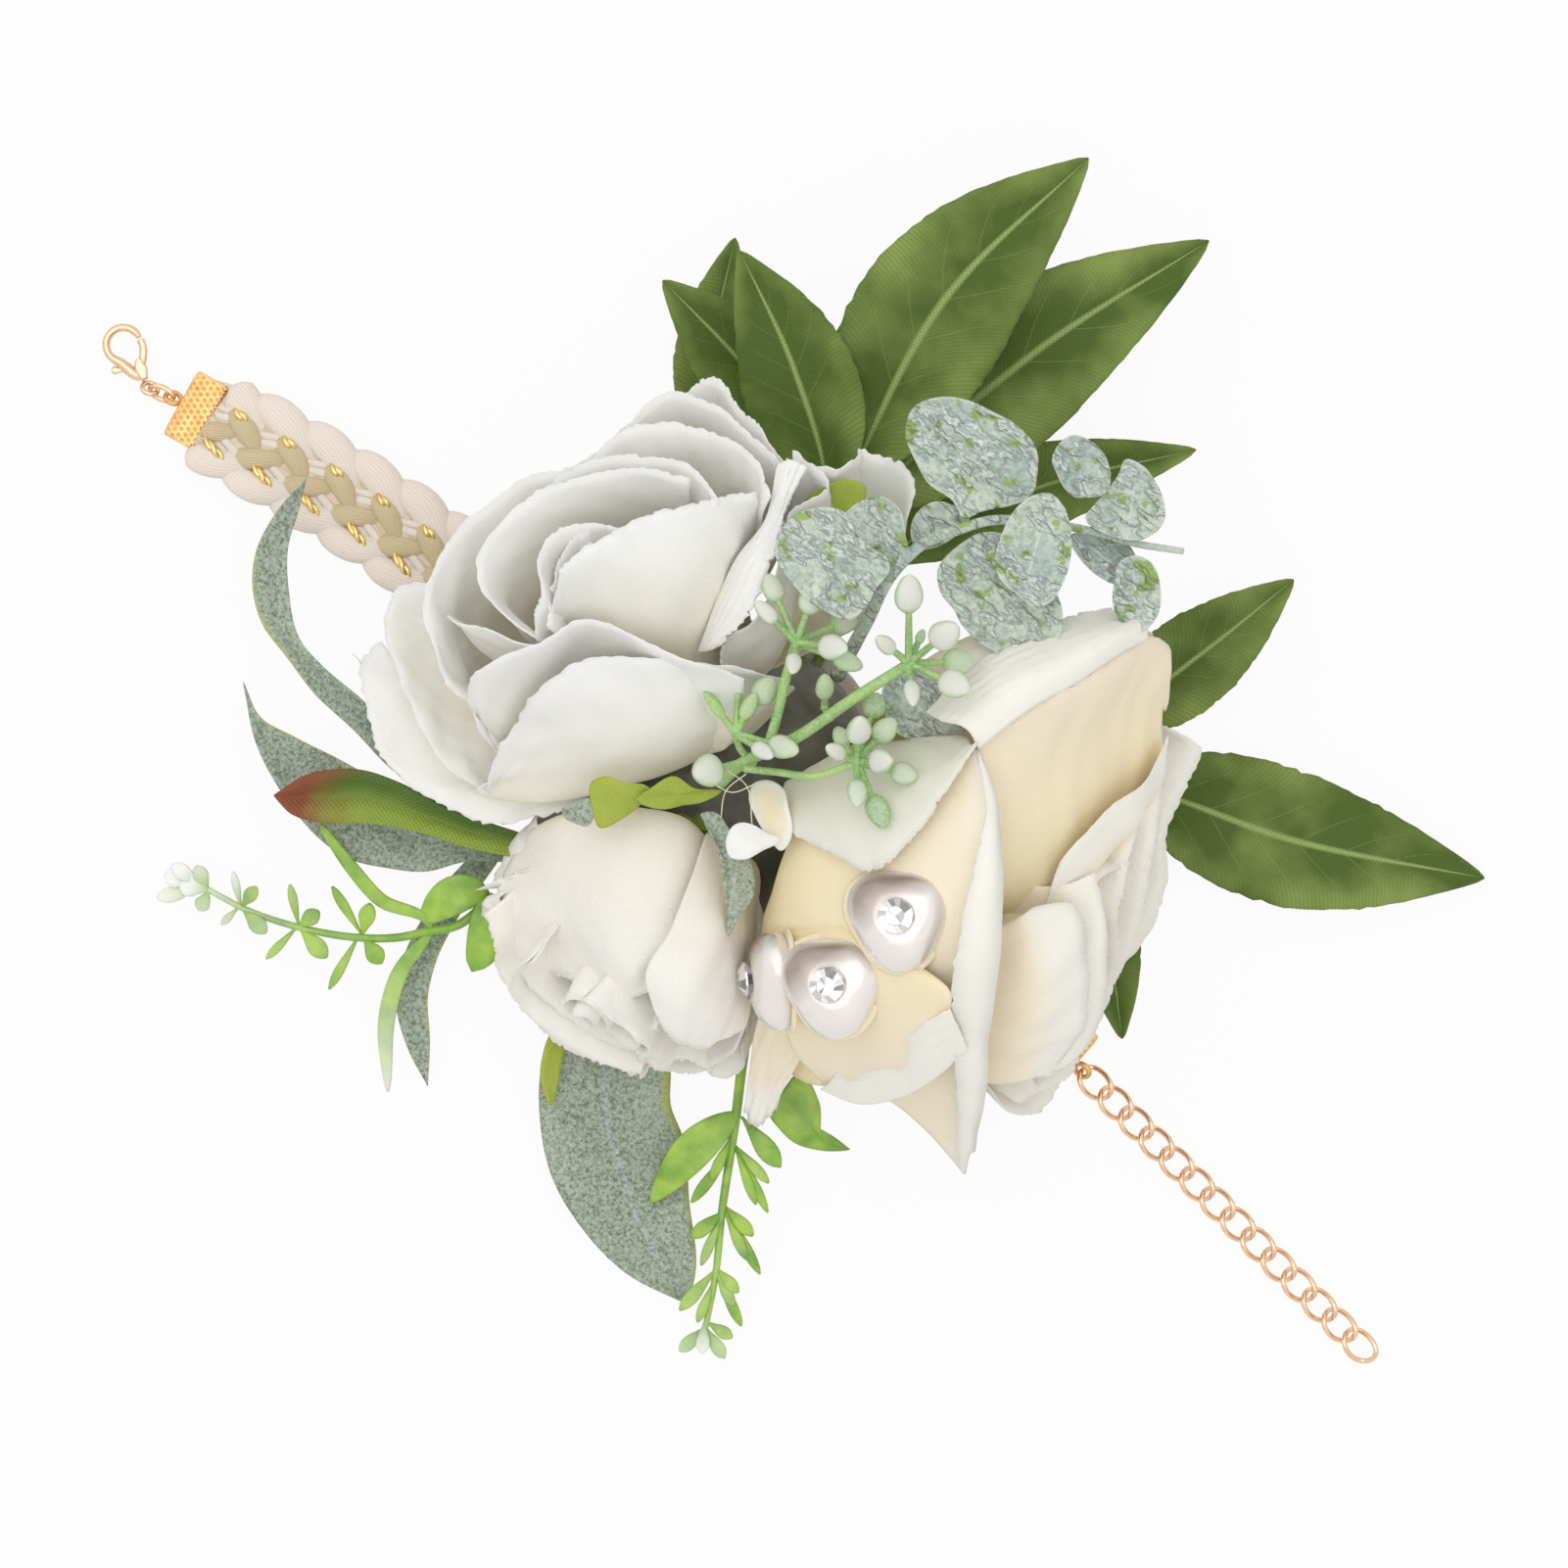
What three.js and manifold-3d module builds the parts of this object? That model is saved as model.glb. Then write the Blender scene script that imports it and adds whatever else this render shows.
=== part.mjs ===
import * as THREE from "three";
import { mergeVertices } from "three/addons/utils/BufferGeometryUtils.js";
import Module from "manifold-3d";

const wasm = await Module();
wasm.setup();

// Wrist corsage: three cloth roses, leaves, sprigs and pearls on a braided band.
// Millimetres. The origin is on the underside of the band, below the middle of the pad.
// +X runs along the band toward the chain, and +Z points away from the wrist.

// The gap that pieces keep where they touch.
const gap = 0.3;

// What hangs low is cut to this height above the table.
const tableClearance = 0.15;

const weldDistance = 0.0005;

// How many flat faces stand for the curves of each kind of piece.
const faceCounts = {
  disc: 16,
  calyx: 16,
  pad: 32,
  mound: 24,
  stone: 8,
  wire: 5,
  twig: 4,
  stemSteps: 12,
  berryStemSteps: 10,
  springSteps: 6,
  leafOutline: 40,
  roundLeaf: 10,
  pearl: 15,
  rimSearch: 180,
};

const band = {
  width: 13.7,
  thickness: 4.2,
  edgeRound: 1.1,
  scallopPitch: 7,
  scallopDepth: 0.7,
  centreHalf: 22,
  leftBend: -50,
  leftEnd: -78.9,
  rightEnd: 51.5,
  leftBow: 1.9,
  rightDrop: 2.9,
  tongueWidth: 8.2,
  tongueThickness: 1.2,
  stepsPerScallop: 3,
};

const crimp = {
  length: 4.5,
  width: 9.2,
  height: 2.8,
  sheet: 0.5,
  loopOffset: 1.15,
  middleHeight: 1.5,
  leftLoopY: -0.5,
  rightLoopY: -3.5,
  leftHeading: 186,
  rightHeading: -6,
};

// A wire loop closes round the wire that hangs in it.
const loop = { radius: 1, wireRadius: 0.34, tilt: 45, segmentCount: 12, sideCount: 6 };

const jumpRing = {
  halfLength: 1.6,
  halfWidth: 1.05,
  wireRadius: 0.34,
  heading: 193,
  segmentCount: 14,
  sideCount: 5,
};

const clasp = {
  hookDistance: 6.5,
  hookRadius: 2.65,
  hookBore: 1.75,
  thickness: 1.7,
  neckRadius: 0.6,
  neckDistance: 1.35,
  heading: 156.6,
  slotHeight: 1,
  slotStart: 1.7,
  slotEnd: 5,
  pivotDistance: 2.9,
  pivotSide: 0.3,
  pinRadius: 0.3,
  pinPlay: 0.15,
  leverThickness: 0.6,
  armWidth: 0.75,
  gateReach: 5.85,
  gateSide: 2.15,
  nubReach: 4.5,
  nubSide: 3,
  gateCut: 0.35,
  windowStart: 2.2,
  windowEnd: 3.9,
  windowSide: 1.5,
  springRadius: 0.13,
  springRunShare: 4,
};

const chain = {
  linkCount: 14,
  pitch: 3.65,
  halfLength: 2.325,
  halfWidth: 1.65,
  halfHeight: 0.825,
  wireRadius: 0.34,
  heading: -9.5,
  segmentCount: 16,
  sideCount: 5,
};

const pad = { radius: 21, thickness: 1.5 };

const mound = {
  radius: 19,
  height: 7.5,
  footHeight: 1.5,
  crown: 6,
  shoulderShare: 0.82,
  shoulderHeightShare: 0.6,
};

const whiteRose = {
  baseX: -11,
  baseY: 3,
  baseZ: 13,
  heading: 148.5,
  lean: 31,
  stemLength: 4,
  calyxRadius: 5,
  outerReach: 38,
  outerHeight: 37,
  outerFloor: 1.5,
  innerReach: 20,
  innerHeight: 36,
  innerFloor: 3.4,
  heartRadius: 5,
  heartHeight: 38.5,
  heartFloor: 5.3,
  wall: 1.4,
};

// The bud swells from its foot and closes at its top, with one spiral ridge.
const bud = {
  ringCount: 6,
  sideCount: 16,
  footShare: 0.12,
  topShare: 0.74,
  ridgeShare: 0.1,
  twistDegrees: 172,
};

const petals = { sectorCount: 28, ringCount: 5, sweepDegrees: 84, overrunShare: 1.05 };

const whiteOuterRimShares = [
  [-154, 0.46, 0.78],
  [-134, 0.56, 0.6],
  [-112, 0.62, 0.72],
  [-96, 0.88, 0.74],
  [-87, 0.98, 0.8],
  [-78, 0.74, 0.93],
  [-58, 0.67, 0.94],
  [-38, 0.69, 0.92],
  [-10, 0.54, 0.86],
  [20, 0.53, 0.84],
  [46, 0.7, 0.66],
  [62, 0.9, 0.42],
  [78, 0.92, 0.22],
  [91, 0.78, 0.12],
  [102, 0.62, 0.14],
  [113, 0.46, 0.54],
  [130, 0.39, 0.76],
  [160, 0.38, 0.82],
];
const whiteInnerRimShares = [
  [-167, 0.6, 0.88],
  [-125, 0.74, 0.9],
  [-95, 0.84, 0.96],
  [-55, 0.72, 1.04],
  [0, 0.74, 1],
  [40, 0.84, 0.92],
  [70, 0.92, 0.86],
  [97, 0.68, 0.93],
  [125, 0.54, 0.97],
  [160, 0.53, 0.97],
];

const creamRose = {
  baseX: 12,
  baseY: 2,
  baseZ: 15.5,
  heading: 10.4,
  lean: 76,
  stemLength: 3,
  calyxRadius: 5,
  outerReach: 40,
  outerHeight: 38,
  outerFloor: 1.5,
  innerReach: 19,
  innerHeight: 39,
  innerFloor: 3.4,
  heartRadius: 7,
  heartHeight: 37,
  heartFloor: 5.3,
  wall: 1.4,
};
const creamOuterRimShares = [
  [0, 0.42, 1],
  [25, 0.48, 1.02],
  [45, 0.6, 0.98],
  [70, 0.76, 0.98],
  [86, 0.84, 0.9],
  [96, 0.93, 0.86],
  [106, 0.96, 0.83],
  [117, 0.94, 0.79],
  [128, 0.91, 0.74],
  [140, 0.86, 0.66],
  [152, 0.78, 0.6],
  [162, 0.74, 0.7],
  [180, 0.64, 0.86],
  [-155, 0.62, 0.84],
  [-122, 0.72, 0.5],
  [-95, 0.84, 0.5],
  [-66, 0.9, 0.84],
  [-44, 0.58, 0.98],
];
// The large petal that leans in from the rim: rows from the rim to its inner edge.
const creamFoldShares = [
  [
    [152, 0.76, 0.58],
    [140, 0.84, 0.64],
    [128, 0.89, 0.72],
    [117, 0.92, 0.77],
    [106, 0.94, 0.81],
    [96, 0.91, 0.84],
    [86, 0.82, 0.88],
  ],
  [
    [152, 0.61, 0.59],
    [140, 0.62, 0.67],
    [128, 0.62, 0.75],
    [117, 0.65, 0.8],
    [106, 0.7, 0.82],
    [96, 0.71, 0.87],
    [86, 0.69, 0.89],
  ],
  [
    [152, 0.49, 0.57],
    [140, 0.49, 0.67],
    [128, 0.5, 0.74],
    [117, 0.52, 0.78],
    [106, 0.55, 0.81],
    [96, 0.57, 0.85],
    [86, 0.59, 0.9],
  ],
];
const creamInnerRimShares = [
  [0, 0.62, 1],
  [50, 0.9, 0.98],
  [95, 1, 0.9],
  [140, 0.86, 1],
  [180, 0.94, 0.9],
  [-130, 0.84, 1],
  [-85, 1, 0.9],
  [-45, 0.8, 1],
];

const ivoryRose = {
  baseX: 1,
  baseY: -7.5,
  baseZ: 14,
  heading: -86.8,
  lean: 74,
  stemLength: 3,
  calyxRadius: 4,
  outerReach: 21,
  outerHeight: 29,
  outerFloor: 1.2,
  heartRadius: 7,
  heartHeight: 26,
  heartFloor: 3.2,
  wall: 1.3,
};
const ivoryRimShares = [
  [-13, 0.58, 1],
  [35, 0.8, 0.93],
  [63, 0.98, 0.74],
  [98, 0.84, 0.5],
  [135, 0.84, 0.62],
  [165, 0.76, 0.72],
  [-160, 0.82, 0.6],
  [-110, 0.94, 0.56],
  [-80, 1, 0.66],
  [-55, 0.82, 0.86],
];

const pearl = {
  radius: 6.1,
  lobeDepth: 0.75,
  dome: 3.4,
  back: 1.5,
  backShare: 0.8,
  sweepDegrees: [0, 25, 50, 70],
  seatRadius: 2.6,
  seatDepth: 0.9,
};
const stone = { radius: 2.3, crown: 1, depth: 1.1, table: 1.2 };
// Turn round the cream rose, share of the way up its outer petals, and turn of the lobes.
const pearlPlaceShares = [
  { turn: -168, upShare: 0.76, twist: 20 },
  { turn: -140, upShare: 0.74, twist: 75 },
  { turn: -124, upShare: 0.58, twist: 140 },
];

// Leaves: reach and heading are measured in plan from the origin.
const leafShape = { stationCount: 15, swellPower: 0.8 };
const greenLeaf = { ribThickness: 1, edgeThickness: 0.5, petiole: 1.3, foldShare: 0.16 };
const greenLeaves = [
  { rootHeading: 98, rootHeight: 9.5, baseReach: 51, baseHeading: 101.5, baseHeight: 12.5,
    tipReach: 89.7, tipHeading: 95, tipHeight: 20, bend: 4, width: 17 },
  { rootHeading: 92, rootHeight: 9.5, baseReach: 49, baseHeading: 97.5, baseHeight: 10.2,
    tipReach: 91, tipHeading: 83.5, tipHeight: 14, bend: 2.7, width: 15.5 },
  { rootHeading: 107, rootHeight: 9.5, baseReach: 47, baseHeading: 106.5, baseHeight: 13.5,
    tipReach: 66, tipHeading: 123.5, tipHeight: 19.5, bend: -1.5, width: 12.5 },
  { rootHeading: 113, rootHeight: 8, baseReach: 42, baseHeading: 109.5, baseHeight: 7,
    tipReach: 63.5, tipHeading: 132.2, tipHeight: 12, bend: -1, width: 12 },
  { rootHeading: 131, rootHeight: 7.8, baseReach: 42, baseHeading: 128, baseHeight: 1.4,
    tipReach: 69.5, tipHeading: 124.2, tipHeight: 1.4, bend: 1.2, width: 9 },
  { rootHeading: 85, rootHeight: 7.8, baseReach: 42, baseHeading: 90, baseHeight: 2.4,
    tipReach: 73.5, tipHeading: 70.6, tipHeight: 2, bend: 2.3, width: 9.5 },
  { rootHeading: 46, rootHeight: 7.8, baseReach: 48, baseHeading: 44, baseHeight: 3.4,
    tipReach: 76.5, tipHeading: 55, tipHeight: 6, bend: -0.5, width: 11.5 },
  { rootHeading: 36, rootHeight: 7.8, baseReach: 50, baseHeading: 35.5, baseHeight: 1,
    tipReach: 97.5, tipHeading: 28.2, tipHeight: 1.6, bend: -1.5, width: 17 },
  { rootHeading: 26, rootHeight: 7.8, baseReach: 45, baseHeading: 24, baseHeight: 1.2,
    tipReach: 60.2, tipHeading: 2.6, tipHeight: 1, bend: 1.4, width: 8 },
];

const frostedLeaf = { ribThickness: 1, edgeThickness: 0.5, petiole: 1.3, foldShare: 0.22 };
const frostedSprayLeaves = [
  { rootHeading: 203, rootHeight: 8.6, baseReach: 38, baseHeading: 213, baseHeight: 7.5,
    tipReach: 64.6, tipHeading: 179.2, tipHeight: 13, bend: 10, width: 6 },
  { rootReach: 24, rootHeading: 209, rootHeight: 8.2, baseReach: 31, baseHeading: 231, baseHeight: 5.2,
    tipReach: 61.3, tipHeading: 203.5, tipHeight: 8, bend: 5.2, width: 9 },
  { rootReach: 27, rootHeading: 221.5, rootHeight: 6.8, baseReach: 37, baseHeading: 242, baseHeight: 2.4,
    tipReach: 54.2, tipHeading: 260.6, tipHeight: 0.8, bend: -1.5, width: 4.5 },
];
const frostedLowLeaf = {
  rootHeading: 268, rootHeight: 7.8, baseReach: 31, baseHeading: 270, baseHeight: 1.8,
  tipReach: 66, tipHeading: 301.1, tipHeight: 0.8, bend: -2, width: 16.5 };
const oliveLeaf = {
  rootHeading: 221, rootHeight: 10.6, baseReach: 27, baseHeading: 226, baseHeight: 10.2,
  tipReach: 56, tipHeading: 217.3, tipHeight: 15, bend: -2.4, width: 7.5 };

// Where the leaflets start along a stem, how far they run, and how much they shrink.
const leafletShares = { start: 0.42, span: 0.55, shrink: 0.35 };

// Sprig stems are given as shares of the sprig's reach and rise, on the line of its heading.
const leftSprig = {
  reach: 71,
  heading: 225.6,
  rise: 9,
  stemRadius: 0.65,
  pairCount: 8,
  leafletLength: 4,
  leafletWidth: 1.9,
  leafletThickness: 0.9,
};
const leftSprigStemShares = [
  [0.2, 0.1, 0.9],
  [0.38, 0.21, 0.75],
  [0.56, 0.17, 0.75],
  [0.7, 0.07, 0.7],
  [0.84, 0.03, 0.62],
  [1, 0, 0.5],
];
const bottomSprig = {
  reach: 71.5,
  heading: 302.6,
  rise: 8,
  stemRadius: 0.65,
  pairCount: 8,
  leafletLength: 4.2,
  leafletWidth: 2,
  leafletThickness: 0.9,
};
const bottomSprigStemShares = [
  [0.3, 0.03, 0.95],
  [0.44, 0.1, 0.8],
  [0.58, 0.07, 0.62],
  [0.72, 0.035, 0.45],
  [0.88, 0.015, 0.32],
  [1, 0, 0.24],
];

const eucalyptus = { reach: 62, heading: 63, rise: 46, stemRadius: 0.7, leafThickness: 1 };
const eucalyptusStemShares = [
  [0.06, 0.03, 0.36],
  [0.32, 0.22, 0.62],
  [0.52, 0.26, 0.78],
  [0.66, 0.22, 0.76],
  [0.86, 0.12, 0.7],
  [1, 0, 0.6],
];
// Leaf middle as shares of reach and rise, then the leaf's size in millimetres.
const eucalyptusLeaves = [
  { placeShares: [0.72, 0.33, 0.84], across: 16, along: 15 },
  { placeShares: [0.4, 0.29, 0.98], across: 15, along: 13 },
  { placeShares: [0.65, 0.04, 0.94], across: 15, along: 14 },
  { placeShares: [0.74, 0.11, 0.98], across: 11, along: 12 },
  { placeShares: [0.92, 0.22, 0.76], across: 8, along: 8 },
  { placeShares: [0.97, 0.12, 0.72], across: 8, along: 7.5 },
  { placeShares: [0.9, -0.06, 0.66], across: 8, along: 9 },
];

const berrySprig = {
  reach: 27,
  heading: 67,
  rise: 46,
  stemRadius: 0.9,
  twigRadius: 0.5,
  berryRadius: 1.5,
  berryLength: 2.3,
};
const berryStemShares = [
  [0.02, 0.04, 0.35],
  [0.16, 0.08, 0.6],
  [0.42, 0.06, 0.8],
  [0.7, 0.03, 0.92],
  [1, 0, 1],
];
// Berry middle as shares of reach and rise, and the share of the stem where its twig leaves.
const berryPlaceShares = [
  { place: [1.28, 0.18, 1.02], twig: 1 },
  { place: [1.2, -0.2, 1.06], twig: 1 },
  { place: [0.96, -0.3, 1.04], twig: 1 },
  { place: [1.08, 0.24, 1.08], twig: 1 },
  { place: [0.86, -0.14, 1.12], twig: 0.85 },
  { place: [0.86, 0.66, 0.9], twig: 0.6 },
  { place: [0.66, 0.6, 0.96], twig: 0.6 },
  { place: [0.6, 0.32, 1.02], twig: 0.6 },
  { place: [0.46, -0.42, 0.94], twig: 0.5 },
  { place: [0.36, -0.66, 0.98], twig: 0.5 },
  { place: [0.24, -0.46, 1], twig: 0.5 },
  { place: [0.1, 0.5, 0.88], twig: 0.3 },
  { place: [-0.1, 0.4, 0.9], twig: 0.3 },
  { place: [-0.26, 0.1, 0.84], twig: 0.3 },
];

const materials = {
  cotton: material(0xe5d6c8, 0.9, 0),
  felt: material(0xf0ece4, 0.95, 0),
  glue: material(0xe6e2d4, 0.35, 0),
  whiteCloth: material(0xefeee9, 0.8, 0),
  creamCloth: material(0xf3e6c8, 0.8, 0),
  ivoryCloth: material(0xf5eee4, 0.8, 0),
  greenLeaf: material(0x3f5c2a, 0.7, 0),
  frostedLeaf: material(0x8ba08c, 0.9, 0),
  oliveLeaf: material(0x7f8a3c, 0.7, 0),
  sprigPlastic: material(0x8bbf4a, 0.45, 0),
  eucalyptusFlock: material(0xa9c3bb, 0.95, 0),
  berry: material(0xdfe8d2, 0.5, 0),
  goldPlate: material(0xe9b955, 0.3, 1),
  roseGold: material(0xd9a878, 0.25, 1),
  pearl: material(0xf1e9e2, 0.25, 0),
  crystal: material(0xf4f6f8, 0.05, 0.1),
};

function material(color, roughness, metalness) {
  return new THREE.MeshStandardMaterial({ color, roughness, metalness });
}

const radians = THREE.MathUtils.degToRad;

const corsage = new THREE.Group();

function addNode(name, geometry, nodeMaterial, parent = corsage) {
  geometry.computeVertexNormals();
  const mesh = new THREE.Mesh(geometry, nodeMaterial);
  mesh.name = name;
  parent.add(mesh);
  return mesh;
}

// A closed mesh as a solid that can be joined and cut.
function solidOf(geometry) {
  const bare = geometry.clone();
  bare.deleteAttribute("normal");
  bare.deleteAttribute("uv");
  const merged = mergeVertices(bare, weldDistance);
  return new wasm.Manifold(
    new wasm.Mesh({
      numProp: 3,
      vertProperties: Float32Array.from(merged.attributes.position.array),
      triVerts: Uint32Array.from(merged.index.array),
    }),
  );
}
function geometryOf(solid) {
  const mesh = solid.getMesh();
  const geometry = new THREE.BufferGeometry();
  const corners = new Float32Array(mesh.triVerts.length * 3);
  mesh.triVerts.forEach((vertex, corner) => {
    for (let axis = 0; axis < 3; axis++) {
      corners[corner * 3 + axis] = mesh.vertProperties[vertex * mesh.numProp + axis];
    }
  });
  geometry.setAttribute("position", new THREE.BufferAttribute(corners, 3));
  return geometry;
}

// A cut can leave loose slivers, so the piece keeps its largest body.
function largestBody(solid) {
  return solid.decompose().reduce((a, b) => (b.volume() > a.volume() ? b : a));
}

function cutBy(geometry, tools) {
  const cut = tools.reduce((solid, tool) => solid.subtract(tool), solidOf(geometry));
  return geometryOf(largestBody(cut));
}

function joined(geometries) {
  const whole = geometries.map(solidOf).reduce((a, b) => a.add(b));
  return geometryOf(whole);
}

function placedSolid(geometry, group) {
  group.updateMatrixWorld(true);
  return solidOf(geometry.clone().applyMatrix4(group.matrixWorld));
}

// Joins loops of points, each with the same count, into one closed skin between two end points.
function loft(loops, startPoint, endPoint) {
  const count = loops[0].length;
  const positions = [startPoint, ...loops.flat(), endPoint].flatMap((p) => [p.x, p.y, p.z]);
  const last = loops.length * count + 1;
  const faces = [];
  for (let i = 0; i < count; i++) {
    const next = (i + 1) % count;
    faces.push(0, 1 + next, 1 + i);
    for (let ring = 0; ring < loops.length - 1; ring++) {
      const here = 1 + ring * count;
      const there = here + count;
      faces.push(here + i, here + next, there + next, here + i, there + next, there + i);
    }
    const end = 1 + (loops.length - 1) * count;
    faces.push(end + i, end + next, last);
  }
  return closedSkin(positions, faces);
}

// A skin of these faces, turned so that they all point outward.
function closedSkin(positions, faces) {
  const geometry = new THREE.BufferGeometry();
  geometry.setAttribute("position", new THREE.Float32BufferAttribute(positions, 3));
  geometry.setIndex(faces);
  if (signedVolume(geometry) < 0) {
    faces.reverse();
    geometry.setIndex(faces);
  }
  return geometry.toNonIndexed();
}

function signedVolume(geometry) {
  const [a, b, c] = [new THREE.Vector3(), new THREE.Vector3(), new THREE.Vector3()];
  const { position } = geometry.attributes;
  const index = geometry.index.array;
  let total = 0;
  for (let i = 0; i < index.length; i += 3) {
    a.fromBufferAttribute(position, index[i]);
    b.fromBufferAttribute(position, index[i + 1]);
    c.fromBufferAttribute(position, index[i + 2]);
    total += a.dot(b.cross(c));
  }
  return total;
}

function polar(reach, heading, height) {
  const angle = radians(heading);
  return new THREE.Vector3(reach * Math.cos(angle), reach * Math.sin(angle), height);
}

// The band's middle line is straight below the pad and bows a little toward each end.
function bandMiddle(x) {
  if (x < -band.centreHalf) {
    const share = (-band.centreHalf - x) / (-band.centreHalf - band.leftEnd);
    return band.leftBow * Math.sin(Math.PI * Math.min(share, 1));
  }
  if (x > band.centreHalf) {
    const share = (x - band.centreHalf) / (band.rightEnd - band.centreHalf);
    return -band.rightDrop * Math.pow(share, 1.5);
  }
  return 0;
}

function bandEdge(x, side) {
  const scallop = Math.abs(Math.sin((Math.PI * x) / band.scallopPitch));
  return bandMiddle(x) + side * (band.width / 2 - band.scallopDepth * (1 - scallop));
}

// A stretch of the braid: a strip with scalloped edges and rounded long corners.
function bandStretch(startX, endX) {
  const scallops = (endX - startX) / band.scallopPitch;
  const steps = Math.ceil(scallops * band.stepsPerScallop);
  const loops = [];
  for (let i = 0; i <= steps; i++) {
    const x = startX + ((endX - startX) * i) / steps;
    const [low, high] = [bandEdge(x, -1), bandEdge(x, 1)];
    loops.push([
      new THREE.Vector3(x, low + band.edgeRound, 0),
      new THREE.Vector3(x, high - band.edgeRound, 0),
      new THREE.Vector3(x, high, band.edgeRound),
      new THREE.Vector3(x, high, band.thickness - band.edgeRound),
      new THREE.Vector3(x, high - band.edgeRound, band.thickness),
      new THREE.Vector3(x, low + band.edgeRound, band.thickness),
      new THREE.Vector3(x, low, band.thickness - band.edgeRound),
      new THREE.Vector3(x, low, band.edgeRound),
    ]);
  }
  const middleHeight = band.thickness / 2;
  return loft(
    loops,
    new THREE.Vector3(startX, bandMiddle(startX), middleHeight),
    new THREE.Vector3(endX, bandMiddle(endX), middleHeight),
  );
}

// The flattened end of the braid that the crimp holds, in the crimp's own frame.
function bandTongue() {
  const length = crimp.length - crimp.sheet - gap;
  const geometry = new THREE.BoxGeometry(
    length + band.edgeRound,
    band.tongueWidth,
    band.tongueThickness,
  );
  const middle = crimp.loopOffset + crimp.sheet + gap + (length + band.edgeRound) / 2;
  geometry.translate(-middle, 0, 0);
  return geometry;
}

// A sheet folded over the braid's end, open toward the braid, with a wire loop outside.
function crimpBody() {
  const [half, inner] = [crimp.height / 2, crimp.height / 2 - crimp.sheet];
  const profile = new THREE.Shape();
  profile.moveTo(0, -half);
  profile.lineTo(crimp.length, -half);
  profile.lineTo(crimp.length, half);
  profile.lineTo(0, half);
  profile.lineTo(0, inner);
  profile.lineTo(crimp.length - crimp.sheet, inner);
  profile.lineTo(crimp.length - crimp.sheet, -inner);
  profile.lineTo(0, -inner);
  profile.closePath();
  const geometry = new THREE.ExtrudeGeometry(profile, { depth: crimp.width, bevelEnabled: false });
  geometry.translate(0, 0, -crimp.width / 2);
  geometry.rotateX(Math.PI / 2);
  geometry.translate(-crimp.loopOffset - crimp.length, 0, 0);
  return geometry;
}

// Its hole's axis lies across the wire direction, tipped from upright by the loop's tilt.
function wireLoop() {
  const torus = new THREE.TorusGeometry(loop.radius, loop.wireRadius, loop.sideCount, loop.segmentCount);
  return torus.rotateX(radians(loop.tilt));
}

function roundWire(curve, steps, radius, sides) {
  const section = new THREE.Shape();
  for (let i = 0; i < sides; i++) {
    const angle = (2 * Math.PI * i) / sides;
    const [x, y] = [radius * Math.cos(angle), radius * Math.sin(angle)];
    if (i === 0) section.moveTo(x, y);
    else section.lineTo(x, y);
  }
  section.closePath();
  return new THREE.ExtrudeGeometry(section, { steps, extrudePath: curve });
}

// Carries a round section along a closed curve, so that the wire has no ends.
function closedWire(pointAt, segments, radius, sides) {
  const rings = [];
  const step = (2 * Math.PI) / segments;
  for (let i = 0; i < segments; i++) {
    const middle = pointAt(i * step);
    const ahead = pointAt((i + 1) * step).sub(pointAt((i - 1) * step)).normalize();
    const outward = middle.clone().setZ(0);
    const across = new THREE.Vector3().crossVectors(ahead, outward).normalize();
    const away = new THREE.Vector3().crossVectors(across, ahead).normalize();
    const ring = [];
    for (let j = 0; j < sides; j++) {
      const angle = (2 * Math.PI * j) / sides;
      ring.push(
        middle
          .clone()
          .addScaledVector(away, radius * Math.cos(angle))
          .addScaledVector(across, radius * Math.sin(angle)),
      );
    }
    rings.push(ring);
  }
  const positions = rings.flat().flatMap((p) => [p.x, p.y, p.z]);
  const faces = [];
  for (let i = 0; i < segments; i++) {
    const [here, there] = [i * sides, ((i + 1) % segments) * sides];
    for (let j = 0; j < sides; j++) {
      const next = (j + 1) % sides;
      faces.push(here + j, there + j, there + next, here + j, there + next, here + next);
    }
  }
  const geometry = new THREE.BufferGeometry();
  geometry.setAttribute("position", new THREE.Float32BufferAttribute(positions, 3));
  geometry.setIndex(signedVolume(withIndex(geometry, faces)) < 0 ? faces.reverse() : faces);
  return geometry.toNonIndexed();
}

function withIndex(geometry, faces) {
  geometry.setIndex(faces);
  return geometry;
}

// A flat curb link: an oval that twists, so that neighbours cross at right angles.
function chainLink() {
  return closedWire(
    (t) =>
      new THREE.Vector3(
        chain.halfLength * Math.cos(t),
        chain.halfWidth * Math.sin(t),
        chain.halfHeight * Math.sin(2 * t),
      ),
    chain.segmentCount,
    chain.wireRadius,
    chain.sideCount,
  );
}

// The oval ring, one end of it at the origin, leaning as the loops do.
function jumpRingWire() {
  const geometry = closedWire(
    (t) => new THREE.Vector3(jumpRing.halfLength * Math.cos(t), jumpRing.halfWidth * Math.sin(t), 0),
    jumpRing.segmentCount,
    jumpRing.wireRadius,
    jumpRing.sideCount,
  );
  geometry.rotateX(Math.PI / 2 + radians(loop.tilt));
  geometry.translate(jumpRing.halfLength, 0, 0);
  return geometry;
}

function plate(outline, thickness) {
  const geometry = new THREE.ExtrudeGeometry(new THREE.Shape(outline), {
    depth: thickness,
    bevelEnabled: false,
  });
  geometry.translate(0, 0, -thickness / 2);
  return geometry;
}

function disc(radius, thickness, x, y) {
  const geometry = new THREE.CylinderGeometry(radius, radius, thickness, faceCounts.disc);
  geometry.rotateX(Math.PI / 2);
  geometry.translate(x, y, 0);
  return geometry;
}

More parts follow.
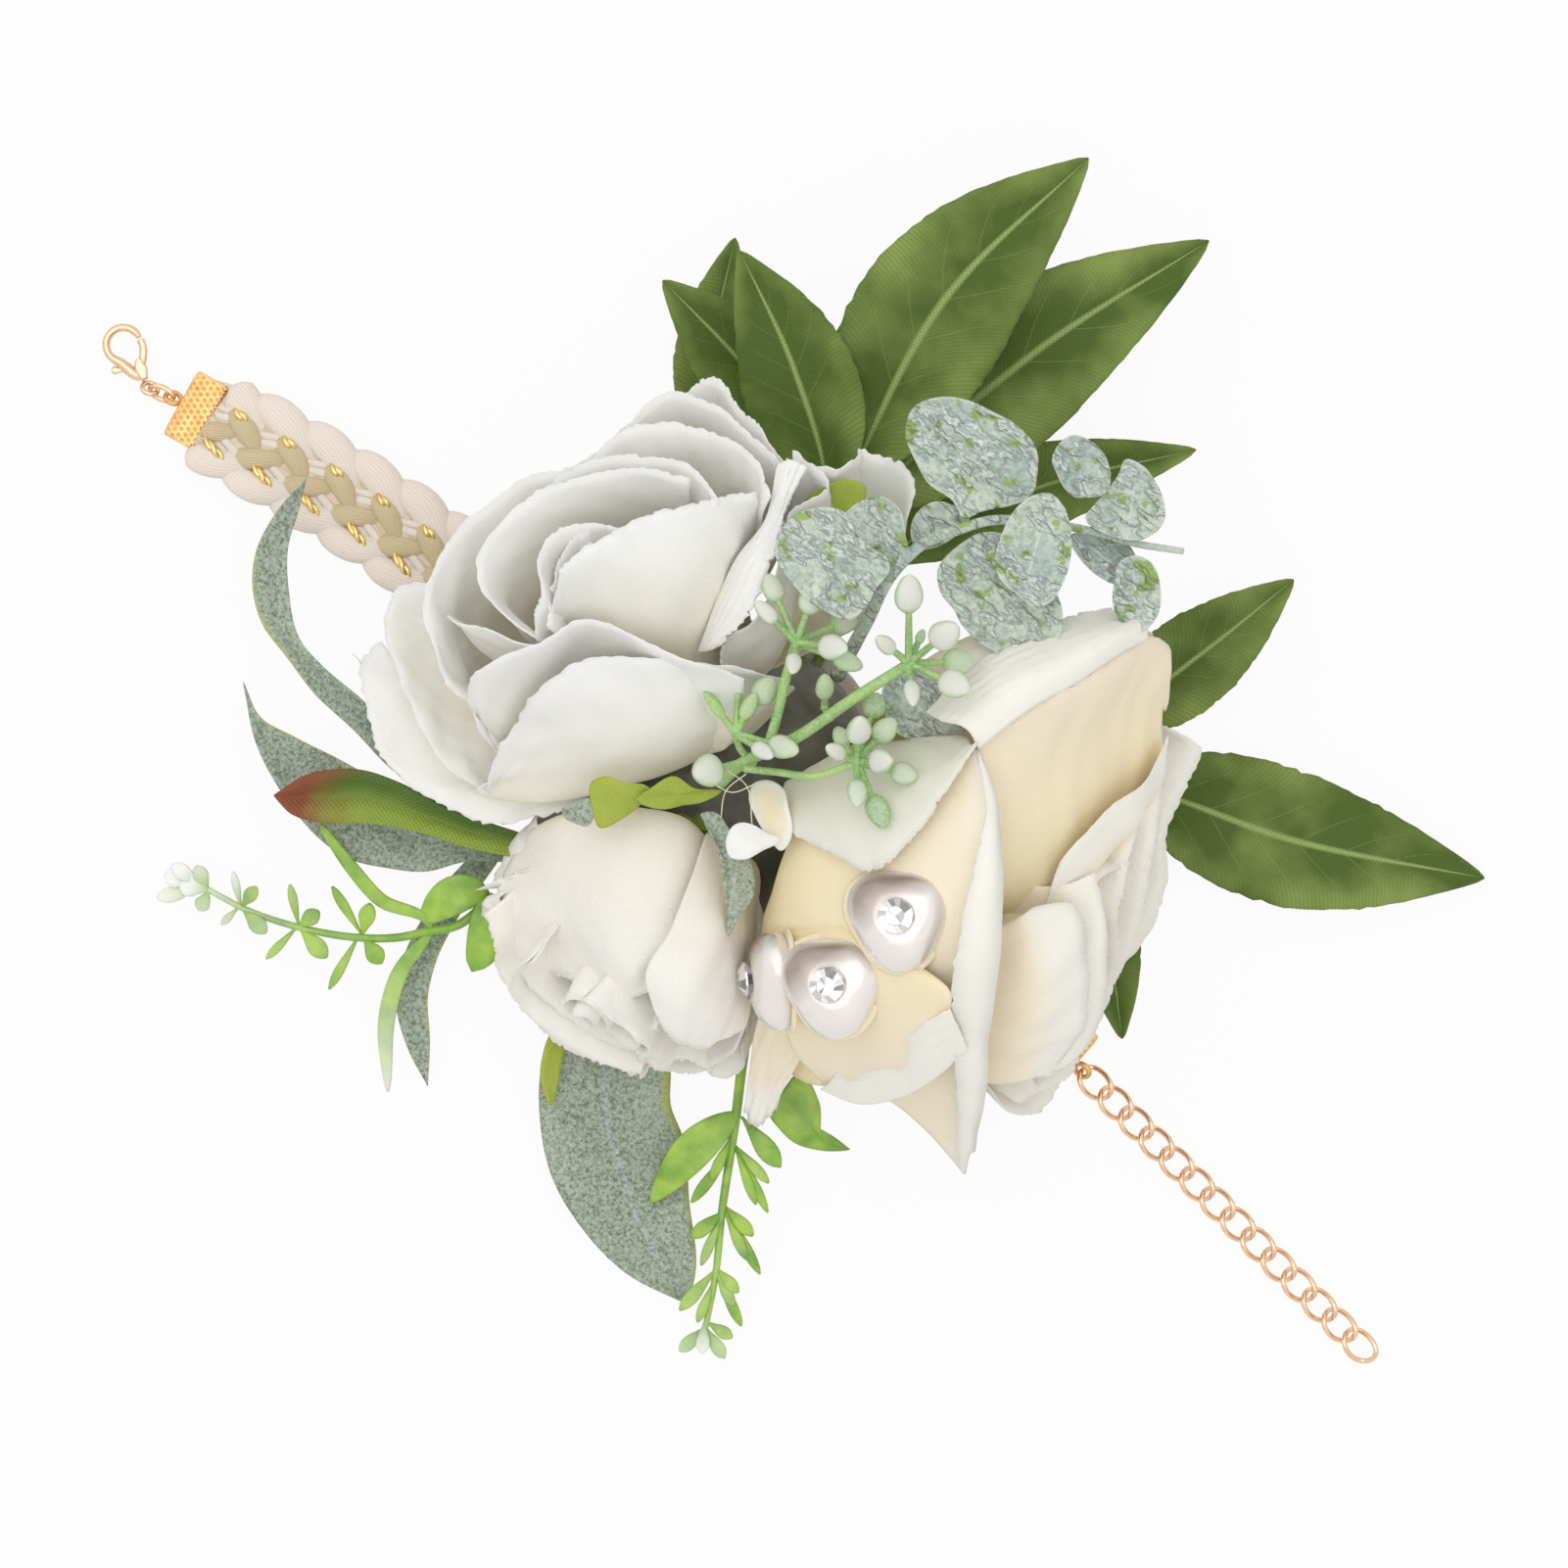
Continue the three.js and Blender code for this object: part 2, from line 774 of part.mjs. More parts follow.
// Outline of the clasp: a round hook that narrows to its neck.
function claspOutline() {
  const spread = Math.acos((clasp.hookRadius - clasp.neckRadius) / hookToNeck());
  const points = [];
  const arc = (x, radius, from, to, count) => {
    for (let i = 0; i <= count; i++) {
      const angle = from + ((to - from) * i) / count;
      points.push(new THREE.Vector2(x + radius * Math.cos(angle), radius * Math.sin(angle)));
    }
  };
  const tangent = Math.PI - spread;
  arc(clasp.hookDistance, clasp.hookRadius, -tangent, tangent, 20);
  arc(clasp.neckDistance, clasp.neckRadius, tangent, 2 * Math.PI - tangent, 6);
  return points;
}

function hookToNeck() {
  return clasp.hookDistance - clasp.neckDistance;
}

// A flat arm from the lever's pivot to a point, square at both ends.
function leverArm(reach, side) {
  const pivot = new THREE.Vector2(clasp.pivotDistance, -clasp.pivotSide);
  const end = new THREE.Vector2(reach, side);
  const ahead = end.clone().sub(pivot).normalize();
  const half = new THREE.Vector2(-ahead.y, ahead.x).multiplyScalar(clasp.armWidth / 2);
  const outline = [
    pivot.clone().sub(half),
    end.clone().sub(half),
    end.clone().add(half),
    pivot.clone().add(half),
  ];
  return plate(outline, clasp.leverThickness);
}

function claspBody() {
  const through = clasp.thickness + gap;
  const hook = solidOf(plate(claspOutline(), clasp.thickness));
  const bore = solidOf(disc(clasp.hookBore, through, clasp.hookDistance, 0));
  const gateWay = solidOf(plate(gateWayOutline(), through));
  const pinHole = solidOf(
    disc(clasp.pinRadius + clasp.pinPlay, through, clasp.pivotDistance, -clasp.pivotSide),
  );
  const window = solidOf(plate(windowOutline(), through));
  const slotLength = clasp.slotEnd - clasp.slotStart;
  const slot = new THREE.BoxGeometry(slotLength, clasp.hookRadius * 2 + gap, clasp.slotHeight);
  slot.translate(clasp.slotStart + slotLength / 2, 0, 0);
  const eye = wireLoop().rotateZ(radians(jumpRing.heading - clasp.heading));
  return geometryOf(
    hook
      .subtract(bore)
      .subtract(gateWay)
      .subtract(pinHole)
      .subtract(window)
      .subtract(solidOf(slot))
      .add(solidOf(eye)),
  );
}

// The part of the hook's side that the gate fills.
function gateWayOutline() {
  const start = clasp.slotStart + clasp.windowSide;
  const outside = clasp.hookRadius + gap;
  return [
    new THREE.Vector2(start, -outside),
    new THREE.Vector2(clasp.gateReach + clasp.gateCut, -outside),
    new THREE.Vector2(clasp.gateReach + clasp.gateCut, -clasp.hookBore / 2),
    new THREE.Vector2(clasp.slotEnd, -clasp.hookBore / 2),
    new THREE.Vector2(start, -clasp.pivotSide - clasp.armWidth),
  ];
}

// The opening between the hook and the neck, beside the lever.
function windowOutline() {
  return [
    new THREE.Vector2(clasp.windowStart, clasp.neckRadius / 2),
    new THREE.Vector2(clasp.windowEnd, clasp.neckRadius / 2),
    new THREE.Vector2(clasp.windowEnd, clasp.windowSide),
  ];
}

// The lever: a gate arm, and a thumb arm that comes out on the other side.
function claspLever() {
  const [x, y] = [clasp.pivotDistance, -clasp.pivotSide];
  const hub = disc(clasp.pinRadius + clasp.armWidth / 2, clasp.leverThickness, x, y);
  const gate = leverArm(clasp.gateReach, -clasp.gateSide);
  const lever = joined([hub, gate, leverArm(clasp.nubReach, clasp.nubSide)]);
  const hole = disc(clasp.pinRadius + clasp.pinPlay, clasp.thickness, x, y);
  return cutBy(lever, [solidOf(hole)]);
}

function claspSpring() {
  const start = clasp.slotStart + clasp.springRadius + clasp.pinPlay;
  const curve = new THREE.CatmullRomCurve3([
    new THREE.Vector3(start, -clasp.neckRadius, 0),
    new THREE.Vector3(start + clasp.springRadius, clasp.neckRadius / 2, 0),
    new THREE.Vector3(start + clasp.springRadius * clasp.springRunShare, clasp.windowSide, 0),
  ]);
  return roundWire(curve, faceCounts.springSteps, clasp.springRadius, faceCounts.wire);
}

function atHeading(x, y, z, heading) {
  const group = new THREE.Group();
  group.position.set(x, y, z);
  group.rotation.z = radians(heading);
  corsage.add(group);
  return group;
}

// Where each crimp's loop is, measured from the end of the braid.
const leftLoopX = band.leftEnd - band.edgeRound - crimp.length - crimp.loopOffset;
const rightLoopX = band.rightEnd + band.edgeRound + crimp.length + crimp.loopOffset;

function addBand() {
  const half = band.centreHalf;
  addNode("band_centre", bandStretch(-half, half), materials.cotton);
  addNode("band_left_inner", bandStretch(band.leftBend, -half - gap), materials.cotton);
  const leftTongue = bandTongue();
  leftTongue.rotateZ(radians(crimp.leftHeading));
  leftTongue.translate(leftLoopX, crimp.leftLoopY, crimp.middleHeight);
  const leftOuter = bandStretch(band.leftEnd, band.leftBend - gap);
  addNode("band_left_outer", joined([leftOuter, leftTongue]), materials.cotton);
  const rightTongue = bandTongue();
  rightTongue.rotateZ(radians(crimp.rightHeading));
  rightTongue.translate(rightLoopX, crimp.rightLoopY, crimp.middleHeight);
  const right = bandStretch(half + gap, band.rightEnd);
  addNode("band_right", joined([right, rightTongue]), materials.cotton);
}

function addLeftFastening() {
  const start = atHeading(leftLoopX, crimp.leftLoopY, crimp.middleHeight, jumpRing.heading);
  const turn = radians(crimp.leftHeading - jumpRing.heading);
  const body = joined([crimpBody().rotateZ(turn), wireLoop()]);
  addNode("left_crimp", body, materials.goldPlate, start);
  addNode("clasp_ring", jumpRingWire(), materials.roseGold, start);
  const hook = new THREE.Group();
  hook.position.set(2 * jumpRing.halfLength, 0, 0);
  hook.rotation.z = radians(clasp.heading - jumpRing.heading);
  start.add(hook);
  addNode("clasp_body", claspBody(), materials.roseGold, hook);
  addNode("clasp_lever", claspLever(), materials.roseGold, hook);
  const pin = disc(clasp.pinRadius, clasp.thickness, clasp.pivotDistance, -clasp.pivotSide);
  addNode("clasp_pin", pin, materials.roseGold, hook);
  addNode("clasp_spring", claspSpring(), materials.roseGold, hook);
}

function addChain() {
  const start = atHeading(rightLoopX, crimp.rightLoopY, crimp.middleHeight, chain.heading);
  const turn = radians(crimp.rightHeading - chain.heading);
  const body = joined([crimpBody().rotateZ(turn), wireLoop()]);
  addNode("right_crimp", body, materials.goldPlate, start);
  for (let i = 0; i < chain.linkCount; i++) {
    const name = "chain_link_" + String(i + 1).padStart(2, "0");
    const link = addNode(name, chainLink(), materials.roseGold, start);
    link.position.x = chain.halfLength + i * chain.pitch;
  }
}

// A rose stands on its base point; its own +X side is the one it leans toward.
function roseGroup(rose) {
  const group = new THREE.Group();
  group.position.set(rose.baseX, rose.baseY, rose.baseZ);
  group.rotation.order = "ZYX";
  group.rotation.set(0, radians(rose.lean), radians(rose.heading));
  corsage.add(group);
  group.updateMatrixWorld(true);
  return group;
}

function rimCurve(rimShares, reach, height) {
  const points = rimShares.map(([turn, reachShare, heightShare]) =>
    polar(reachShare * reach, turn, heightShare * height),
  );
  return new THREE.CatmullRomCurve3(points, true);
}

// One meridian of a bowl: it leaves its floor flat and climbs to the rim point.
function bowlPoint(rim, floor, share, inward) {
  const fullSweep = radians(petals.sweepDegrees);
  const sweep = share * fullSweep;
  const reach = Math.hypot(rim.x, rim.y);
  const outShare = Math.sin(sweep) / Math.sin(fullSweep);
  const upShare = (1 - Math.cos(sweep)) / (1 - Math.cos(fullSweep));
  const slopeOut = reach * Math.cos(sweep);
  const slopeUp = (rim.z - floor) * Math.sin(sweep);
  const slope = Math.hypot(slopeOut, slopeUp);
  const radius = reach * outShare - (inward * slopeUp) / slope;
  const z = floor + (rim.z - floor) * upShare + (inward * slopeOut) / slope;
  return new THREE.Vector3((rim.x / reach) * radius, (rim.y / reach) * radius, z);
}

function bowlLoop(curve, floor, share, inward) {
  const ring = [];
  for (let i = 0; i < petals.sectorCount; i++) {
    ring.push(bowlPoint(curve.getPoint(i / petals.sectorCount), floor, share, inward));
  }
  return ring;
}

// A ring of petals as one open bowl of even wall, with its wavy rim. With a coat it is
// thicker by the gap all over, as the space that other pieces keep out of.
function petalBowl(curve, floor, wall, coat = 0) {
  const loops = [];
  for (let i = 1; i <= petals.ringCount; i++) {
    loops.push(bowlLoop(curve, floor, ringShare(i, coat), -coat));
  }
  for (let i = petals.ringCount; i > 0; i--) {
    loops.push(bowlLoop(curve, floor, ringShare(i, coat), wall + coat));
  }
  return loft(
    loops,
    new THREE.Vector3(0, 0, floor - coat),
    new THREE.Vector3(0, 0, floor + wall + coat),
  );
}

function ringShare(ring, coat) {
  return ring === petals.ringCount && coat > 0 ? petals.overrunShare : ring / petals.ringCount;
}

// A leaning petal through rows of places, with an even wall. Its coat makes it thicker.
function leaningPetal(rose, shares, coat = 0) {
  const rows = shares.map((row) =>
    row.map(([turn, reachShare, heightShare]) =>
      polar(reachShare * rose.outerReach, turn, heightShare * rose.outerHeight),
    ),
  );
  const shifted = (offset) =>
    rows.map((row, i) =>
      row.map((place, j) => {
        const down = rows[Math.min(i + 1, rows.length - 1)][j].clone();
        const along = down.sub(rows[Math.max(i - 1, 0)][j]);
        const across = row[Math.min(j + 1, row.length - 1)].clone().sub(row[Math.max(j - 1, 0)]);
        return place.clone().addScaledVector(along.cross(across).normalize(), offset);
      }),
    );
  return sheetSkin(shifted(rose.wall / 2 + coat), shifted(-rose.wall / 2 - coat));
}

// Closes two facing grids of points into one skin, with a border all round.
function sheetSkin(front, back) {
  const [lastRow, lastColumn] = [front.length - 1, front[0].length - 1];
  const positions = [...front.flat(), ...back.flat()].flatMap((p) => [p.x, p.y, p.z]);
  const onFront = (i, j) => i * (lastColumn + 1) + j;
  const onBack = (i, j) => onFront(lastRow + 1, 0) + onFront(i, j);
  const faces = [];
  const addQuad = (a, b, c, d) => faces.push(a, b, c, a, c, d);
  for (let i = 0; i < lastRow; i++) {
    for (let j = 0; j < lastColumn; j++) {
      addQuad(onFront(i, j), onFront(i + 1, j), onFront(i + 1, j + 1), onFront(i, j + 1));
      addQuad(onBack(i, j), onBack(i, j + 1), onBack(i + 1, j + 1), onBack(i + 1, j));
    }
    addQuad(onFront(i + 1, 0), onFront(i, 0), onBack(i, 0), onBack(i + 1, 0));
    const [here, there] = [[i, lastColumn], [i + 1, lastColumn]];
    addQuad(onFront(...here), onFront(...there), onBack(...there), onBack(...here));
  }
  for (let j = 0; j < lastColumn; j++) {
    addQuad(onFront(0, j), onFront(0, j + 1), onBack(0, j + 1), onBack(0, j));
    const [here, there] = [[lastRow, j], [lastRow, j + 1]];
    addQuad(onFront(...there), onFront(...here), onBack(...here), onBack(...there));
  }
  return closedSkin(positions, faces);
}

// The whole inside of a bowl, for pieces that stay out of the rose.
function bowlInside(curve, floor) {
  const loops = [];
  for (let i = 1; i <= petals.ringCount; i++) {
    loops.push(bowlLoop(curve, floor, i / petals.ringCount, 0));
  }
  const top = loops[petals.ringCount - 1].reduce((sum, p) => sum + p.z, 0) / petals.sectorCount;
  return loft(loops, new THREE.Vector3(0, 0, floor), new THREE.Vector3(0, 0, top));
}

// The tight bud in the middle: a cone of cloth with a spiral ridge.
function roseHeart(rose) {
  const loops = [];
  const rise = rose.heartHeight - rose.heartFloor;
  for (let i = 1; i < bud.ringCount; i++) {
    const share = i / bud.ringCount;
    const swellShare = THREE.MathUtils.lerp(bud.footShare, bud.topShare, share);
    const swell = rose.heartRadius * Math.sin(Math.PI * swellShare);
    const ring = [];
    for (let j = 0; j < bud.sideCount; j++) {
      const turn = (360 * j) / bud.sideCount;
      const ridge = 1 + bud.ridgeShare * Math.sin(radians(turn + share * bud.twistDegrees));
      ring.push(polar(swell * ridge, turn, rose.heartFloor + rise * share));
    }
    loops.push(ring);
  }
  return loft(
    loops,
    new THREE.Vector3(0, 0, rose.heartFloor),
    new THREE.Vector3(0, 0, rose.heartHeight),
  );
}

// The green cup under the petals, and the stem stub that sits in the glue.
function roseCalyx(rose, grow) {
  const stem = rose.calyxRadius / 2 + grow;
  const top = rose.outerFloor - gap + grow;
  const foot = -rose.stemLength - grow;
  const profile = [
    new THREE.Vector2(0, foot),
    new THREE.Vector2(stem, foot),
    new THREE.Vector2(stem, -grow),
    new THREE.Vector2(rose.calyxRadius + grow, -grow),
    new THREE.Vector2(rose.calyxRadius + grow, top),
    new THREE.Vector2(0, top),
  ];
  return new THREE.LatheGeometry(profile, faceCounts.calyx).rotateX(Math.PI / 2);
}

function padDisc(grow) {
  const radius = pad.radius + grow;
  const height = pad.thickness + 2 * grow;
  const geometry = new THREE.CylinderGeometry(radius, radius, height, faceCounts.pad);
  geometry.rotateX(Math.PI / 2);
  geometry.translate(0, 0, band.thickness + gap + pad.thickness / 2);
  return geometry;
}

// The glue dome on the pad.
function moundDome(grow) {
  const floor = band.thickness + pad.thickness + 2 * gap - grow;
  const shoulder = floor + mound.height * mound.shoulderHeightShare;
  const profile = [
    new THREE.Vector2(0, floor),
    new THREE.Vector2(mound.radius + grow, floor),
    new THREE.Vector2(mound.radius + grow, floor + mound.footHeight + grow),
    new THREE.Vector2(mound.radius * mound.shoulderShare + grow, shoulder + 2 * grow),
    new THREE.Vector2(mound.crown + grow, floor + mound.height + 2 * grow),
    new THREE.Vector2(0, floor + mound.height + 2 * grow),
  ];
  return new THREE.LatheGeometry(profile, faceCounts.mound).rotateX(Math.PI / 2);
}

// A slab that reaches well past every piece, with its top just above the table.
function tableSlab() {
  const span = band.rightEnd - band.leftEnd;
  const slab = new THREE.BoxGeometry(4 * span, 4 * span, span);
  slab.translate(0, 0, tableClearance - span / 2);
  return solidOf(slab);
}

const tableSpace = tableSlab();

// A piece made in its group's frame and cut by spaces given in the part's frame.
function addCutNode(name, geometry, nodeMaterial, group, spaces) {
  group.updateMatrixWorld(true);
  const inverse = group.matrixWorld.clone().invert();
  const placed = geometry.clone().applyMatrix4(group.matrixWorld);
  return addNode(name, cutBy(placed, spaces).applyMatrix4(inverse), nodeMaterial, group);
}

// A whole rose. It gives back the space that later pieces keep out of.
function addRose(name, rose, rims, cloth, neighbours) {
  const group = roseGroup(rose);
  addNode(name + "_calyx", roseCalyx(rose, 0), materials.greenLeaf, group);
  const outer = rimCurve(rims.outer, rose.outerReach, rose.outerHeight);
  const outerName = rims.inner ? name + "_outer_petals" : name + "_petals";
  const bowls = [petalBowl(outer, rose.outerFloor, rose.wall)];
  const coats = [petalBowl(outer, rose.outerFloor, rose.wall, gap)];
  if (rims.fold) {
    bowls.push(leaningPetal(rose, rims.fold));
    coats.push(leaningPetal(rose, rims.fold, gap));
  }
  addCutNode(outerName, joined(bowls), cloth, group, neighbours);
  if (rims.inner) {
    const inner = rimCurve(rims.inner, rose.innerReach, rose.innerHeight);
    const bowl = petalBowl(inner, rose.innerFloor, rose.wall);
    addCutNode(name + "_inner_petals", bowl, cloth, group, [tableSpace]);
  }
  addNode(name + "_heart", roseHeart(rose), cloth, group);
  return {
    group,
    outer,
    spaces: [
      ...coats.map((coat) => placedSolid(coat, group)),
      placedSolid(bowlInside(outer, rose.outerFloor), group),
      placedSolid(roseCalyx(rose, gap), group),
    ],
  };
}

// A leaf and its petiole: one skin carried along the rib from its root in the glue to its tip.
function leafSkin(leaf, look) {
  const rootReach = leaf.rootReach ?? mound.radius - 3 * look.petiole;
  const root = polar(rootReach, leaf.rootHeading, leaf.rootHeight);
  const base = polar(leaf.baseReach, leaf.baseHeading, leaf.baseHeight);
  const tip = polar(leaf.tipReach, leaf.tipHeading, leaf.tipHeight);
  const chord = tip.clone().sub(base);
  const left = new THREE.Vector3(-chord.y, chord.x, 0).normalize();
  const middle = base.clone().lerp(tip, 0.5).addScaledVector(left, leaf.bend);
  const rib = new THREE.CatmullRomCurve3([root, base, middle, tip], false, "centripetal");
  const bladeStart = base.distanceTo(root) / (base.distanceTo(root) + chord.length());
  const up = new THREE.Vector3(0, 0, 1);
  const loops = [];
  for (let i = 1; i < leafShape.stationCount; i++) {
    const share = i / leafShape.stationCount;
    const point = rib.getPointAt(share);
    const across = new THREE.Vector3().crossVectors(up, rib.getTangentAt(share)).normalize();
    const bladeShare = THREE.MathUtils.clamp((share - bladeStart) / (1 - bladeStart), 0, 1);
    const blade = Math.sin(Math.PI * Math.pow(bladeShare, leafShape.swellPower));
    const half = Math.max(look.petiole / 2, (leaf.width / 2) * blade);
    const ring = [];
    const corner = (crossShare, rise) =>
      point
        .clone()
        .addScaledVector(across, crossShare * half)
        .setZ(point.z + rise + look.foldShare * Math.abs(crossShare) * half);
    const [rise, edge] = [look.ribThickness / 2, look.edgeThickness / 2];
    ring.push(corner(-1, -edge), corner(0, -rise), corner(1, -edge));
    ring.push(corner(1, edge), corner(0, rise), corner(-1, edge));
    loops.push(ring);
  }
  return loft(loops, root, tip);
}

function addLeaf(name, leaf, look, leafMaterial, spaces) {
  addNode(name, cutBy(leafSkin(leaf, look), spaces), leafMaterial);
}

function sprigPoint(shares, sprig) {
  const [along, side, up] = shares;
  return polar(along * sprig.reach, sprig.heading, up * sprig.rise).add(
    polar(side * sprig.reach, sprig.heading + 90, 0),
  );
}

function sprigCurve(stemShares, sprig) {
  return new THREE.CatmullRomCurve3(stemShares.map((shares) => sprigPoint(shares, sprig)));
}

// A small pointed leaflet that grows from the stem at its own slant.
function leaflet(start, ahead, sprig, sizeShare) {
  const half = (sprig.leafletLength / 2) * sizeShare;
  const geometry = new THREE.OctahedronGeometry(1);
  geometry.scale(half, (sprig.leafletWidth / 2) * sizeShare, sprig.leafletThickness / 2);
  geometry.translate(half - sprig.leafletThickness / 2, 0, 0);
  const turn = new THREE.Quaternion().setFromUnitVectors(new THREE.Vector3(1, 0, 0), ahead);
  return geometry.applyQuaternion(turn).translate(start.x, start.y, start.z);
}

// Paired leaflets along the outer part of a stem, smaller toward its tip.
function pairedSprig(stemShares, sprig) {
  const curve = sprigCurve(stemShares, sprig);
  const parts = [roundWire(curve, faceCounts.stemSteps, sprig.stemRadius, faceCounts.wire)];
  for (let i = 0; i < sprig.pairCount; i++) {
    const share = leafletShares.start + (leafletShares.span * i) / (sprig.pairCount - 1);
    const point = curve.getPointAt(share);
    const ahead = curve.getTangentAt(share);
    const sizeShare = 1 - (leafletShares.shrink * i) / sprig.pairCount;
    for (const side of [-1, 1]) {
      const across = new THREE.Vector3(-ahead.y, ahead.x, 0).multiplyScalar(side);
      const slant = ahead.clone().add(across).setZ(0).normalize();
      parts.push(leaflet(point, slant, sprig, sizeShare));
    }
  }
  return joined(parts);
}

// A rounded leaf on its short twig.
function roundLeaf(leaf, curve) {
  const middle = sprigPoint(leaf.placeShares, eucalyptus);
  const nearest = curve
    .getPoints(faceCounts.leafOutline)
    .reduce((a, b) => (b.distanceTo(middle) < a.distanceTo(middle) ? b : a));
  const out = middle.clone().sub(nearest);
  const heading = Math.atan2(out.y, out.x);
  const sides = faceCounts.roundLeaf;
  const ring = [];
  for (let i = 0; i < sides; i++) {
    const angle = (2 * Math.PI * i) / sides;
    ring.push(
      new THREE.Vector3((leaf.along / 2) * Math.cos(angle), (leaf.across / 2) * Math.sin(angle), 0),
    );
  }
  const half = eucalyptus.leafThickness / 2;
  const blade = loft([ring], new THREE.Vector3(0, 0, -half), new THREE.Vector3(0, 0, half));
  blade.rotateZ(heading);
  blade.translate(middle.x, middle.y, middle.z);
  const twig = new THREE.LineCurve3(nearest, middle);
  return [blade, roundWire(twig, 1, eucalyptus.stemRadius / 2, faceCounts.wire)];
}

function eucalyptusSprig() {
  const curve = sprigCurve(eucalyptusStemShares, eucalyptus);
  const stem = roundWire(curve, faceCounts.stemSteps, eucalyptus.stemRadius, faceCounts.wire);
  return joined([stem, ...eucalyptusLeaves.flatMap((leaf) => roundLeaf(leaf, curve))]);
}

function berryBranch() {
  const curve = sprigCurve(berryStemShares, berrySprig);
  const { berryStemSteps, twig: twigSides } = faceCounts;
  const parts = [roundWire(curve, berryStemSteps, berrySprig.stemRadius, faceCounts.wire)];
  for (const { place, twig } of berryPlaceShares) {
    const [start, end] = [curve.getPointAt(twig), sprigPoint(place, berrySprig)];
    parts.push(roundWire(new THREE.LineCurve3(start, end), 1, berrySprig.twigRadius, twigSides));
    const berry = new THREE.IcosahedronGeometry(1);
    berry.scale(berrySprig.berryLength / 2, berrySprig.berryRadius, berrySprig.berryRadius);
    const turn = new THREE.Quaternion().setFromUnitVectors(
      new THREE.Vector3(1, 0, 0),
      end.clone().sub(start).normalize(),
    );
    parts.push(berry.applyQuaternion(turn).translate(end.x, end.y, end.z));
  }
  return joined(parts);
}

// A pearl with three soft lobes, flat at the back, with a seat for its stone.
function pearlBead() {
  const sides = faceCounts.pearl;
  const loops = [];
  const ringAt = (radiusShare, z) => {
    const ring = [];
    for (let i = 0; i < sides; i++) {
      const turn = (360 * i) / sides;
      const radius = pearl.radius + pearl.lobeDepth * Math.cos(radians(3 * turn));
      ring.push(polar(radius * radiusShare, turn, z));
    }
    return ring;
  };
  loops.push(ringAt(pearl.backShare, -pearl.back));
  for (const sweep of pearl.sweepDegrees) {
    loops.push(ringAt(Math.cos(radians(sweep)), pearl.dome * Math.sin(radians(sweep))));
  }
  const body = loft(
    loops,
    new THREE.Vector3(0, 0, -pearl.back),
    new THREE.Vector3(0, 0, pearl.dome),
  );
  const seat = disc(pearl.seatRadius, 2 * pearl.seatDepth, 0, 0).translate(0, 0, pearl.dome);
  return cutBy(body, [solidOf(seat)]);
}

function beadStone() {
  const floor = pearl.dome - pearl.seatDepth + gap;
  const profile = [
    new THREE.Vector2(0, floor),
    new THREE.Vector2(stone.table, floor),
    new THREE.Vector2(stone.radius, floor + stone.depth),
    new THREE.Vector2(stone.table, floor + stone.depth + stone.crown),
    new THREE.Vector2(0, floor + stone.depth + stone.crown),
  ];
  return new THREE.LatheGeometry(profile, faceCounts.stone).rotateX(Math.PI / 2);
}

// The pearls sit on the rose's outer petals. It gives back the spaces that they take.
function addPearls(rose, spaces) {
  return pearlPlaceShares.map(({ turn, upShare, twist }, i) => {
    const rim = rimPointAt(rose.outer, turn);
    const foot = bowlPoint(rim, creamRose.outerFloor, upShare, 0);
    const lifted = bowlPoint(rim, creamRose.outerFloor, upShare, -pearl.back - gap);
    const seat = new THREE.Group();
    seat.position.copy(lifted);
    seat.quaternion.setFromUnitVectors(
      new THREE.Vector3(0, 0, 1),
      lifted.clone().sub(foot).normalize(),
    );
    rose.group.add(seat);
    const turned = new THREE.Group();
    turned.rotation.z = radians(twist);
    seat.add(turned);
    rose.group.updateMatrixWorld(true);
    addCutNode("pearl_bead_" + (i + 1), pearlBead(), materials.pearl, turned, spaces);
    addNode("bead_stone_" + (i + 1), beadStone(), materials.crystal, turned);
    return placedSolid(pearlCoat(), turned);
  });
}

// A round box about a pearl and its stone, larger than both by the gap.
function pearlCoat() {
  const top = pearl.dome + stone.depth + stone.crown + gap;
  const foot = -pearl.back - gap;
  const coat = disc(pearl.radius + pearl.lobeDepth + gap, top - foot, 0, 0);
  return coat.translate(0, 0, (top + foot) / 2);
}

function rimPointAt(curve, turn) {
  const places = curve.getPoints(faceCounts.rimSearch);
  return places.reduce((a, b) => (offTurn(b, turn) < offTurn(a, turn) ? b : a));
}

function offTurn(point, turn) {
  const off = Math.atan2(point.y, point.x) - radians(turn);
  return Math.abs(Math.atan2(Math.sin(off), Math.cos(off)));
}

function addLeaves(spaces) {
  greenLeaves.forEach((leaf, i) => {
    addLeaf("green_leaf_" + (i + 1), leaf, greenLeaf, materials.greenLeaf, spaces);
  });
  const spray = joined(frostedSprayLeaves.map((leaf) => leafSkin(leaf, frostedLeaf)));
  addNode("frosted_spray", cutBy(spray, spaces), materials.frostedLeaf);
  addLeaf("frosted_leaf", frostedLowLeaf, frostedLeaf, materials.frostedLeaf, spaces);
  addLeaf("olive_leaf", oliveLeaf, greenLeaf, materials.oliveLeaf, spaces);
}

function addSprigs(spaces) {
  const left = cutBy(pairedSprig(leftSprigStemShares, leftSprig), spaces);
  addNode("green_sprig_left", left, materials.sprigPlastic);
  const bottom = cutBy(pairedSprig(bottomSprigStemShares, bottomSprig), spaces);
  addNode("green_sprig_bottom", bottom, materials.sprigPlastic);
  addNode("eucalyptus_sprig", cutBy(eucalyptusSprig(), spaces), materials.eucalyptusFlock);
  addNode("berry_sprig", cutBy(berryBranch(), spaces), materials.berry);
}

addBand();
addLeftFastening();
addChain();
addNode("felt_pad", padDisc(0), materials.felt);

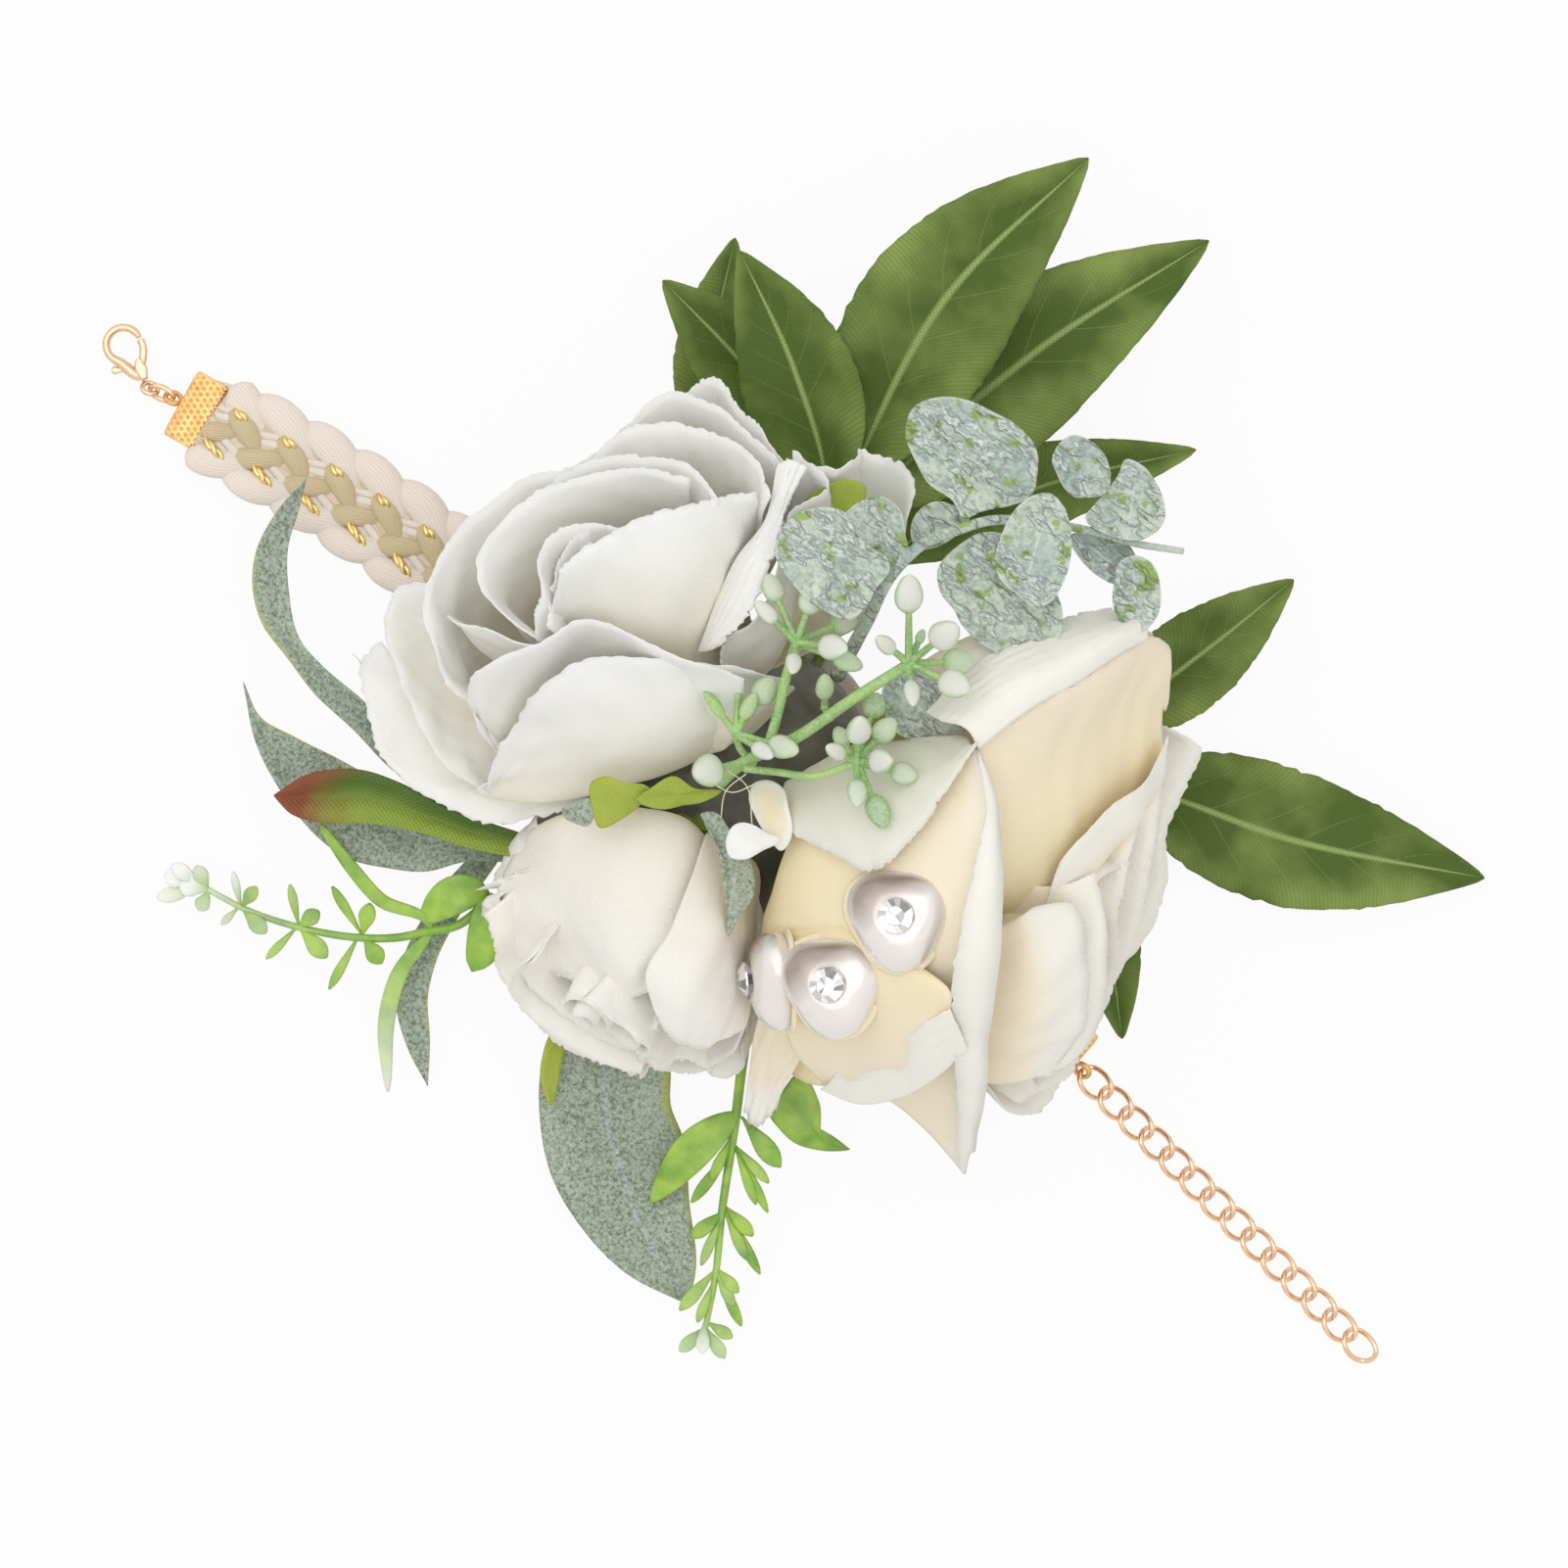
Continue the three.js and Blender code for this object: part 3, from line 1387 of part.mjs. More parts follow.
const white = addRose(
  "white_rose",
  whiteRose,
  { outer: whiteOuterRimShares, inner: whiteInnerRimShares },
  materials.whiteCloth,
  [tableSpace],
);
const ivory = addRose(
  "ivory_rose",
  ivoryRose,
  { outer: ivoryRimShares },
  materials.ivoryCloth,
  [tableSpace, ...white.spaces],
);
const cream = addRose(
  "cream_rose",
  creamRose,
  { outer: creamOuterRimShares, inner: creamInnerRimShares, fold: creamFoldShares },
  materials.creamCloth,
  [tableSpace, ...white.spaces, ...ivory.spaces],
);
const roseSpaces = [...white.spaces, ...ivory.spaces, ...cream.spaces];
addNode("glue_mound", cutBy(moundDome(0), roseSpaces), materials.glue);
const pearlSpaces = addPearls(cream, roseSpaces);

const padSpaces = [solidOf(moundDome(gap)), solidOf(padDisc(gap))];
const keptSpaces = [...roseSpaces, ...pearlSpaces, ...padSpaces, tableSpace];
addLeaves(keptSpaces);
addSprigs(keptSpaces);

export default corsage;
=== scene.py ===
import math

import bpy
import numpy as np
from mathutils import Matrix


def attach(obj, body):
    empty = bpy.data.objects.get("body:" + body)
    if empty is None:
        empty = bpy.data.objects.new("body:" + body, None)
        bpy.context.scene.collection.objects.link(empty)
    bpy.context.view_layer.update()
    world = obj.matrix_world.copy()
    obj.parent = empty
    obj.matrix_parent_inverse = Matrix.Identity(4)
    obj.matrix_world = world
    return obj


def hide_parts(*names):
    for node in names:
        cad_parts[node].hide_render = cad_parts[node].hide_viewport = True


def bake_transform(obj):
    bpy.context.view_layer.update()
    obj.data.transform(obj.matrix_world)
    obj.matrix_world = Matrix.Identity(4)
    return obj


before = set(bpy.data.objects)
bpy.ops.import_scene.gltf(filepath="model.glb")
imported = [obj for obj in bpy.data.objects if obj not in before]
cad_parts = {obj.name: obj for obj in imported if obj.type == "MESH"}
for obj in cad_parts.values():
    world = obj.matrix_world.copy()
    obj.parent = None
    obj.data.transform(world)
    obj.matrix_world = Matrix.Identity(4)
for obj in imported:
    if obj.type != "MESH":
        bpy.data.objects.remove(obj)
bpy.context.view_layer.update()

# Wrist corsage: three cloth roses, leaves, sprigs and pearls on a braided band.
# Shapes are worked out in millimetres and put into the meshes in metres.

metre = 0.001
full = 2 * math.pi

# The photograph's frame: its middle, where the part's origin lies, pixels per millimetre
# at the table, how far the part is turned in it, and the camera's height.
photo = {
    "middle": 800.5,
    "originX": 740.0,
    "originY": 800.0,
    "scale": 8.0,
    "turn": 35.3,
    "cameraHeight": 667.0,
    "cameraPlace": (6.21, 4.32),
}


# A photo pixel at a height above the table becomes a point of the part.
def fromPhoto(px, py, height):
    px, py, height = (np.asarray(value, float) for value in (px, py, height))
    share = 1 - height / photo["cameraHeight"]
    across = photo["middle"] + (px - photo["middle"]) * share - photo["originX"]
    down = photo["middle"] + (py - photo["middle"]) * share - photo["originY"]
    cosine, sine = math.cos(math.radians(photo["turn"])), math.sin(math.radians(photo["turn"]))
    x = (across * cosine + down * sine) / photo["scale"]
    y = (across * sine - down * cosine) / photo["scale"]
    return np.stack([x, y, height + 0 * x], axis=-1)


def photoRow(row):
    row = np.asarray(row, float)
    return fromPhoto(row[:, 0], row[:, 1], row[:, 2])


def polar(reach, heading, height):
    angle = math.radians(heading)
    return np.array([reach * math.cos(angle), reach * math.sin(angle), height])


def unit(vectors):
    return vectors / np.maximum(np.linalg.norm(vectors, axis=-1, keepdims=True), 1e-9)


# A smooth stack of rows through the given rows: between two rows a cubic runs, and its
# slope at each row is the mean of the slopes on both sides. Rows come evenly by length.
def smoothStack(stack, count, between=None):
    stack = np.asarray(stack, float)
    flat = stack.reshape(len(stack), -1)
    gaps = np.diff(stack.reshape(len(stack), -1, 3), axis=0)
    steps = np.maximum(np.linalg.norm(gaps, axis=-1).mean(axis=1), 1e-4)
    place = np.concatenate([[0], np.cumsum(steps)])
    slope = np.gradient(flat, place, axis=0) if len(flat) > 2 else np.repeat(np.diff(flat, axis=0), 2,
                                                                             axis=0) / steps[0]
    first, last = between or (0, len(place) - 1)
    want = np.linspace(place[first], place[last], count)
    low = np.clip(np.searchsorted(place, want, side="right") - 1, 0, len(place) - 2)
    span = (place[low + 1] - place[low])[:, None]
    t = (want - place[low])[:, None] / span
    value = (2 * t**3 - 3 * t**2 + 1) * flat[low] + (t**3 - 2 * t**2 + t) * span * slope[low]
    value += (3 * t**2 - 2 * t**3) * flat[low + 1] + (t**3 - t**2) * span * slope[low + 1]
    return value.reshape((count,) + stack.shape[1:])


def smoothRow(points, count):
    return smoothStack(np.asarray(points, float)[:, None, :], count)[:, 0]


def closedRow(points, count):
    points = np.asarray(points, float)
    wrapped = np.concatenate([points[-2:], points, points[:3]])
    return smoothStack(wrapped[:, None], count + 1, (2, len(points) + 2))[:-1, 0]


# A soft unevenness of two parameters: a sum of sine waves of drawn directions.
def ripple(u, v, seed, waves=7, finest=3.0):
    draw = np.random.default_rng(seed)
    total = np.zeros(np.broadcast(u, v).shape)
    for _ in range(waves):
        fu, fv = draw.normal(0, finest, 2)
        total += np.sin(full * (fu * u + fv * v) + draw.uniform(0, full)) / waves**0.5
    return total


# A part of a piece: points, four-sided and three-sided faces, a flat map in millimetres,
# and three values for the materials.
def makePart(points, quads, tris=(), flat=None, rise=0.0, cross=0.0, tint=0.0):
    count = len(points)
    spread = lambda value: np.broadcast_to(np.asarray(value, float), (count,)).copy()
    return {
        "points": points,
        "quads": np.asarray(quads, int).reshape(-1, 4),
        "tris": np.asarray(tris, int).reshape(-1, 3),
        "flat": np.zeros((count, 2)) if flat is None else flat,
        "rise": spread(rise),
        "cross": spread(cross),
        "tint": spread(tint),
    }


# Faces of a stack of rings of points: four-sided faces between the rings, and a fan at each
# end to the two points that come after them. A closed stack has no ends.
def ringFaces(rings, turns, closed=False, inward=False):
    i, j = np.arange(rings if closed else rings - 1)[:, None], np.arange(turns)[None, :]
    nextI, nextJ = (i + 1) % rings, (j + 1) % turns
    quads = np.stack([i * turns + j, nextI * turns + j, nextI * turns + nextJ, i * turns + nextJ], axis=-1)
    quads = quads.reshape(-1, 4)
    if closed:
        return quads, ()
    j, ends, last = np.arange(turns), rings * turns, (rings - 1) * turns
    fans = [np.stack([j * 0 + ends, j, (j + 1) % turns], axis=-1),
            np.stack([j * 0 + ends + 1, last + (j + 1) % turns, last + j], axis=-1)]
    fans = np.concatenate(fans)
    return (quads[:, [0, 3, 2, 1]], fans[:, [0, 2, 1]]) if inward else (quads, fans)


# A stack of rings as one list, with the middle of its first and of its last ring after it.
def withEnds(rings):
    return np.concatenate([rings.reshape(-1, 3), [rings[0].mean(axis=0)], [rings[-1].mean(axis=0)]])


# Turns x and y by an angle in degrees.
def turnedBy(x, y, degrees):
    cosine, sine = math.cos(math.radians(degrees)), math.sin(math.radians(degrees))
    return x * cosine - y * sine, x * sine + y * cosine


# A sheet with a wall: the grid moved half the wall along its normal to both sides, thinner
# at its border, and closed all round. Its flat map is the length along rows and columns.
def sheetPart(grid, wall, tint=0.0, borderShare=0.45):
    rows, cols = grid.shape[:2]
    along, over = np.gradient(grid, axis=0), np.gradient(grid, axis=1)
    normal = unit(np.cross(along, over))
    r, c = np.arange(rows)[:, None], np.arange(cols)[None, :]
    inward = np.minimum(np.minimum(r, rows - 1 - r), np.minimum(c, cols - 1 - c))
    half = wall / 2 * np.minimum(1, borderShare + inward * (1 - borderShare) / 2)
    shift = normal * half[..., None]
    points = np.concatenate([(grid + shift).reshape(-1, 3), (grid - shift).reshape(-1, 3)])
    index = (r * cols + c).astype(int)
    a, b, d, e = index[:-1, :-1], index[1:, :-1], index[1:, 1:], index[:-1, 1:]
    front = np.stack([a, b, d, e], axis=-1).reshape(-1, 4)
    back = front[:, ::-1] + rows * cols
    loop = np.concatenate([index[0, :-1], index[:-1, -1], index[-1, :0:-1], index[:0:-1, 0]])
    ahead = np.roll(loop, -1)
    border = np.stack([loop, ahead, ahead + rows * cols, loop + rows * cols], axis=-1)
    lengths = np.cumsum(np.linalg.norm(along, axis=-1), axis=0)
    widths = np.cumsum(np.linalg.norm(over, axis=-1), axis=1)
    widths = widths - widths[:, cols // 2][:, None]
    flat = np.stack([widths, lengths], axis=-1).reshape(-1, 2)
    rise = np.broadcast_to(r / (rows - 1), (rows, cols)).ravel()
    cross = np.broadcast_to(2 * c / (cols - 1) - 1, (rows, cols)).ravel()
    tint = np.broadcast_to(tint, (rows, cols)).ravel()
    twice = lambda values: np.concatenate([values, values])
    quads = np.concatenate([front, back, border])
    return makePart(points, quads, (), twice(flat), twice(rise), twice(cross), twice(tint))


# A sheet inside a closed rim: rings from the middle out to the rim, with a relief along its
# normal and a wall that thins at the rim. cross holds the distance from its midrib, and rise
# starts at low in the middle.
def discPart(rim, wall, rings, relief, rib=None, low=0.0):
    count = len(rim)
    middle = rim.mean(axis=0)
    axes = np.linalg.svd(rim - middle, full_matrices=False)[2]
    normal = axes[2] * (1 if axes[2][2] >= 0 else -1)
    first, second = axes[0], np.cross(normal, axes[0])
    x, y = (rim - middle) @ first, (rim - middle) @ second
    if (x * np.roll(y, -1) - np.roll(x, -1) * y).sum() < 0:
        rim = rim[::-1]
    share = np.linspace(0, 1, rings + 1)[1:, None, None]
    grid = middle + (rim - middle)[None] * share
    u, v = (grid - middle) @ first, (grid - middle) @ second
    lift = relief(u, v, share[..., 0])
    half = wall / 2 * np.minimum(1, 0.35 + 2.5 * (1 - share[..., 0]))
    lift = lift[..., None] * normal
    half = (half + 0 * u)[..., None] * normal
    top, bottom = grid + lift + half, grid + lift - half
    centre = middle + lift[0].mean(axis=0)
    centres = [centre + normal * wall / 2, centre - normal * wall / 2]
    points = np.concatenate([top.reshape(-1, 3), bottom.reshape(-1, 3), centres])
    upper = ringFaces(rings, count)[0]
    outer = (rings - 1) * count
    j = np.arange(count)
    nextJ = (j + 1) % count
    under = rings * count
    border = np.stack([outer + j, under + outer + j, under + outer + nextJ, outer + nextJ], axis=-1)
    quads = np.concatenate([upper, upper[:, ::-1] + under, border])
    fans = [np.stack([j * 0 + 2 * under, j, nextJ], axis=-1),
            np.stack([j * 0 + 2 * under + 1, under + nextJ, under + j], axis=-1)]
    flat = np.stack([u, v], axis=-1).reshape(-1, 2)
    flat = np.concatenate([flat, flat, [[0, 0], [0, 0]]])
    aside = np.full(u.size, 0.8)
    if rib is not None:
        rib = np.asarray(rib, float)
        way = unit(rib[1] - rib[0])
        off = grid.reshape(-1, 3) - rib[0]
        aside = np.linalg.norm(off - (off @ way)[:, None] * way, axis=-1)
    rise = (low + (1 - low) * share[..., 0] + 0 * u).ravel()
    ends = lambda values: np.concatenate([values, values, values[:2]])
    return makePart(points, quads, np.concatenate(fans), flat, ends(rise), ends(aside))


# A leaf between its two edges, both given from tip to base, folded up from its midrib.
def edgeLeaf(left, right, fold=0.6, wall=0.4, stations=60, cols=16, wave=0.25, seed=0):
    left, right = smoothRow(left[::-1], stations), smoothRow(right[::-1], stations)
    c = np.linspace(-1, 1, cols + 1)
    grid = left[:, None] * (1 - c[None, :, None]) / 2 + right[:, None] * (1 + c[None, :, None]) / 2
    wideEnough = np.minimum(1, np.linalg.norm(left - right, axis=1) / 6)[:, None]
    s = np.linspace(0, 1, stations)
    grid[..., 2] += fold * (np.abs(c)[None, :] ** 1.3 - 0.5) * wideEnough
    grid[..., 2] += wave * ripple(s[:, None], 0.3 * c[None, :], seed, 5, 2.5) * wideEnough
    return sheetPart(grid, wall)


# A round or flattened section carried along a path. wide and thick are its half sizes
# across and upright, one for each step or one for all.
def tubePart(path, wide, thick=None, sides=10, up=(0, 0, 1), closed=False, tint=0.0):
    path = np.asarray(path, float)
    steps = len(path)
    wide = np.broadcast_to(np.asarray(wide, float), (steps,))
    thick = wide if thick is None else np.broadcast_to(np.asarray(thick, float), (steps,))
    ahead = (np.roll(path, -1, axis=0) - np.roll(path, 1, axis=0)) if closed else np.gradient(path, axis=0)
    ahead = unit(ahead)
    side = unit(np.cross(ahead, np.broadcast_to(np.asarray(up, float), path.shape)))
    lift = np.cross(side, ahead)
    angle = np.arange(sides) * full / sides
    share = np.linspace(0, 1, steps)
    ring = side[:, None] * (np.cos(angle)[None, :] * wide[:, None])[..., None]
    ring = ring + lift[:, None] * (np.sin(angle)[None, :] * thick[:, None])[..., None]
    points = (path[:, None] + ring).reshape(-1, 3)
    quads, fans = ringFaces(steps, sides, closed)
    length = np.concatenate([[0], np.cumsum(np.linalg.norm(np.diff(path, axis=0), axis=1))])
    flat = np.stack(np.broadcast_arrays(angle[None, :] * wide.mean(), length[:, None]),
                    axis=-1).reshape(-1, 2)
    rise = np.broadcast_to(share[:, None], (steps, sides)).ravel()
    cross = np.broadcast_to(angle[None, :] / full, (steps, sides)).ravel()
    if closed:
        return makePart(points, quads, fans, flat, rise, cross, tint)
    points = np.concatenate([points, path[:1], path[-1:]])
    flat = np.concatenate([flat, [[0, 0], [0, length[-1]]]])
    return makePart(points, quads, fans, flat, np.append(rise, [0, 1]), np.append(cross, [0, 0]), tint)


# Puts parts together as one object, in metres, and lets it ride on its body.
def putPiece(name, parts, look, body="root", stands=(), flatShade=False):
    starts = np.cumsum([0] + [len(part["points"]) for part in parts])
    gather = lambda key: np.concatenate([part[key] for part in parts])
    quads = np.concatenate([part["quads"] + start for part, start in zip(parts, starts)])
    tris = np.concatenate([part["tris"] + start for part, start in zip(parts, starts)])
    corners = np.concatenate([quads.ravel(), tris.ravel()]).astype(np.int32)
    points = gather("points") * metre
    mesh = bpy.data.meshes.new(name)
    mesh.vertices.add(len(points))
    mesh.vertices.foreach_set("co", points.ravel())
    mesh.loops.add(len(corners))
    mesh.loops.foreach_set("vertex_index", corners)
    faceCount = len(quads) + len(tris)
    mesh.polygons.add(faceCount)
    starts = np.concatenate([np.arange(len(quads)) * 4, len(quads) * 4 + np.arange(len(tris)) * 3])
    mesh.polygons.foreach_set("loop_start", starts.astype(np.int32))
    mesh.polygons.foreach_set("use_smooth", np.full(faceCount, not flatShade))
    mesh.uv_layers.new(name="flat").data.foreach_set("uv", gather("flat")[corners].ravel())
    for key in ("rise", "cross", "tint"):
        mesh.attributes.new(key, "FLOAT", "POINT").data.foreach_set("value", gather(key))
    mesh.update(calc_edges=True)
    piece = bpy.data.objects.new(name, mesh)
    bpy.context.scene.collection.objects.link(piece)
    mesh.materials.append(look)
    if body:
        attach(piece, body)
    if stands:
        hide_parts(*stands)
    return piece


# Materials

def colour(code):
    values = [int(code[i:i + 2], 16) / 255 for i in (1, 3, 5)]
    return tuple(v / 12.92 if v < 0.04045 else ((v + 0.055) / 1.055) ** 2.4 for v in values) + (1.0,)


def put(tree, kind, inputs=None, **settings):
    node = tree.nodes.new(kind)
    for key, value in settings.items():
        setattr(node, key, value)
    for key, value in (inputs or {}).items():
        if isinstance(value, bpy.types.NodeSocket):
            tree.links.new(value, node.inputs[key])
        else:
            node.inputs[key].default_value = value
    return node.outputs[0]


def attribute(tree, key):
    node = tree.nodes.new("ShaderNodeAttribute")
    node.attribute_name = key
    return node.outputs["Fac"]


def flatMap(tree):
    node = tree.nodes.new("ShaderNodeUVMap")
    node.uv_map = "flat"
    return node.outputs["UV"]


def objectPlace(tree):
    return tree.nodes.new("ShaderNodeTexCoord").outputs["Object"]


def sums(tree, operation, a, b=None):
    values = {0: a} if b is None else {0: a, 1: b}
    return put(tree, "ShaderNodeMath", values, operation=operation)


def ranged(tree, value, low, high, to=(0.0, 1.0)):
    return put(tree, "ShaderNodeMapRange", {0: value, 1: low, 2: high, 3: to[0], 4: to[1]})


def mixed(tree, share, a, b):
    node = tree.nodes.new("ShaderNodeMix")
    node.data_type = "RGBA"
    sockets = [s for s in node.inputs if s.type == "RGBA"]
    for socket, value in ((node.inputs[0], share), (sockets[0], a), (sockets[1], b)):
        if isinstance(value, bpy.types.NodeSocket):
            tree.links.new(value, socket)
        else:
            socket.default_value = value
    return [s for s in node.outputs if s.type == "RGBA"][0]


def noise(tree, place, scale, detail=3.0, rough=0.55):
    return put(tree, "ShaderNodeTexNoise",
               {"Vector": place, "Scale": scale, "Detail": detail, "Roughness": rough})


def bumped(tree, height, strength, distance):
    return put(tree, "ShaderNodeBump", {"Height": height, "Strength": strength, "Distance": distance})


def startLook(name, **sockets):
    look = bpy.data.materials.new(name)
    look.use_nodes = True
    tree = look.node_tree
    shader = tree.nodes["Principled BSDF"]
    for key, value in sockets.items():
        shader.inputs[key.replace("_", " ")].default_value = value
    return look, tree, shader


def wire(tree, shader, key, socket):
    tree.links.new(socket, shader.inputs[key])


# The height of a plain weave: threads along both ways of the flat map.
def weave(tree, threadsPerMillimetre):
    place = put(tree, "ShaderNodeMapping", {"Vector": flatMap(tree), "Scale": (threadsPerMillimetre,) * 3})
    split = tree.nodes.new("ShaderNodeSeparateXYZ")
    tree.links.new(place, split.inputs[0])
    u = sums(tree, "SINE", sums(tree, "MULTIPLY", split.outputs[0], full))
    v = sums(tree, "SINE", sums(tree, "MULTIPLY", split.outputs[1], full))
    return sums(tree, "MULTIPLY", u, v)


petalCloth = {
    "threads": 2.6,
    "weaveDepth": 0.04,
    "creaseDepth": 0.35,
}


# Petal cloth: a warm painted shade at the foot, for the shade inside the rose, then a middle tone, and its own tone
# at the rim. bands says where the tones change, and tint asks for green.
def clothLook(name, rim, middle, footShade, green, bands, seedShift):
    look, tree, shader = startLook(name, Roughness=0.8, Subsurface_Weight=0.1, Subsurface_Scale=0.001,
                                   Sheen_Weight=0.1, Sheen_Roughness=0.5, Specular_IOR_Level=0.2)
    shader.inputs["Subsurface Radius"].default_value = (1.0, 0.85, 0.6)
    place = put(tree, "ShaderNodeMapping", {"Vector": objectPlace(tree), "Location": (seedShift, 0, 0)})
    blotch = sums(tree, "MULTIPLY", noise(tree, place, 60.0, 2.0), 0.06)
    rise = sums(tree, "ADD", attribute(tree, "rise"), blotch)
    toned = mixed(tree, ranged(tree, rise, bands[0], bands[1]), colour(footShade), colour(middle))
    toned = mixed(tree, ranged(tree, rise, bands[2], bands[3]), toned, colour(rim))
    toned = mixed(tree, attribute(tree, "tint"), toned, colour(green))
    crossing = weave(tree, petalCloth["threads"])
    toned = mixed(tree, ranged(tree, crossing, -1.0, 1.0, (0.0, 0.05)), toned, colour(footShade))
    wire(tree, shader, "Base Color", toned)
    creases = put(tree, "ShaderNodeMapping", {"Vector": flatMap(tree), "Scale": (0.5, 0.06, 1.0)})
    height = sums(tree, "ADD", sums(tree, "MULTIPLY", crossing, petalCloth["weaveDepth"]),
                  sums(tree, "MULTIPLY", noise(tree, creases, 1.0, 4.0), petalCloth["creaseDepth"]))
    wire(tree, shader, "Normal", bumped(tree, height, 0.55, 0.0007))
    return look


whiteCloth = clothLook("white cloth", "#f8f7f4", "#f8f6f0", "#faf4dc", "#dce4bc", (0.4, 0.85, 0.85, 1.0), 0.0)
creamCloth = clothLook("cream cloth", "#fcf9f0", "#fdf1d9", "#feeabb", "#e6e6d6", (0.3, 0.8, 0.86, 0.95), 3.0)
ivoryCloth = clothLook("ivory cloth", "#fbf8f1", "#f7f3eb", "#f7efde", "#dfe2c6", (0.3, 0.8, 0.85, 0.97), 7.0)


# Leaf cloth: mottled, darker by its midrib, with slanted side veins, a weave, and where
# asked a frost of specks and a coloured edge.
def leafLook(name, bright, dark, vein, veins, threads, mottle, weaveShare=0.35, sheen=0.0, fuzz=0.0,
             edge=None):
    look, tree, shader = startLook(name, Roughness=0.62, Sheen_Weight=sheen, Specular_IOR_Level=0.15)
    cross, rise = attribute(tree, "cross"), attribute(tree, "rise")
    aside = sums(tree, "ABSOLUTE", cross)
    middle = ranged(tree, aside, 0.02, 0.07, (1.0, 0.0))
    slanted = sums(tree, "SUBTRACT", sums(tree, "MULTIPLY", rise, float(veins)),
                   sums(tree, "MULTIPLY", aside, 1.7))
    saw = sums(tree, "ABSOLUTE", sums(tree, "SUBTRACT", sums(tree, "FRACT", slanted), 0.5))
    side = sums(tree, "MULTIPLY", ranged(tree, saw, 0.47, 0.495), ranged(tree, aside, 0.95, 0.4))
    lines = sums(tree, "MAXIMUM", middle, sums(tree, "MULTIPLY", side, 0.3))
    blotch = ranged(tree, noise(tree, objectPlace(tree), mottle, 3.0), 0.3, 0.7)
    nearRib = ranged(tree, aside, 0.1, 0.8, (0.45, 0.0))
    shade = sums(tree, "SUBTRACT", blotch, nearRib)
    toned = mixed(tree, ranged(tree, shade, 0.0, 1.0), colour(dark), colour(bright))
    toned = mixed(tree, lines, toned, colour(vein))
    crossing = weave(tree, threads)
    toned = mixed(tree, ranged(tree, crossing, 0.2, 1.0, (0.0, weaveShare)), toned, colour(dark))
    if fuzz:
        specks = noise(tree, objectPlace(tree), 2000.0, 3.0, 0.8)
        toned = mixed(tree, ranged(tree, specks, 0.42, 0.6, (0.0, fuzz)), toned, colour("#d3dcd2"))
        toned = mixed(tree, ranged(tree, specks, 0.44, 0.34, (0.0, fuzz)), toned, colour("#4d6455"))
    if edge:
        uneven = sums(tree, "ADD", cross, ranged(tree, blotch, 0.0, 1.0, (-0.06, 0.06)))
        toned = mixed(tree, ranged(tree, uneven, 0.88, 1.0, (0.0, 0.8)), toned, colour(edge))
    wire(tree, shader, "Base Color", toned)
    height = sums(tree, "ADD", sums(tree, "MULTIPLY", crossing, 0.12), sums(tree, "MULTIPLY", lines, -0.5))
    wire(tree, shader, "Normal", bumped(tree, height, 0.6, 0.0004))
    return look


greenCloth = leafLook("green cloth", "#97a95c", "#54682c", "#9eb06c", 8, 1.7, 80.0, 0.7)
frostedCloth = leafLook("frosted leaf", "#9fa88f", "#828f78", "#98a5a2", 5, 2.4, 70.0, 0.1, 0.2, 0.6, "#b9c15e")
paleCloth = leafLook("pale leaf", "#b4bf55", "#93a845", "#c3cf70", 4, 1.6, 80.0, 0.15)


# Olive leaf: one side darker, and red-brown toward its tip.
def oliveLook():
    look, tree, shader = startLook("olive leaf", Roughness=0.6)
    rise = attribute(tree, "rise")
    crossing = weave(tree, 1.6)
    green = mixed(tree, ranged(tree, attribute(tree, "cross"), -0.6, 0.6), colour("#4e6b1f"),
                  colour("#93a53c"))
    patch = sums(tree, "ADD", rise, ranged(tree, noise(tree, objectPlace(tree), 160.0), 0.3, 0.7,
                                           (-0.08, 0.08)))
    toned = mixed(tree, ranged(tree, patch, 0.66, 0.86), green, colour("#8c4a2c"))
    toned = mixed(tree, ranged(tree, crossing, 0.0, 1.0, (0.0, 0.3)), toned, colour("#3c4c1a"))
    wire(tree, shader, "Base Color", toned)
    wire(tree, shader, "Normal", bumped(tree, crossing, 0.4, 0.0002))
    return look


oliveCloth = oliveLook()


def plasticLook(name, bright, dark, tip):
    look, tree, shader = startLook(name, Roughness=0.42, Subsurface_Weight=0.1, Subsurface_Scale=0.001)
    blotch = ranged(tree, noise(tree, objectPlace(tree), 220.0, 3.0), 0.35, 0.65)
    toned = mixed(tree, blotch, colour(dark), colour(bright))
    toned = mixed(tree, attribute(tree, "tint"), toned, colour(tip))
    wire(tree, shader, "Base Color", toned)
    wire(tree, shader, "Normal", bumped(tree, noise(tree, objectPlace(tree), 900.0, 3.0), 0.25, 0.0003))
    return look


sprigPlastic = plasticLook("sprig plastic", "#a9cb52", "#74a33c", "#f4f6f0")


# Frosted green stems with white berries: tint 1 is the white of a berry's tip.
def berryLook():
    look, tree, shader = startLook("berry plastic", Roughness=0.5, Subsurface_Weight=0.15,
                                   Subsurface_Scale=0.001)
    frost = ranged(tree, noise(tree, objectPlace(tree), 2600.0, 3.0, 0.7), 0.42, 0.66)
    patch = ranged(tree, noise(tree, objectPlace(tree), 160.0, 2.0), 0.4, 0.65)
    green = mixed(tree, patch, colour("#86b35c"), colour("#abcf72"))
    green = mixed(tree, sums(tree, "MULTIPLY", frost, 0.6), green, colour("#cbdcc4"))
    toned = mixed(tree, attribute(tree, "tint"), green, colour("#dfe1d6"))
    wire(tree, shader, "Base Color", toned)
    wire(tree, shader, "Normal", bumped(tree, noise(tree, objectPlace(tree), 1500.0, 3.0), 0.2, 0.0002))
    return look


berryPlastic = berryLook()
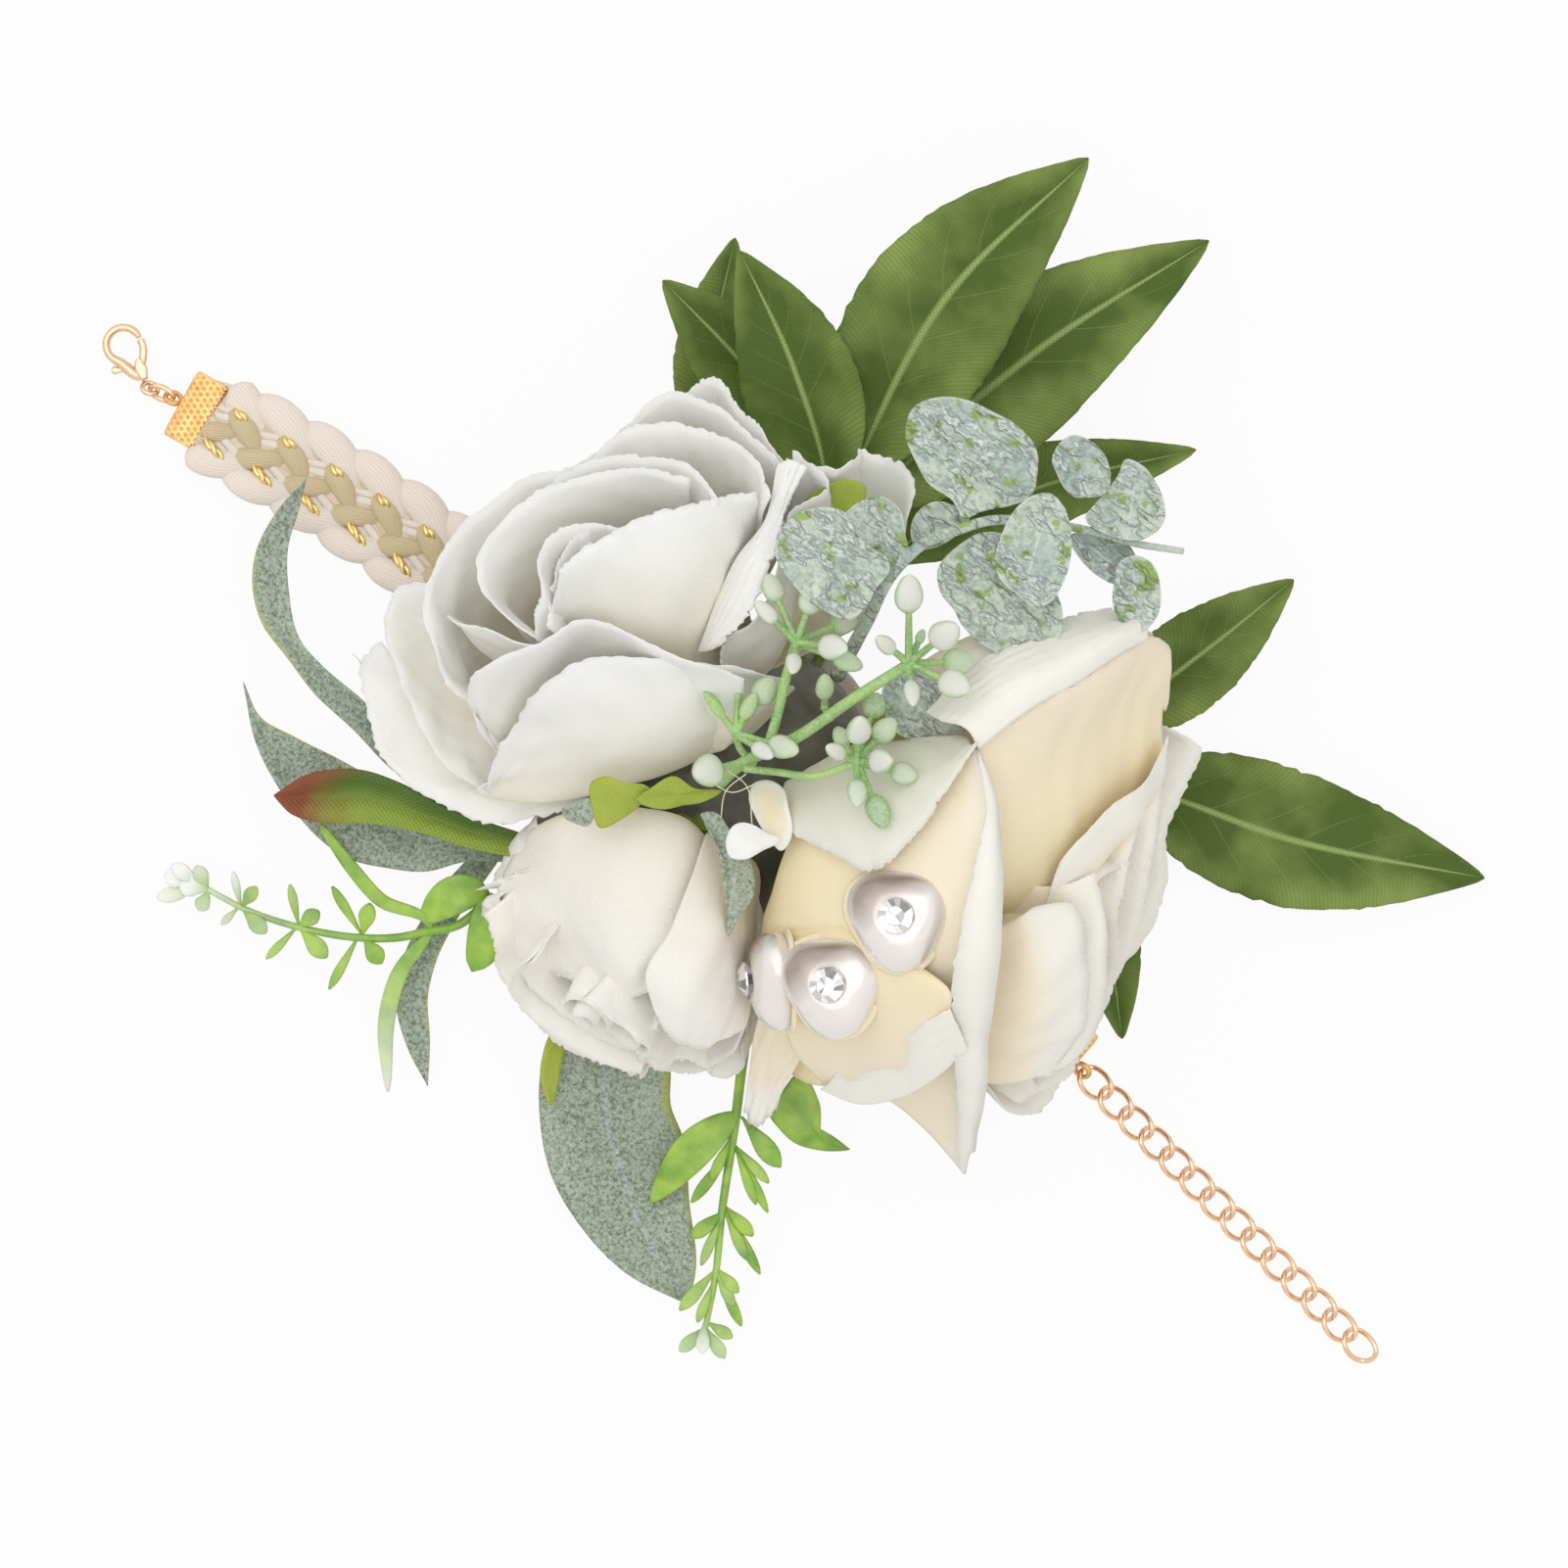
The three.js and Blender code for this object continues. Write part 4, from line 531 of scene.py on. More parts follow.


# Flocked eucalyptus: raised lines with a painted highlight and a painted shadow in the groove beside each, patches,
# pale ribs and rims, and specks of green.
def flockLook():
    look, tree, shader = startLook("eucalyptus flock", Roughness=0.8, Sheen_Weight=0.15)
    place = objectPlace(tree)
    stretched = put(tree, "ShaderNodeMapping", {"Vector": place, "Rotation": (0.3, 0.2, 0.9),
                                                "Scale": (1.0, 2.2, 1.0)})
    crinkle = noise(tree, stretched, 170.0, 3.0, 0.6)
    lines = ranged(tree, sums(tree, "ABSOLUTE", sums(tree, "SUBTRACT", crinkle, 0.5)), 0.0, 0.05, (1.0, 0.0))
    creaseShadow = ranged(tree, sums(tree, "ABSOLUTE", sums(tree, "SUBTRACT", crinkle, 0.44)), 0.0, 0.04, (0.6, 0.0))
    fine = noise(tree, place, 1500.0, 3.0, 0.7)
    patch = noise(tree, place, 110.0, 2.0)
    toned = mixed(tree, ranged(tree, fine, 0.35, 0.65), colour("#a3b2a2"), colour("#dae3d6"))
    toned = mixed(tree, ranged(tree, patch, 0.4, 0.65, (0.0, 0.55)), toned, colour("#d3dbd0"))
    toned = mixed(tree, ranged(tree, noise(tree, place, 90.0, 1.0), 0.5, 0.7, (0.0, 0.5)), toned,
                  colour("#8ea6ab"))
    # painted shadow beside each raised line, then a painted highlight on the line
    toned = mixed(tree, creaseShadow, toned, colour("#8ca197"))
    toned = mixed(tree, sums(tree, "MULTIPLY", lines, 0.9), toned, colour("#eef3ee"))
    toned = mixed(tree, ranged(tree, attribute(tree, "cross"), 0.08, 0.22, (0.55, 0.0)), toned,
                  colour("#dfe8e2"))
    toned = mixed(tree, ranged(tree, attribute(tree, "rise"), 0.93, 0.99, (0.0, 0.7)), toned,
                  colour("#dbe5d2"))
    green = ranged(tree, noise(tree, place, 420.0, 2.0), 0.6, 0.64, (0.0, 0.85))
    toned = mixed(tree, green, toned, colour("#97b254"))
    wire(tree, shader, "Base Color", toned)
    height = sums(tree, "ADD", lines, sums(tree, "MULTIPLY", fine, 0.5))
    wire(tree, shader, "Normal", bumped(tree, height, 0.9, 0.0006))
    return look


flock = flockLook()


# Cotton yarn: tint 0 is ivory and 1 is tan. Fine threads run along each bundle.
def yarnLook():
    look, tree, shader = startLook("cotton yarn", Roughness=0.85, Sheen_Weight=0.25, Subsurface_Weight=0.1,
                                   Subsurface_Scale=0.001)
    split = tree.nodes.new("ShaderNodeSeparateXYZ")
    tree.links.new(flatMap(tree), split.inputs[0])
    twist = sums(tree, "ADD", sums(tree, "MULTIPLY", attribute(tree, "cross"), full * 26),
                 sums(tree, "MULTIPLY", split.outputs[1], 1.3))
    wobble = sums(tree, "MULTIPLY", noise(tree, objectPlace(tree), 420.0, 3.0), 7.0)
    threads = sums(tree, "SINE", sums(tree, "ADD", twist, wobble))
    yarn = mixed(tree, attribute(tree, "tint"), colour("#f4e8dc"), colour("#dcc9a6"))
    gap = mixed(tree, attribute(tree, "tint"), colour("#e8dacb"), colour("#bfab85"))
    toned = mixed(tree, ranged(tree, threads, -1.0, -0.1), gap, yarn)
    wire(tree, shader, "Base Color", toned)
    wire(tree, shader, "Normal", bumped(tree, threads, 0.25, 0.0002))
    return look


cottonYarn = yarnLook()


def metalLook(name, tone, roughness, scratch):
    look, tree, shader = startLook(name, Metallic=1.0)
    worn = noise(tree, objectPlace(tree), scratch, 4.0)
    wear = ranged(tree, worn, 0.35, 0.65, (0.0, 0.35))
    wire(tree, shader, "Base Color", mixed(tree, wear, colour(tone[0]), colour(tone[1])))
    wire(tree, shader, "Roughness", ranged(tree, worn, 0.3, 0.7, (roughness * 0.7, roughness * 1.3)))
    wire(tree, shader, "Normal", bumped(tree, worn, 0.08, 0.0002))
    return look


goldPlate = metalLook("gold plate", ("#e6ba7d", "#c2904e"), 0.45, 700.0)
roseGold = metalLook("rose gold", ("#edccaa", "#c99a70"), 0.24, 900.0)
goldCord = metalLook("gold cord", ("#f0d694", "#b98f45"), 0.26, 1500.0)


# The tint attribute is painted shade and reflection: it turns one side of each pearl a beige grey.
def pearlLook():
    look, tree, shader = startLook("pearl lustre", Roughness=0.22, Metallic=0.3, Coat_Weight=0.6,
                                   Coat_Roughness=0.12,
                                   Subsurface_Weight=0.1, Subsurface_Scale=0.001)
    swirl = ranged(tree, noise(tree, objectPlace(tree), 140.0, 2.0), 0.3, 0.7, (-0.12, 0.12))
    shade = ranged(tree, sums(tree, "ADD", attribute(tree, "tint"), swirl), 0.35, 0.95)
    wire(tree, shader, "Base Color", mixed(tree, shade, colour("#ebe5e1"), colour("#a4958a")))
    wire(tree, shader, "Normal", bumped(tree, noise(tree, objectPlace(tree), 2400.0, 2.0), 0.05, 0.0001))
    return look


pearlLustre = pearlLook()


# Cut glass with a mirror behind it: each facet has its own grey, a painted reflection of light and dark
# surroundings.
def crystalLook():
    look, tree, shader = startLook("cut glass", Roughness=0.06, Metallic=0.85, Coat_Weight=1.0,
                                   Coat_Roughness=0.03)
    grain = ranged(tree, noise(tree, objectPlace(tree), 900.0, 1.0), 0.3, 0.7, (-0.06, 0.06))
    tone = ranged(tree, sums(tree, "ADD", attribute(tree, "tint"), grain), 0.0, 1.0)
    wire(tree, shader, "Base Color", mixed(tree, tone, colour("#4e4c4a"), colour("#ffffff")))
    return look


cutGlass = crystalLook()


# Hot glue coloured a dark grey-green: painted shade, for the mound that lies in shadow under the flowers.
def shadedGlueLook():
    look, tree, shader = startLook("hot glue painted shade", Roughness=0.3, Subsurface_Weight=0.1, Subsurface_Scale=0.002)
    blotch = ranged(tree, noise(tree, objectPlace(tree), 120.0, 3.0), 0.35, 0.65)
    wire(tree, shader, "Base Color", mixed(tree, blotch, colour("#4c4d42"), colour("#7d7b6e")))
    wire(tree, shader, "Normal", bumped(tree, noise(tree, objectPlace(tree), 160.0, 3.0), 0.5, 0.001))
    return look


shadedGlue = shadedGlueLook()


def clearGlueLook():
    look, tree, shader = startLook("clear glue", Roughness=0.18, Subsurface_Weight=0.1,
                                   Subsurface_Scale=0.001)
    blotch = noise(tree, objectPlace(tree), 300.0, 3.0)
    wire(tree, shader, "Base Color", mixed(tree, blotch, colour("#f4e2bd"), colour("#fbf0d8")))
    wire(tree, shader, "Normal", bumped(tree, blotch, 0.4, 0.0006))
    return look


clearGlue = clearGlueLook()


def feltLook():
    look, tree, shader = startLook("felt", Roughness=0.95, Sheen_Weight=0.5)
    fibre = noise(tree, objectPlace(tree), 1400.0, 5.0, 0.75)
    wire(tree, shader, "Base Color", mixed(tree, fibre, colour("#d8d2c6"), colour("#f6f2ea")))
    wire(tree, shader, "Normal", bumped(tree, fibre, 0.8, 0.0006))
    return look


whiteFelt = feltLook()
print("materials ready")


# Roses

roses = {
    "white": {"base": (-11, 3, 13), "heading": 148.5, "lean": 31},
    "cream": {"base": (12, 2, 15.5), "heading": 10.4, "lean": 76},
    "ivory": {"base": (1, -7.5, 14), "heading": -86.8, "lean": 74},
}
petalWall = 0.42


# The rose's own axes: where turn 0 points, where turn 90 points, and its own upward axis.
def roseAxes(rose):
    heading, lean = math.radians(rose["heading"]), math.radians(rose["lean"])
    ch, sh, cl, sl = math.cos(heading), math.sin(heading), math.cos(lean), math.sin(lean)
    return np.array([[cl * ch, cl * sh, -sl], [-sh, ch, 0], [sl * ch, sl * sh, cl]])


def onRose(rose, turn, reach, height):
    turn = np.radians(np.asarray(turn, float))
    local = np.stack(np.broadcast_arrays(reach * np.cos(turn), reach * np.sin(turn), height), axis=-1)
    return np.asarray(rose["base"], float) + local @ roseAxes(rose)


def localOf(rose, points):
    local = (points - np.asarray(rose["base"], float)) @ roseAxes(rose).T
    turn = np.unwrap(np.arctan2(local[:, 1], local[:, 0]))
    return np.degrees(turn), np.hypot(local[:, 0], local[:, 1]), local[:, 2]


# A photo pixel and a height along the rose's own axis become a point of the part.
def alongAxis(rose, row):
    row = np.asarray(row, float)
    low, high = fromPhoto(row[:, 0], row[:, 1], 0.0), fromPhoto(row[:, 0], row[:, 1], 10.0)
    step = (high - low) / 10
    axis = roseAxes(rose)[2]
    z = (row[:, 2] - (low - np.asarray(rose["base"], float)) @ axis) / (step @ axis)
    return low + step * z[:, None]


def rowPoints(rose, row, kind):
    if kind == "axis":
        return alongAxis(rose, row)
    if kind == "local":
        row = smoothRow(row, 4 * len(row))
        return onRose(rose, row[:, 0], row[:, 1], row[:, 2])
    return photoRow(row)


# A petal: a cup from its foot on the rose's axis up to its first row, then through its rows
# to the rim. The cup leaves its foot flat and climbs as a quarter circle does. It gets long
# folds that grow toward the rim, and a frayed rim.
def petalGrid(rose, rows, kind, look, seed):
    cols, rings = look.get("cols", 72), look.get("rings", 30)
    rows = [smoothRow(rowPoints(rose, row, kind), cols) for row in rows]
    turn, reach, height = localOf(rose, rows[0])
    middle = turn.mean()
    free = look.get("free", False)
    foot, floor, belly = look.get("foot", 2.5), look.get("floor", 1.5), look.get("belly", 0.0)
    sweep = math.radians(84)
    cup = []
    shares = look.get("shares", (0, 0.25, 0.5, 0.75) if len(rows) == 1 else (0, 0.45))
    for share in shares:
        outShare = math.sin(share * sweep) / math.sin(sweep)
        upShare = (1 - math.cos(share * sweep)) / (1 - math.cos(sweep))
        narrow = middle + (turn - middle) * (0.6 + 0.4 * share)
        out = foot + (reach - foot) * outShare + belly * math.sin(math.pi * share)
        cup.append(onRose(rose, narrow, out, floor + (height - floor) * upShare))
    grid = smoothStack(np.stack(rows if free else cup + rows), rings)
    u, v = np.linspace(0, 1, cols)[None, :], np.linspace(0, 1, rings)[:, None]
    normal = unit(np.cross(np.gradient(grid, axis=0), np.gradient(grid, axis=1)))
    away = grid - np.asarray(rose["base"], float)
    away = away - (away @ roseAxes(rose)[2])[..., None] * roseAxes(rose)[2]
    outward = normal * np.where((normal * away).sum(axis=-1, keepdims=True) < 0, -1, 1)
    curl = np.clip((v - 0.8) / 0.2, 0, 1) ** 2
    fold = ripple(u, v * 0.25, seed, 6, look.get("foldCount", 1.6)) * look.get("fold", 0.5) * v**1.5
    fold = fold + ripple(u, v, seed + 50, 6, 3.5) * look.get("crumple", 0.2) * v
    grid = grid + normal * fold[..., None] + outward * (curl * look.get("curl", 0.6))[..., None]
    swell = np.sin(math.pi * np.clip(v / 0.9, 0, 1)) ** 2 * look.get("swell", 0.0)
    grid = grid + outward * swell[..., None]
    draw = np.random.default_rng(seed)
    fray = look.get("fray", 0.12) * draw.normal(0, 1, cols)
    ahead = unit(grid[-1] - grid[-2])
    grid[-1] = grid[-1] + ahead * fray[:, None]
    return grid


def petalParts(rose, petals, common):
    parts = []
    for seed, petal in enumerate(petals):
        look = {**common, **petal}
        grid = petalGrid(rose, petal["rows"], look["kind"], look, look["seed"] + seed)
        u = np.linspace(-1, 1, grid.shape[1])[None, :]
        v = np.linspace(0, 1, grid.shape[0])[:, None]
        reach = 1.2 - 2.2 * v + look.get("greenEnd", 0.0) * 1.6
        tint = look.get("green", 0.0) * np.clip(reach, 0, 1) + 0 * u
        part = sheetPart(grid, petalWall, tint)
        if look.get("free"):
            part["rise"] = look.get("tone", 0.9) + 0.1 * part["rise"]
        # The petal's shade share scales rise, so more of it takes the painted shade at the foot
        part["rise"] = part["rise"] * look.get("depth", 1.0)
        parts.append(part)
    return parts


# A bud: one long petal wound round the rose's axis from wide to narrow, its rim uneven.
def budGrid(rose, bud):
    cols, rings = 190, 14
    u, v = np.linspace(0, 1, cols)[None, :], np.linspace(0, 1, rings)[:, None]
    turn = bud["start"] + 360 * bud["turns"] * u
    radius = bud["wide"] + (bud["narrow"] - bud["wide"]) * u**0.8
    rim = bud["top"] + 1.2 * u + 0.5 * ripple(u, 0 * u, bud["seed"], 5, 4.0)
    height = bud["floor"] + (rim - bud["floor"]) * v
    swell = np.sin(math.pi * (0.12 + 0.6 * v)) ** 0.7
    reach = radius * swell * (1 + 0.04 * ripple(u, v, bud["seed"] + 1, 5, 3.0))
    centre = bud.get("shift", (0.0, 0.0))
    angle = np.radians(turn)
    x, y = reach * np.cos(angle) + centre[0] * v, reach * np.sin(angle) + centre[1] * v
    local = np.stack(np.broadcast_arrays(x, y, height), axis=-1)
    return np.asarray(rose["base"], float) + local @ roseAxes(rose)


# Rows of a white petal are photo pixels with a height along the rose's axis.
whiteOuter = [
    {"rows": [[(388, 653, 16), (369, 676, 13), (373, 714, 10), (392, 772, 7), (427, 806, 4), (465, 826, 2),
               (503, 841, 0), (546, 835, -1), (600, 822, 0)]],
     "fray": 0.2, "floor": 0.5},
    {"rows": [[(475, 545, 27), (444, 596, 24), (404, 607, 22), (396, 630, 20), (407, 676, 16),
               (427, 734, 12), (461, 780, 8), (497, 810, 4)]],
     "floor": 1.5},
    {"rows": [[(700, 407, 31), (727, 386, 31), (745, 412, 31), (775, 452, 31), (800, 480, 30)]],
     "floor": 1.2},
    {"rows": [[(540, 505, 32), (595, 478, 32), (641, 443, 33), (687, 401, 34), (714, 408, 34),
               (752, 439, 34), (790, 473, 33), (810, 500, 30)]],
     "floor": 2.2},
    {"rows": [[(803, 468, 34), (840, 471, 33), (880, 456, 31), (916, 470, 29), (928, 523, 26),
               (905, 575, 20), (880, 620, 14)]],
     "floor": 1.8, "fray": 0.25, "fold": 0.9},
    {"rows": [[(803, 468, 35), (840, 496, 33), (805, 519, 33), (790, 584, 30), (767, 630, 27),
               (740, 657, 24), (735, 690, 18)]],
     "floor": 2.6, "fray": 0.25, "fold": 0.8, "belly": 1.5},
    {"rows": [[(794, 474, 36), (779, 536, 31), (754, 567, 29), (735, 605, 26), (713, 666, 22)],
              [(810, 470, 37), (794, 525, 33.5), (774, 568, 31.5), (752, 615, 28.5), (726, 664, 24)],
              [(824, 477, 36), (806, 512, 34), (791, 567, 32), (766, 624, 29), (738, 658, 25)]],
     "free": True, "fold": 0.15, "fray": 0.25, "curl": 0.0},
    {"rows": [[(800, 715, 8), (748, 753, 7), (694, 782, 6), (641, 800, 5), (595, 812, 4), (541, 818, 3),
               (500, 812, 3)],
              [(806, 700, 15), (750, 715, 19), (700, 728, 22), (650, 735, 22), (600, 745, 20),
               (550, 765, 15), (500, 800, 8)],
              [(800, 693, 20), (757, 683, 26), (717, 676, 29), (649, 668, 31), (595, 672, 30),
               (557, 695, 27), (534, 726, 21), (507, 768, 14), (497, 808, 7)]],
     "floor": 0.8, "green": 0.5, "fold": 0.25, "shares": (0, 0.5)},
    {"rows": [[(507, 768, 12), (488, 737, 19), (477, 710, 24), (482, 688, 28), (541, 657, 32),
               (595, 628, 34), (633, 638, 34), (717, 672, 31), (760, 690, 27)]],
     "floor": 3.0, "fold": 0.25, "belly": 1.0},
]
whiteInner = [
    {"rows": [[(520, 690, 18), (480, 703, 22), (462, 688, 24), (449, 661, 27), (443, 630, 29),
               (446, 592, 31), (476, 542, 34), (522, 504, 36), (564, 487, 37), (600, 480, 37)]],
     "curl": 1.0, "swell": 0.8},
    {"rows": [[(590, 492, 36), (603, 481, 36), (641, 447, 36), (679, 439, 36), (717, 450, 36),
               (763, 477, 36), (778, 510, 35)]], "curl": 1.2},
    {"rows": [[(500, 560, 35), (540, 520, 37), (600, 483, 38), (641, 475, 38), (672, 475, 38),
               (690, 480, 38), (712, 500, 38), (722, 520, 37)]],
     "curl": 1.2},
    {"rows": [[(557, 644, 30), (535, 630, 33), (512, 612, 35), (499, 596, 37), (497, 573, 38),
               (522, 535, 39), (564, 504, 40), (610, 489, 40), (650, 486, 40), (700, 500, 39)]],
     "curl": 1.2, "swell": 0.6},
    {"rows": [[(560, 660, 18), (600, 655, 24), (640, 650, 26), (680, 645, 26), (705, 640, 25),
               (730, 630, 23), (745, 610, 21), (760, 590, 18)],
              [(556, 650, 24), (590, 625, 31), (615, 600, 34), (650, 590, 35), (690, 580, 34),
               (720, 570, 32.5), (750, 560, 30), (772, 545, 27)],
              [(564, 644, 30), (568, 610, 36), (574, 586, 39.5), (595, 561, 40.5), (625, 543, 41),
               (656, 527, 40), (714, 512, 38), (775, 504, 35)]],
     "fold": 0.15, "shares": (0, 0.5), "curl": 0.2},
    {"rows": [[(461, 623, 28), (480, 634, 30), (510, 642, 31), (545, 653, 31), (590, 640, 31)]],
     "curl": 0.8},
    {"rows": [[(556, 655, 30), (552, 625, 34), (555, 590, 38), (563, 556, 39.5), (584, 540, 40),
               (606, 537, 40), (632, 545, 40)]], "foot": 1.5, "curl": 0.7},
    {"rows": [[(566, 640, 33), (566, 610, 35), (570, 582, 37), (580, 560, 38), (596, 548, 38.5),
               (618, 546, 38.5)]], "foot": 1.2, "curl": 0.5},
]
whitePetals = petalParts(roses["white"], whiteOuter, {"kind": "axis", "seed": 100})
putPiece("whiteOuterPetals", whitePetals, whiteCloth, "root", ["white_rose_outer_petals"])
whitePetals = petalParts(roses["white"], whiteInner,
                         {"kind": "axis", "seed": 140, "floor": 3.6, "fold": 0.3})
putPiece("whiteInnerPetals", whitePetals, whiteCloth, "root", ["white_rose_inner_petals"])
whiteBud = {"start": 60, "turns": 1.6, "wide": 3.4, "narrow": 1.2, "floor": 6, "top": 36.0, "seed": 31,
            "shift": (1.6, 1.2)}
whiteRoll = [sheetPart(budGrid(roses["white"], whiteBud), petalWall)]
putPiece("whiteBud", whiteRoll, whiteCloth, "root", ["white_rose_heart"])
print("white rose ready")

# Rows of a cream petal are photo pixels with a height above the table.
creamOuter = [
    {"rows": [[(850, 800, 35), (815, 850, 33), (793, 905, 29), (778, 960, 23), (780, 1020, 17),
               (800, 1085, 11)],
              [(930, 790, 42), (890, 870, 41.2), (862, 950, 37.8), (848, 1010, 33), (850, 1060, 26),
               (890, 1115, 15)],
              [(985, 772, 46), (978, 850, 46.5), (968, 940, 44.6), (958, 1030, 37), (958, 1090, 27),
               (950, 1160, 12)],
              [(998, 765, 47), (1018, 830, 48.4), (1022, 890, 48.4), (1021, 950, 46.5), (1013, 1028, 40),
               (1004, 1110, 28), (985, 1199, 8)],
              [(996, 772, 48), (1004, 830, 49.8), (992, 890, 49.4), (979, 950, 47.2), (971, 1020, 41),
               (976, 1080, 33), (980, 1185, 11)]],
     "fold": 0.25},
    {"rows": [[(800, 800, 32), (860, 775, 37), (930, 762, 41), (985, 752, 44)],
              [(800, 825, 35), (865, 815, 40.5), (925, 800, 44.5), (992, 762, 48)],
              [(806, 849, 36), (850, 872, 40.5), (892, 889, 44.3), (935, 853, 46.8), (968, 805, 48.2),
               (1000, 758, 49.3)]],
     "green": 0.9, "greenEnd": 1.0, "fold": 0.1, "curl": 0.1, "cols": 90},
    {"rows": [[(965, 712, 36), (980, 695, 38), (1002, 680, 41), (1061, 654, 41), (1103, 641, 38),
               (1138, 637, 34), (1160, 643, 30), (1184, 660, 24)]],
     "belly": 0.5},
    {"rows": [[(1010, 925, 33), (1040, 928, 31), (1066, 940, 28), (1090, 890, 27), (1125, 845, 25),
               (1165, 812, 20), (1185, 790, 17)],
              [(1002, 880, 39), (1040, 870, 37.5), (1078, 850, 35), (1118, 815, 31), (1158, 775, 26),
               (1186, 770, 20)],
              [(996, 820, 43), (1045, 795, 41.5), (1090, 765, 38.5), (1130, 735, 34), (1164, 712, 29),
               (1188, 725, 22)],
              [(998, 765, 46), (1053, 733, 46), (1103, 706, 43), (1142, 680, 39), (1177, 656, 33),
               (1191, 672, 28), (1190, 720, 22)],
              [(997, 757, 47.5), (1051, 718, 47.5), (1101, 694, 44.5), (1140, 668, 40.5), (1172, 650, 35),
               (1191, 660, 29), (1192, 705, 23)]],
     "fold": 0.15, "curl": 0.0, "shares": (0, 0.4), "depth": 0.72},
    {"rows": [[(800, 1000, 31), (850, 985, 36.5), (905, 985, 41.5), (965, 1005, 43)],
              [(805, 1060, 23), (850, 1055, 28.5), (905, 1048, 35), (972, 1032, 40.5)],
              [(840, 1108, 15), (872, 1121, 17.5), (915, 1118, 22.5), (950, 1100, 28.5),
               (985, 1070, 35.5)]],
     "fold": 0.1, "curl": 0.0, "depth": 0.8},
    {"rows": [[(838, 1112, 15.5), (872, 1126, 18), (915, 1122, 23), (952, 1103, 29), (988, 1072, 36)],
              [(846, 1106, 18.5), (876, 1106, 22), (910, 1097, 27), (945, 1078, 33), (980, 1052, 39)],
              [(851, 1098, 20.5), (872, 1085, 25), (900, 1069, 30.5), (936, 1048, 37), (970, 1030, 42)]],
     "free": True, "fold": 0.15, "curl": 0.0, "crumple": 0.08},
    {"rows": [[(782, 1000, 24), (805, 1020, 25.5), (832, 1045, 27)],
              [(768, 1070, 15), (790, 1080, 16.5), (815, 1085, 18)],
              [(762, 1130, 8), (772, 1146, 7), (790, 1128, 9)]],
     "fold": 0.15},
    {"rows": [[(1189, 748, 18), (1224, 767, 15), (1212, 802, 13), (1193, 841, 11), (1189, 911, 8),
               (1170, 958, 7), (1132, 1001, 7), (1125, 1040, 7)]],
     "fold": 0.45, "fray": 0.12},
    {"rows": [[(1132, 1001, 7), (1122, 1040, 6), (1096, 1078, 6), (1066, 1128, 8), (1040, 1128, 11),
               (1010, 1108, 15), (1000, 1090, 19)]],
     "fold": 0.45, "fray": 0.12},
    {"rows": [[(-95, 17, 14), (-60, 16, 20), (-30, 14, 26), (0, 12, 30)]], "kind": "local", "fold": 0.3},
    {"rows": [[(999, 765, 47.5), (1052, 724, 47.8), (1100, 697, 45), (1140, 670, 41), (1172, 652, 36)],
              [(990, 748, 48.3), (1046, 704, 48.6), (1097, 680, 46), (1138, 654, 42), (1170, 637, 36)],
              [(960, 735, 46), (1012, 690, 46), (1062, 658, 43), (1108, 638, 39), (1145, 628, 33)],
              [(945, 728, 42), (995, 680, 42), (1045, 648, 39), (1095, 630, 35), (1135, 624, 30)]],
     "free": True, "fold": 0.1, "curl": 0.0},
    {"rows": [[(-20, 17, 34), (20, 18, 38), (60, 24, 37), (95, 36, 28)]], "kind": "local", "fold": 0.5},
]
creamInner = [
    {"rows": [[(1072, 938, 30), (1096, 906, 31), (1132, 868, 29), (1166, 830, 23), (1180, 805, 19)],
              [(1066, 926, 33), (1080, 880, 35), (1119, 833, 34), (1166, 794, 29), (1189, 750, 23)]]},
    {"rows": [[(1020, 946, 37), (1022, 1000, 34.5), (1020, 1060, 28.5), (1018, 1106, 21)],
              [(1042, 935, 38.5), (1060, 990, 37), (1058, 1050, 31), (1045, 1102, 22)],
              [(1055, 926, 38), (1092, 922, 36), (1110, 985, 32.5), (1106, 1045, 26.5),
               (1074, 1098, 18.5)]], "curl": 0.0, "fold": 0.15},
    {"rows": [[(1098, 900, 33), (1104, 950, 31.5), (1106, 1010, 28.5), (1096, 1060, 23.5),
               (1078, 1090, 19)],
              [(1118, 890, 32.5), (1128, 935, 31.5), (1130, 990, 28.5), (1122, 1045, 22.5),
               (1100, 1080, 17)]], "fold": 0.1, "curl": 0.0},
    {"rows": [[(1165, 835, 24), (1152, 885, 25), (1140, 935, 24), (1142, 985, 20), (1126, 1035, 16),
               (1108, 1066, 13)]], "fray": 0.1},
    {"rows": [[(1186, 790, 19), (1180, 850, 20), (1170, 905, 18), (1160, 955, 15), (1138, 1005, 12)]],
     "fray": 0.1},
    {"rows": [[(1064, 1078, 19), (1082, 1072, 18), (1100, 1076, 16), (1094, 1096, 14), (1074, 1110, 12),
               (1055, 1118, 12)]], "fray": 0.1, "fold": 0.3, "curl": 0.1},
    {"rows": [[(1020, 1098, 18), (1040, 1092, 17), (1055, 1100, 15), (1058, 1116, 13), (1040, 1126, 11)]],
     "fray": 0.1, "fold": 0.3, "curl": 0.1},
    {"rows": [[(20, 11, 36), (70, 12, 38), (120, 10, 37), (160, 9, 36)]], "kind": "local"},
    {"rows": [[(150, 8, 36), (210, 10, 37), (270, 12, 37), (320, 10, 37)]], "kind": "local"},
]
creamPetals = petalParts(roses["cream"], creamOuter, {"kind": "photo", "seed": 200})
putPiece("creamOuterPetals", creamPetals, creamCloth, "root", ["cream_rose_outer_petals"])
creamPetals = petalParts(roses["cream"], creamInner,
                         {"kind": "photo", "seed": 240, "floor": 3.6, "fold": 0.3, "fray": 0.06, "curl": 0.4})
putPiece("creamInnerPetals", creamPetals, creamCloth, "root", ["cream_rose_inner_petals"])
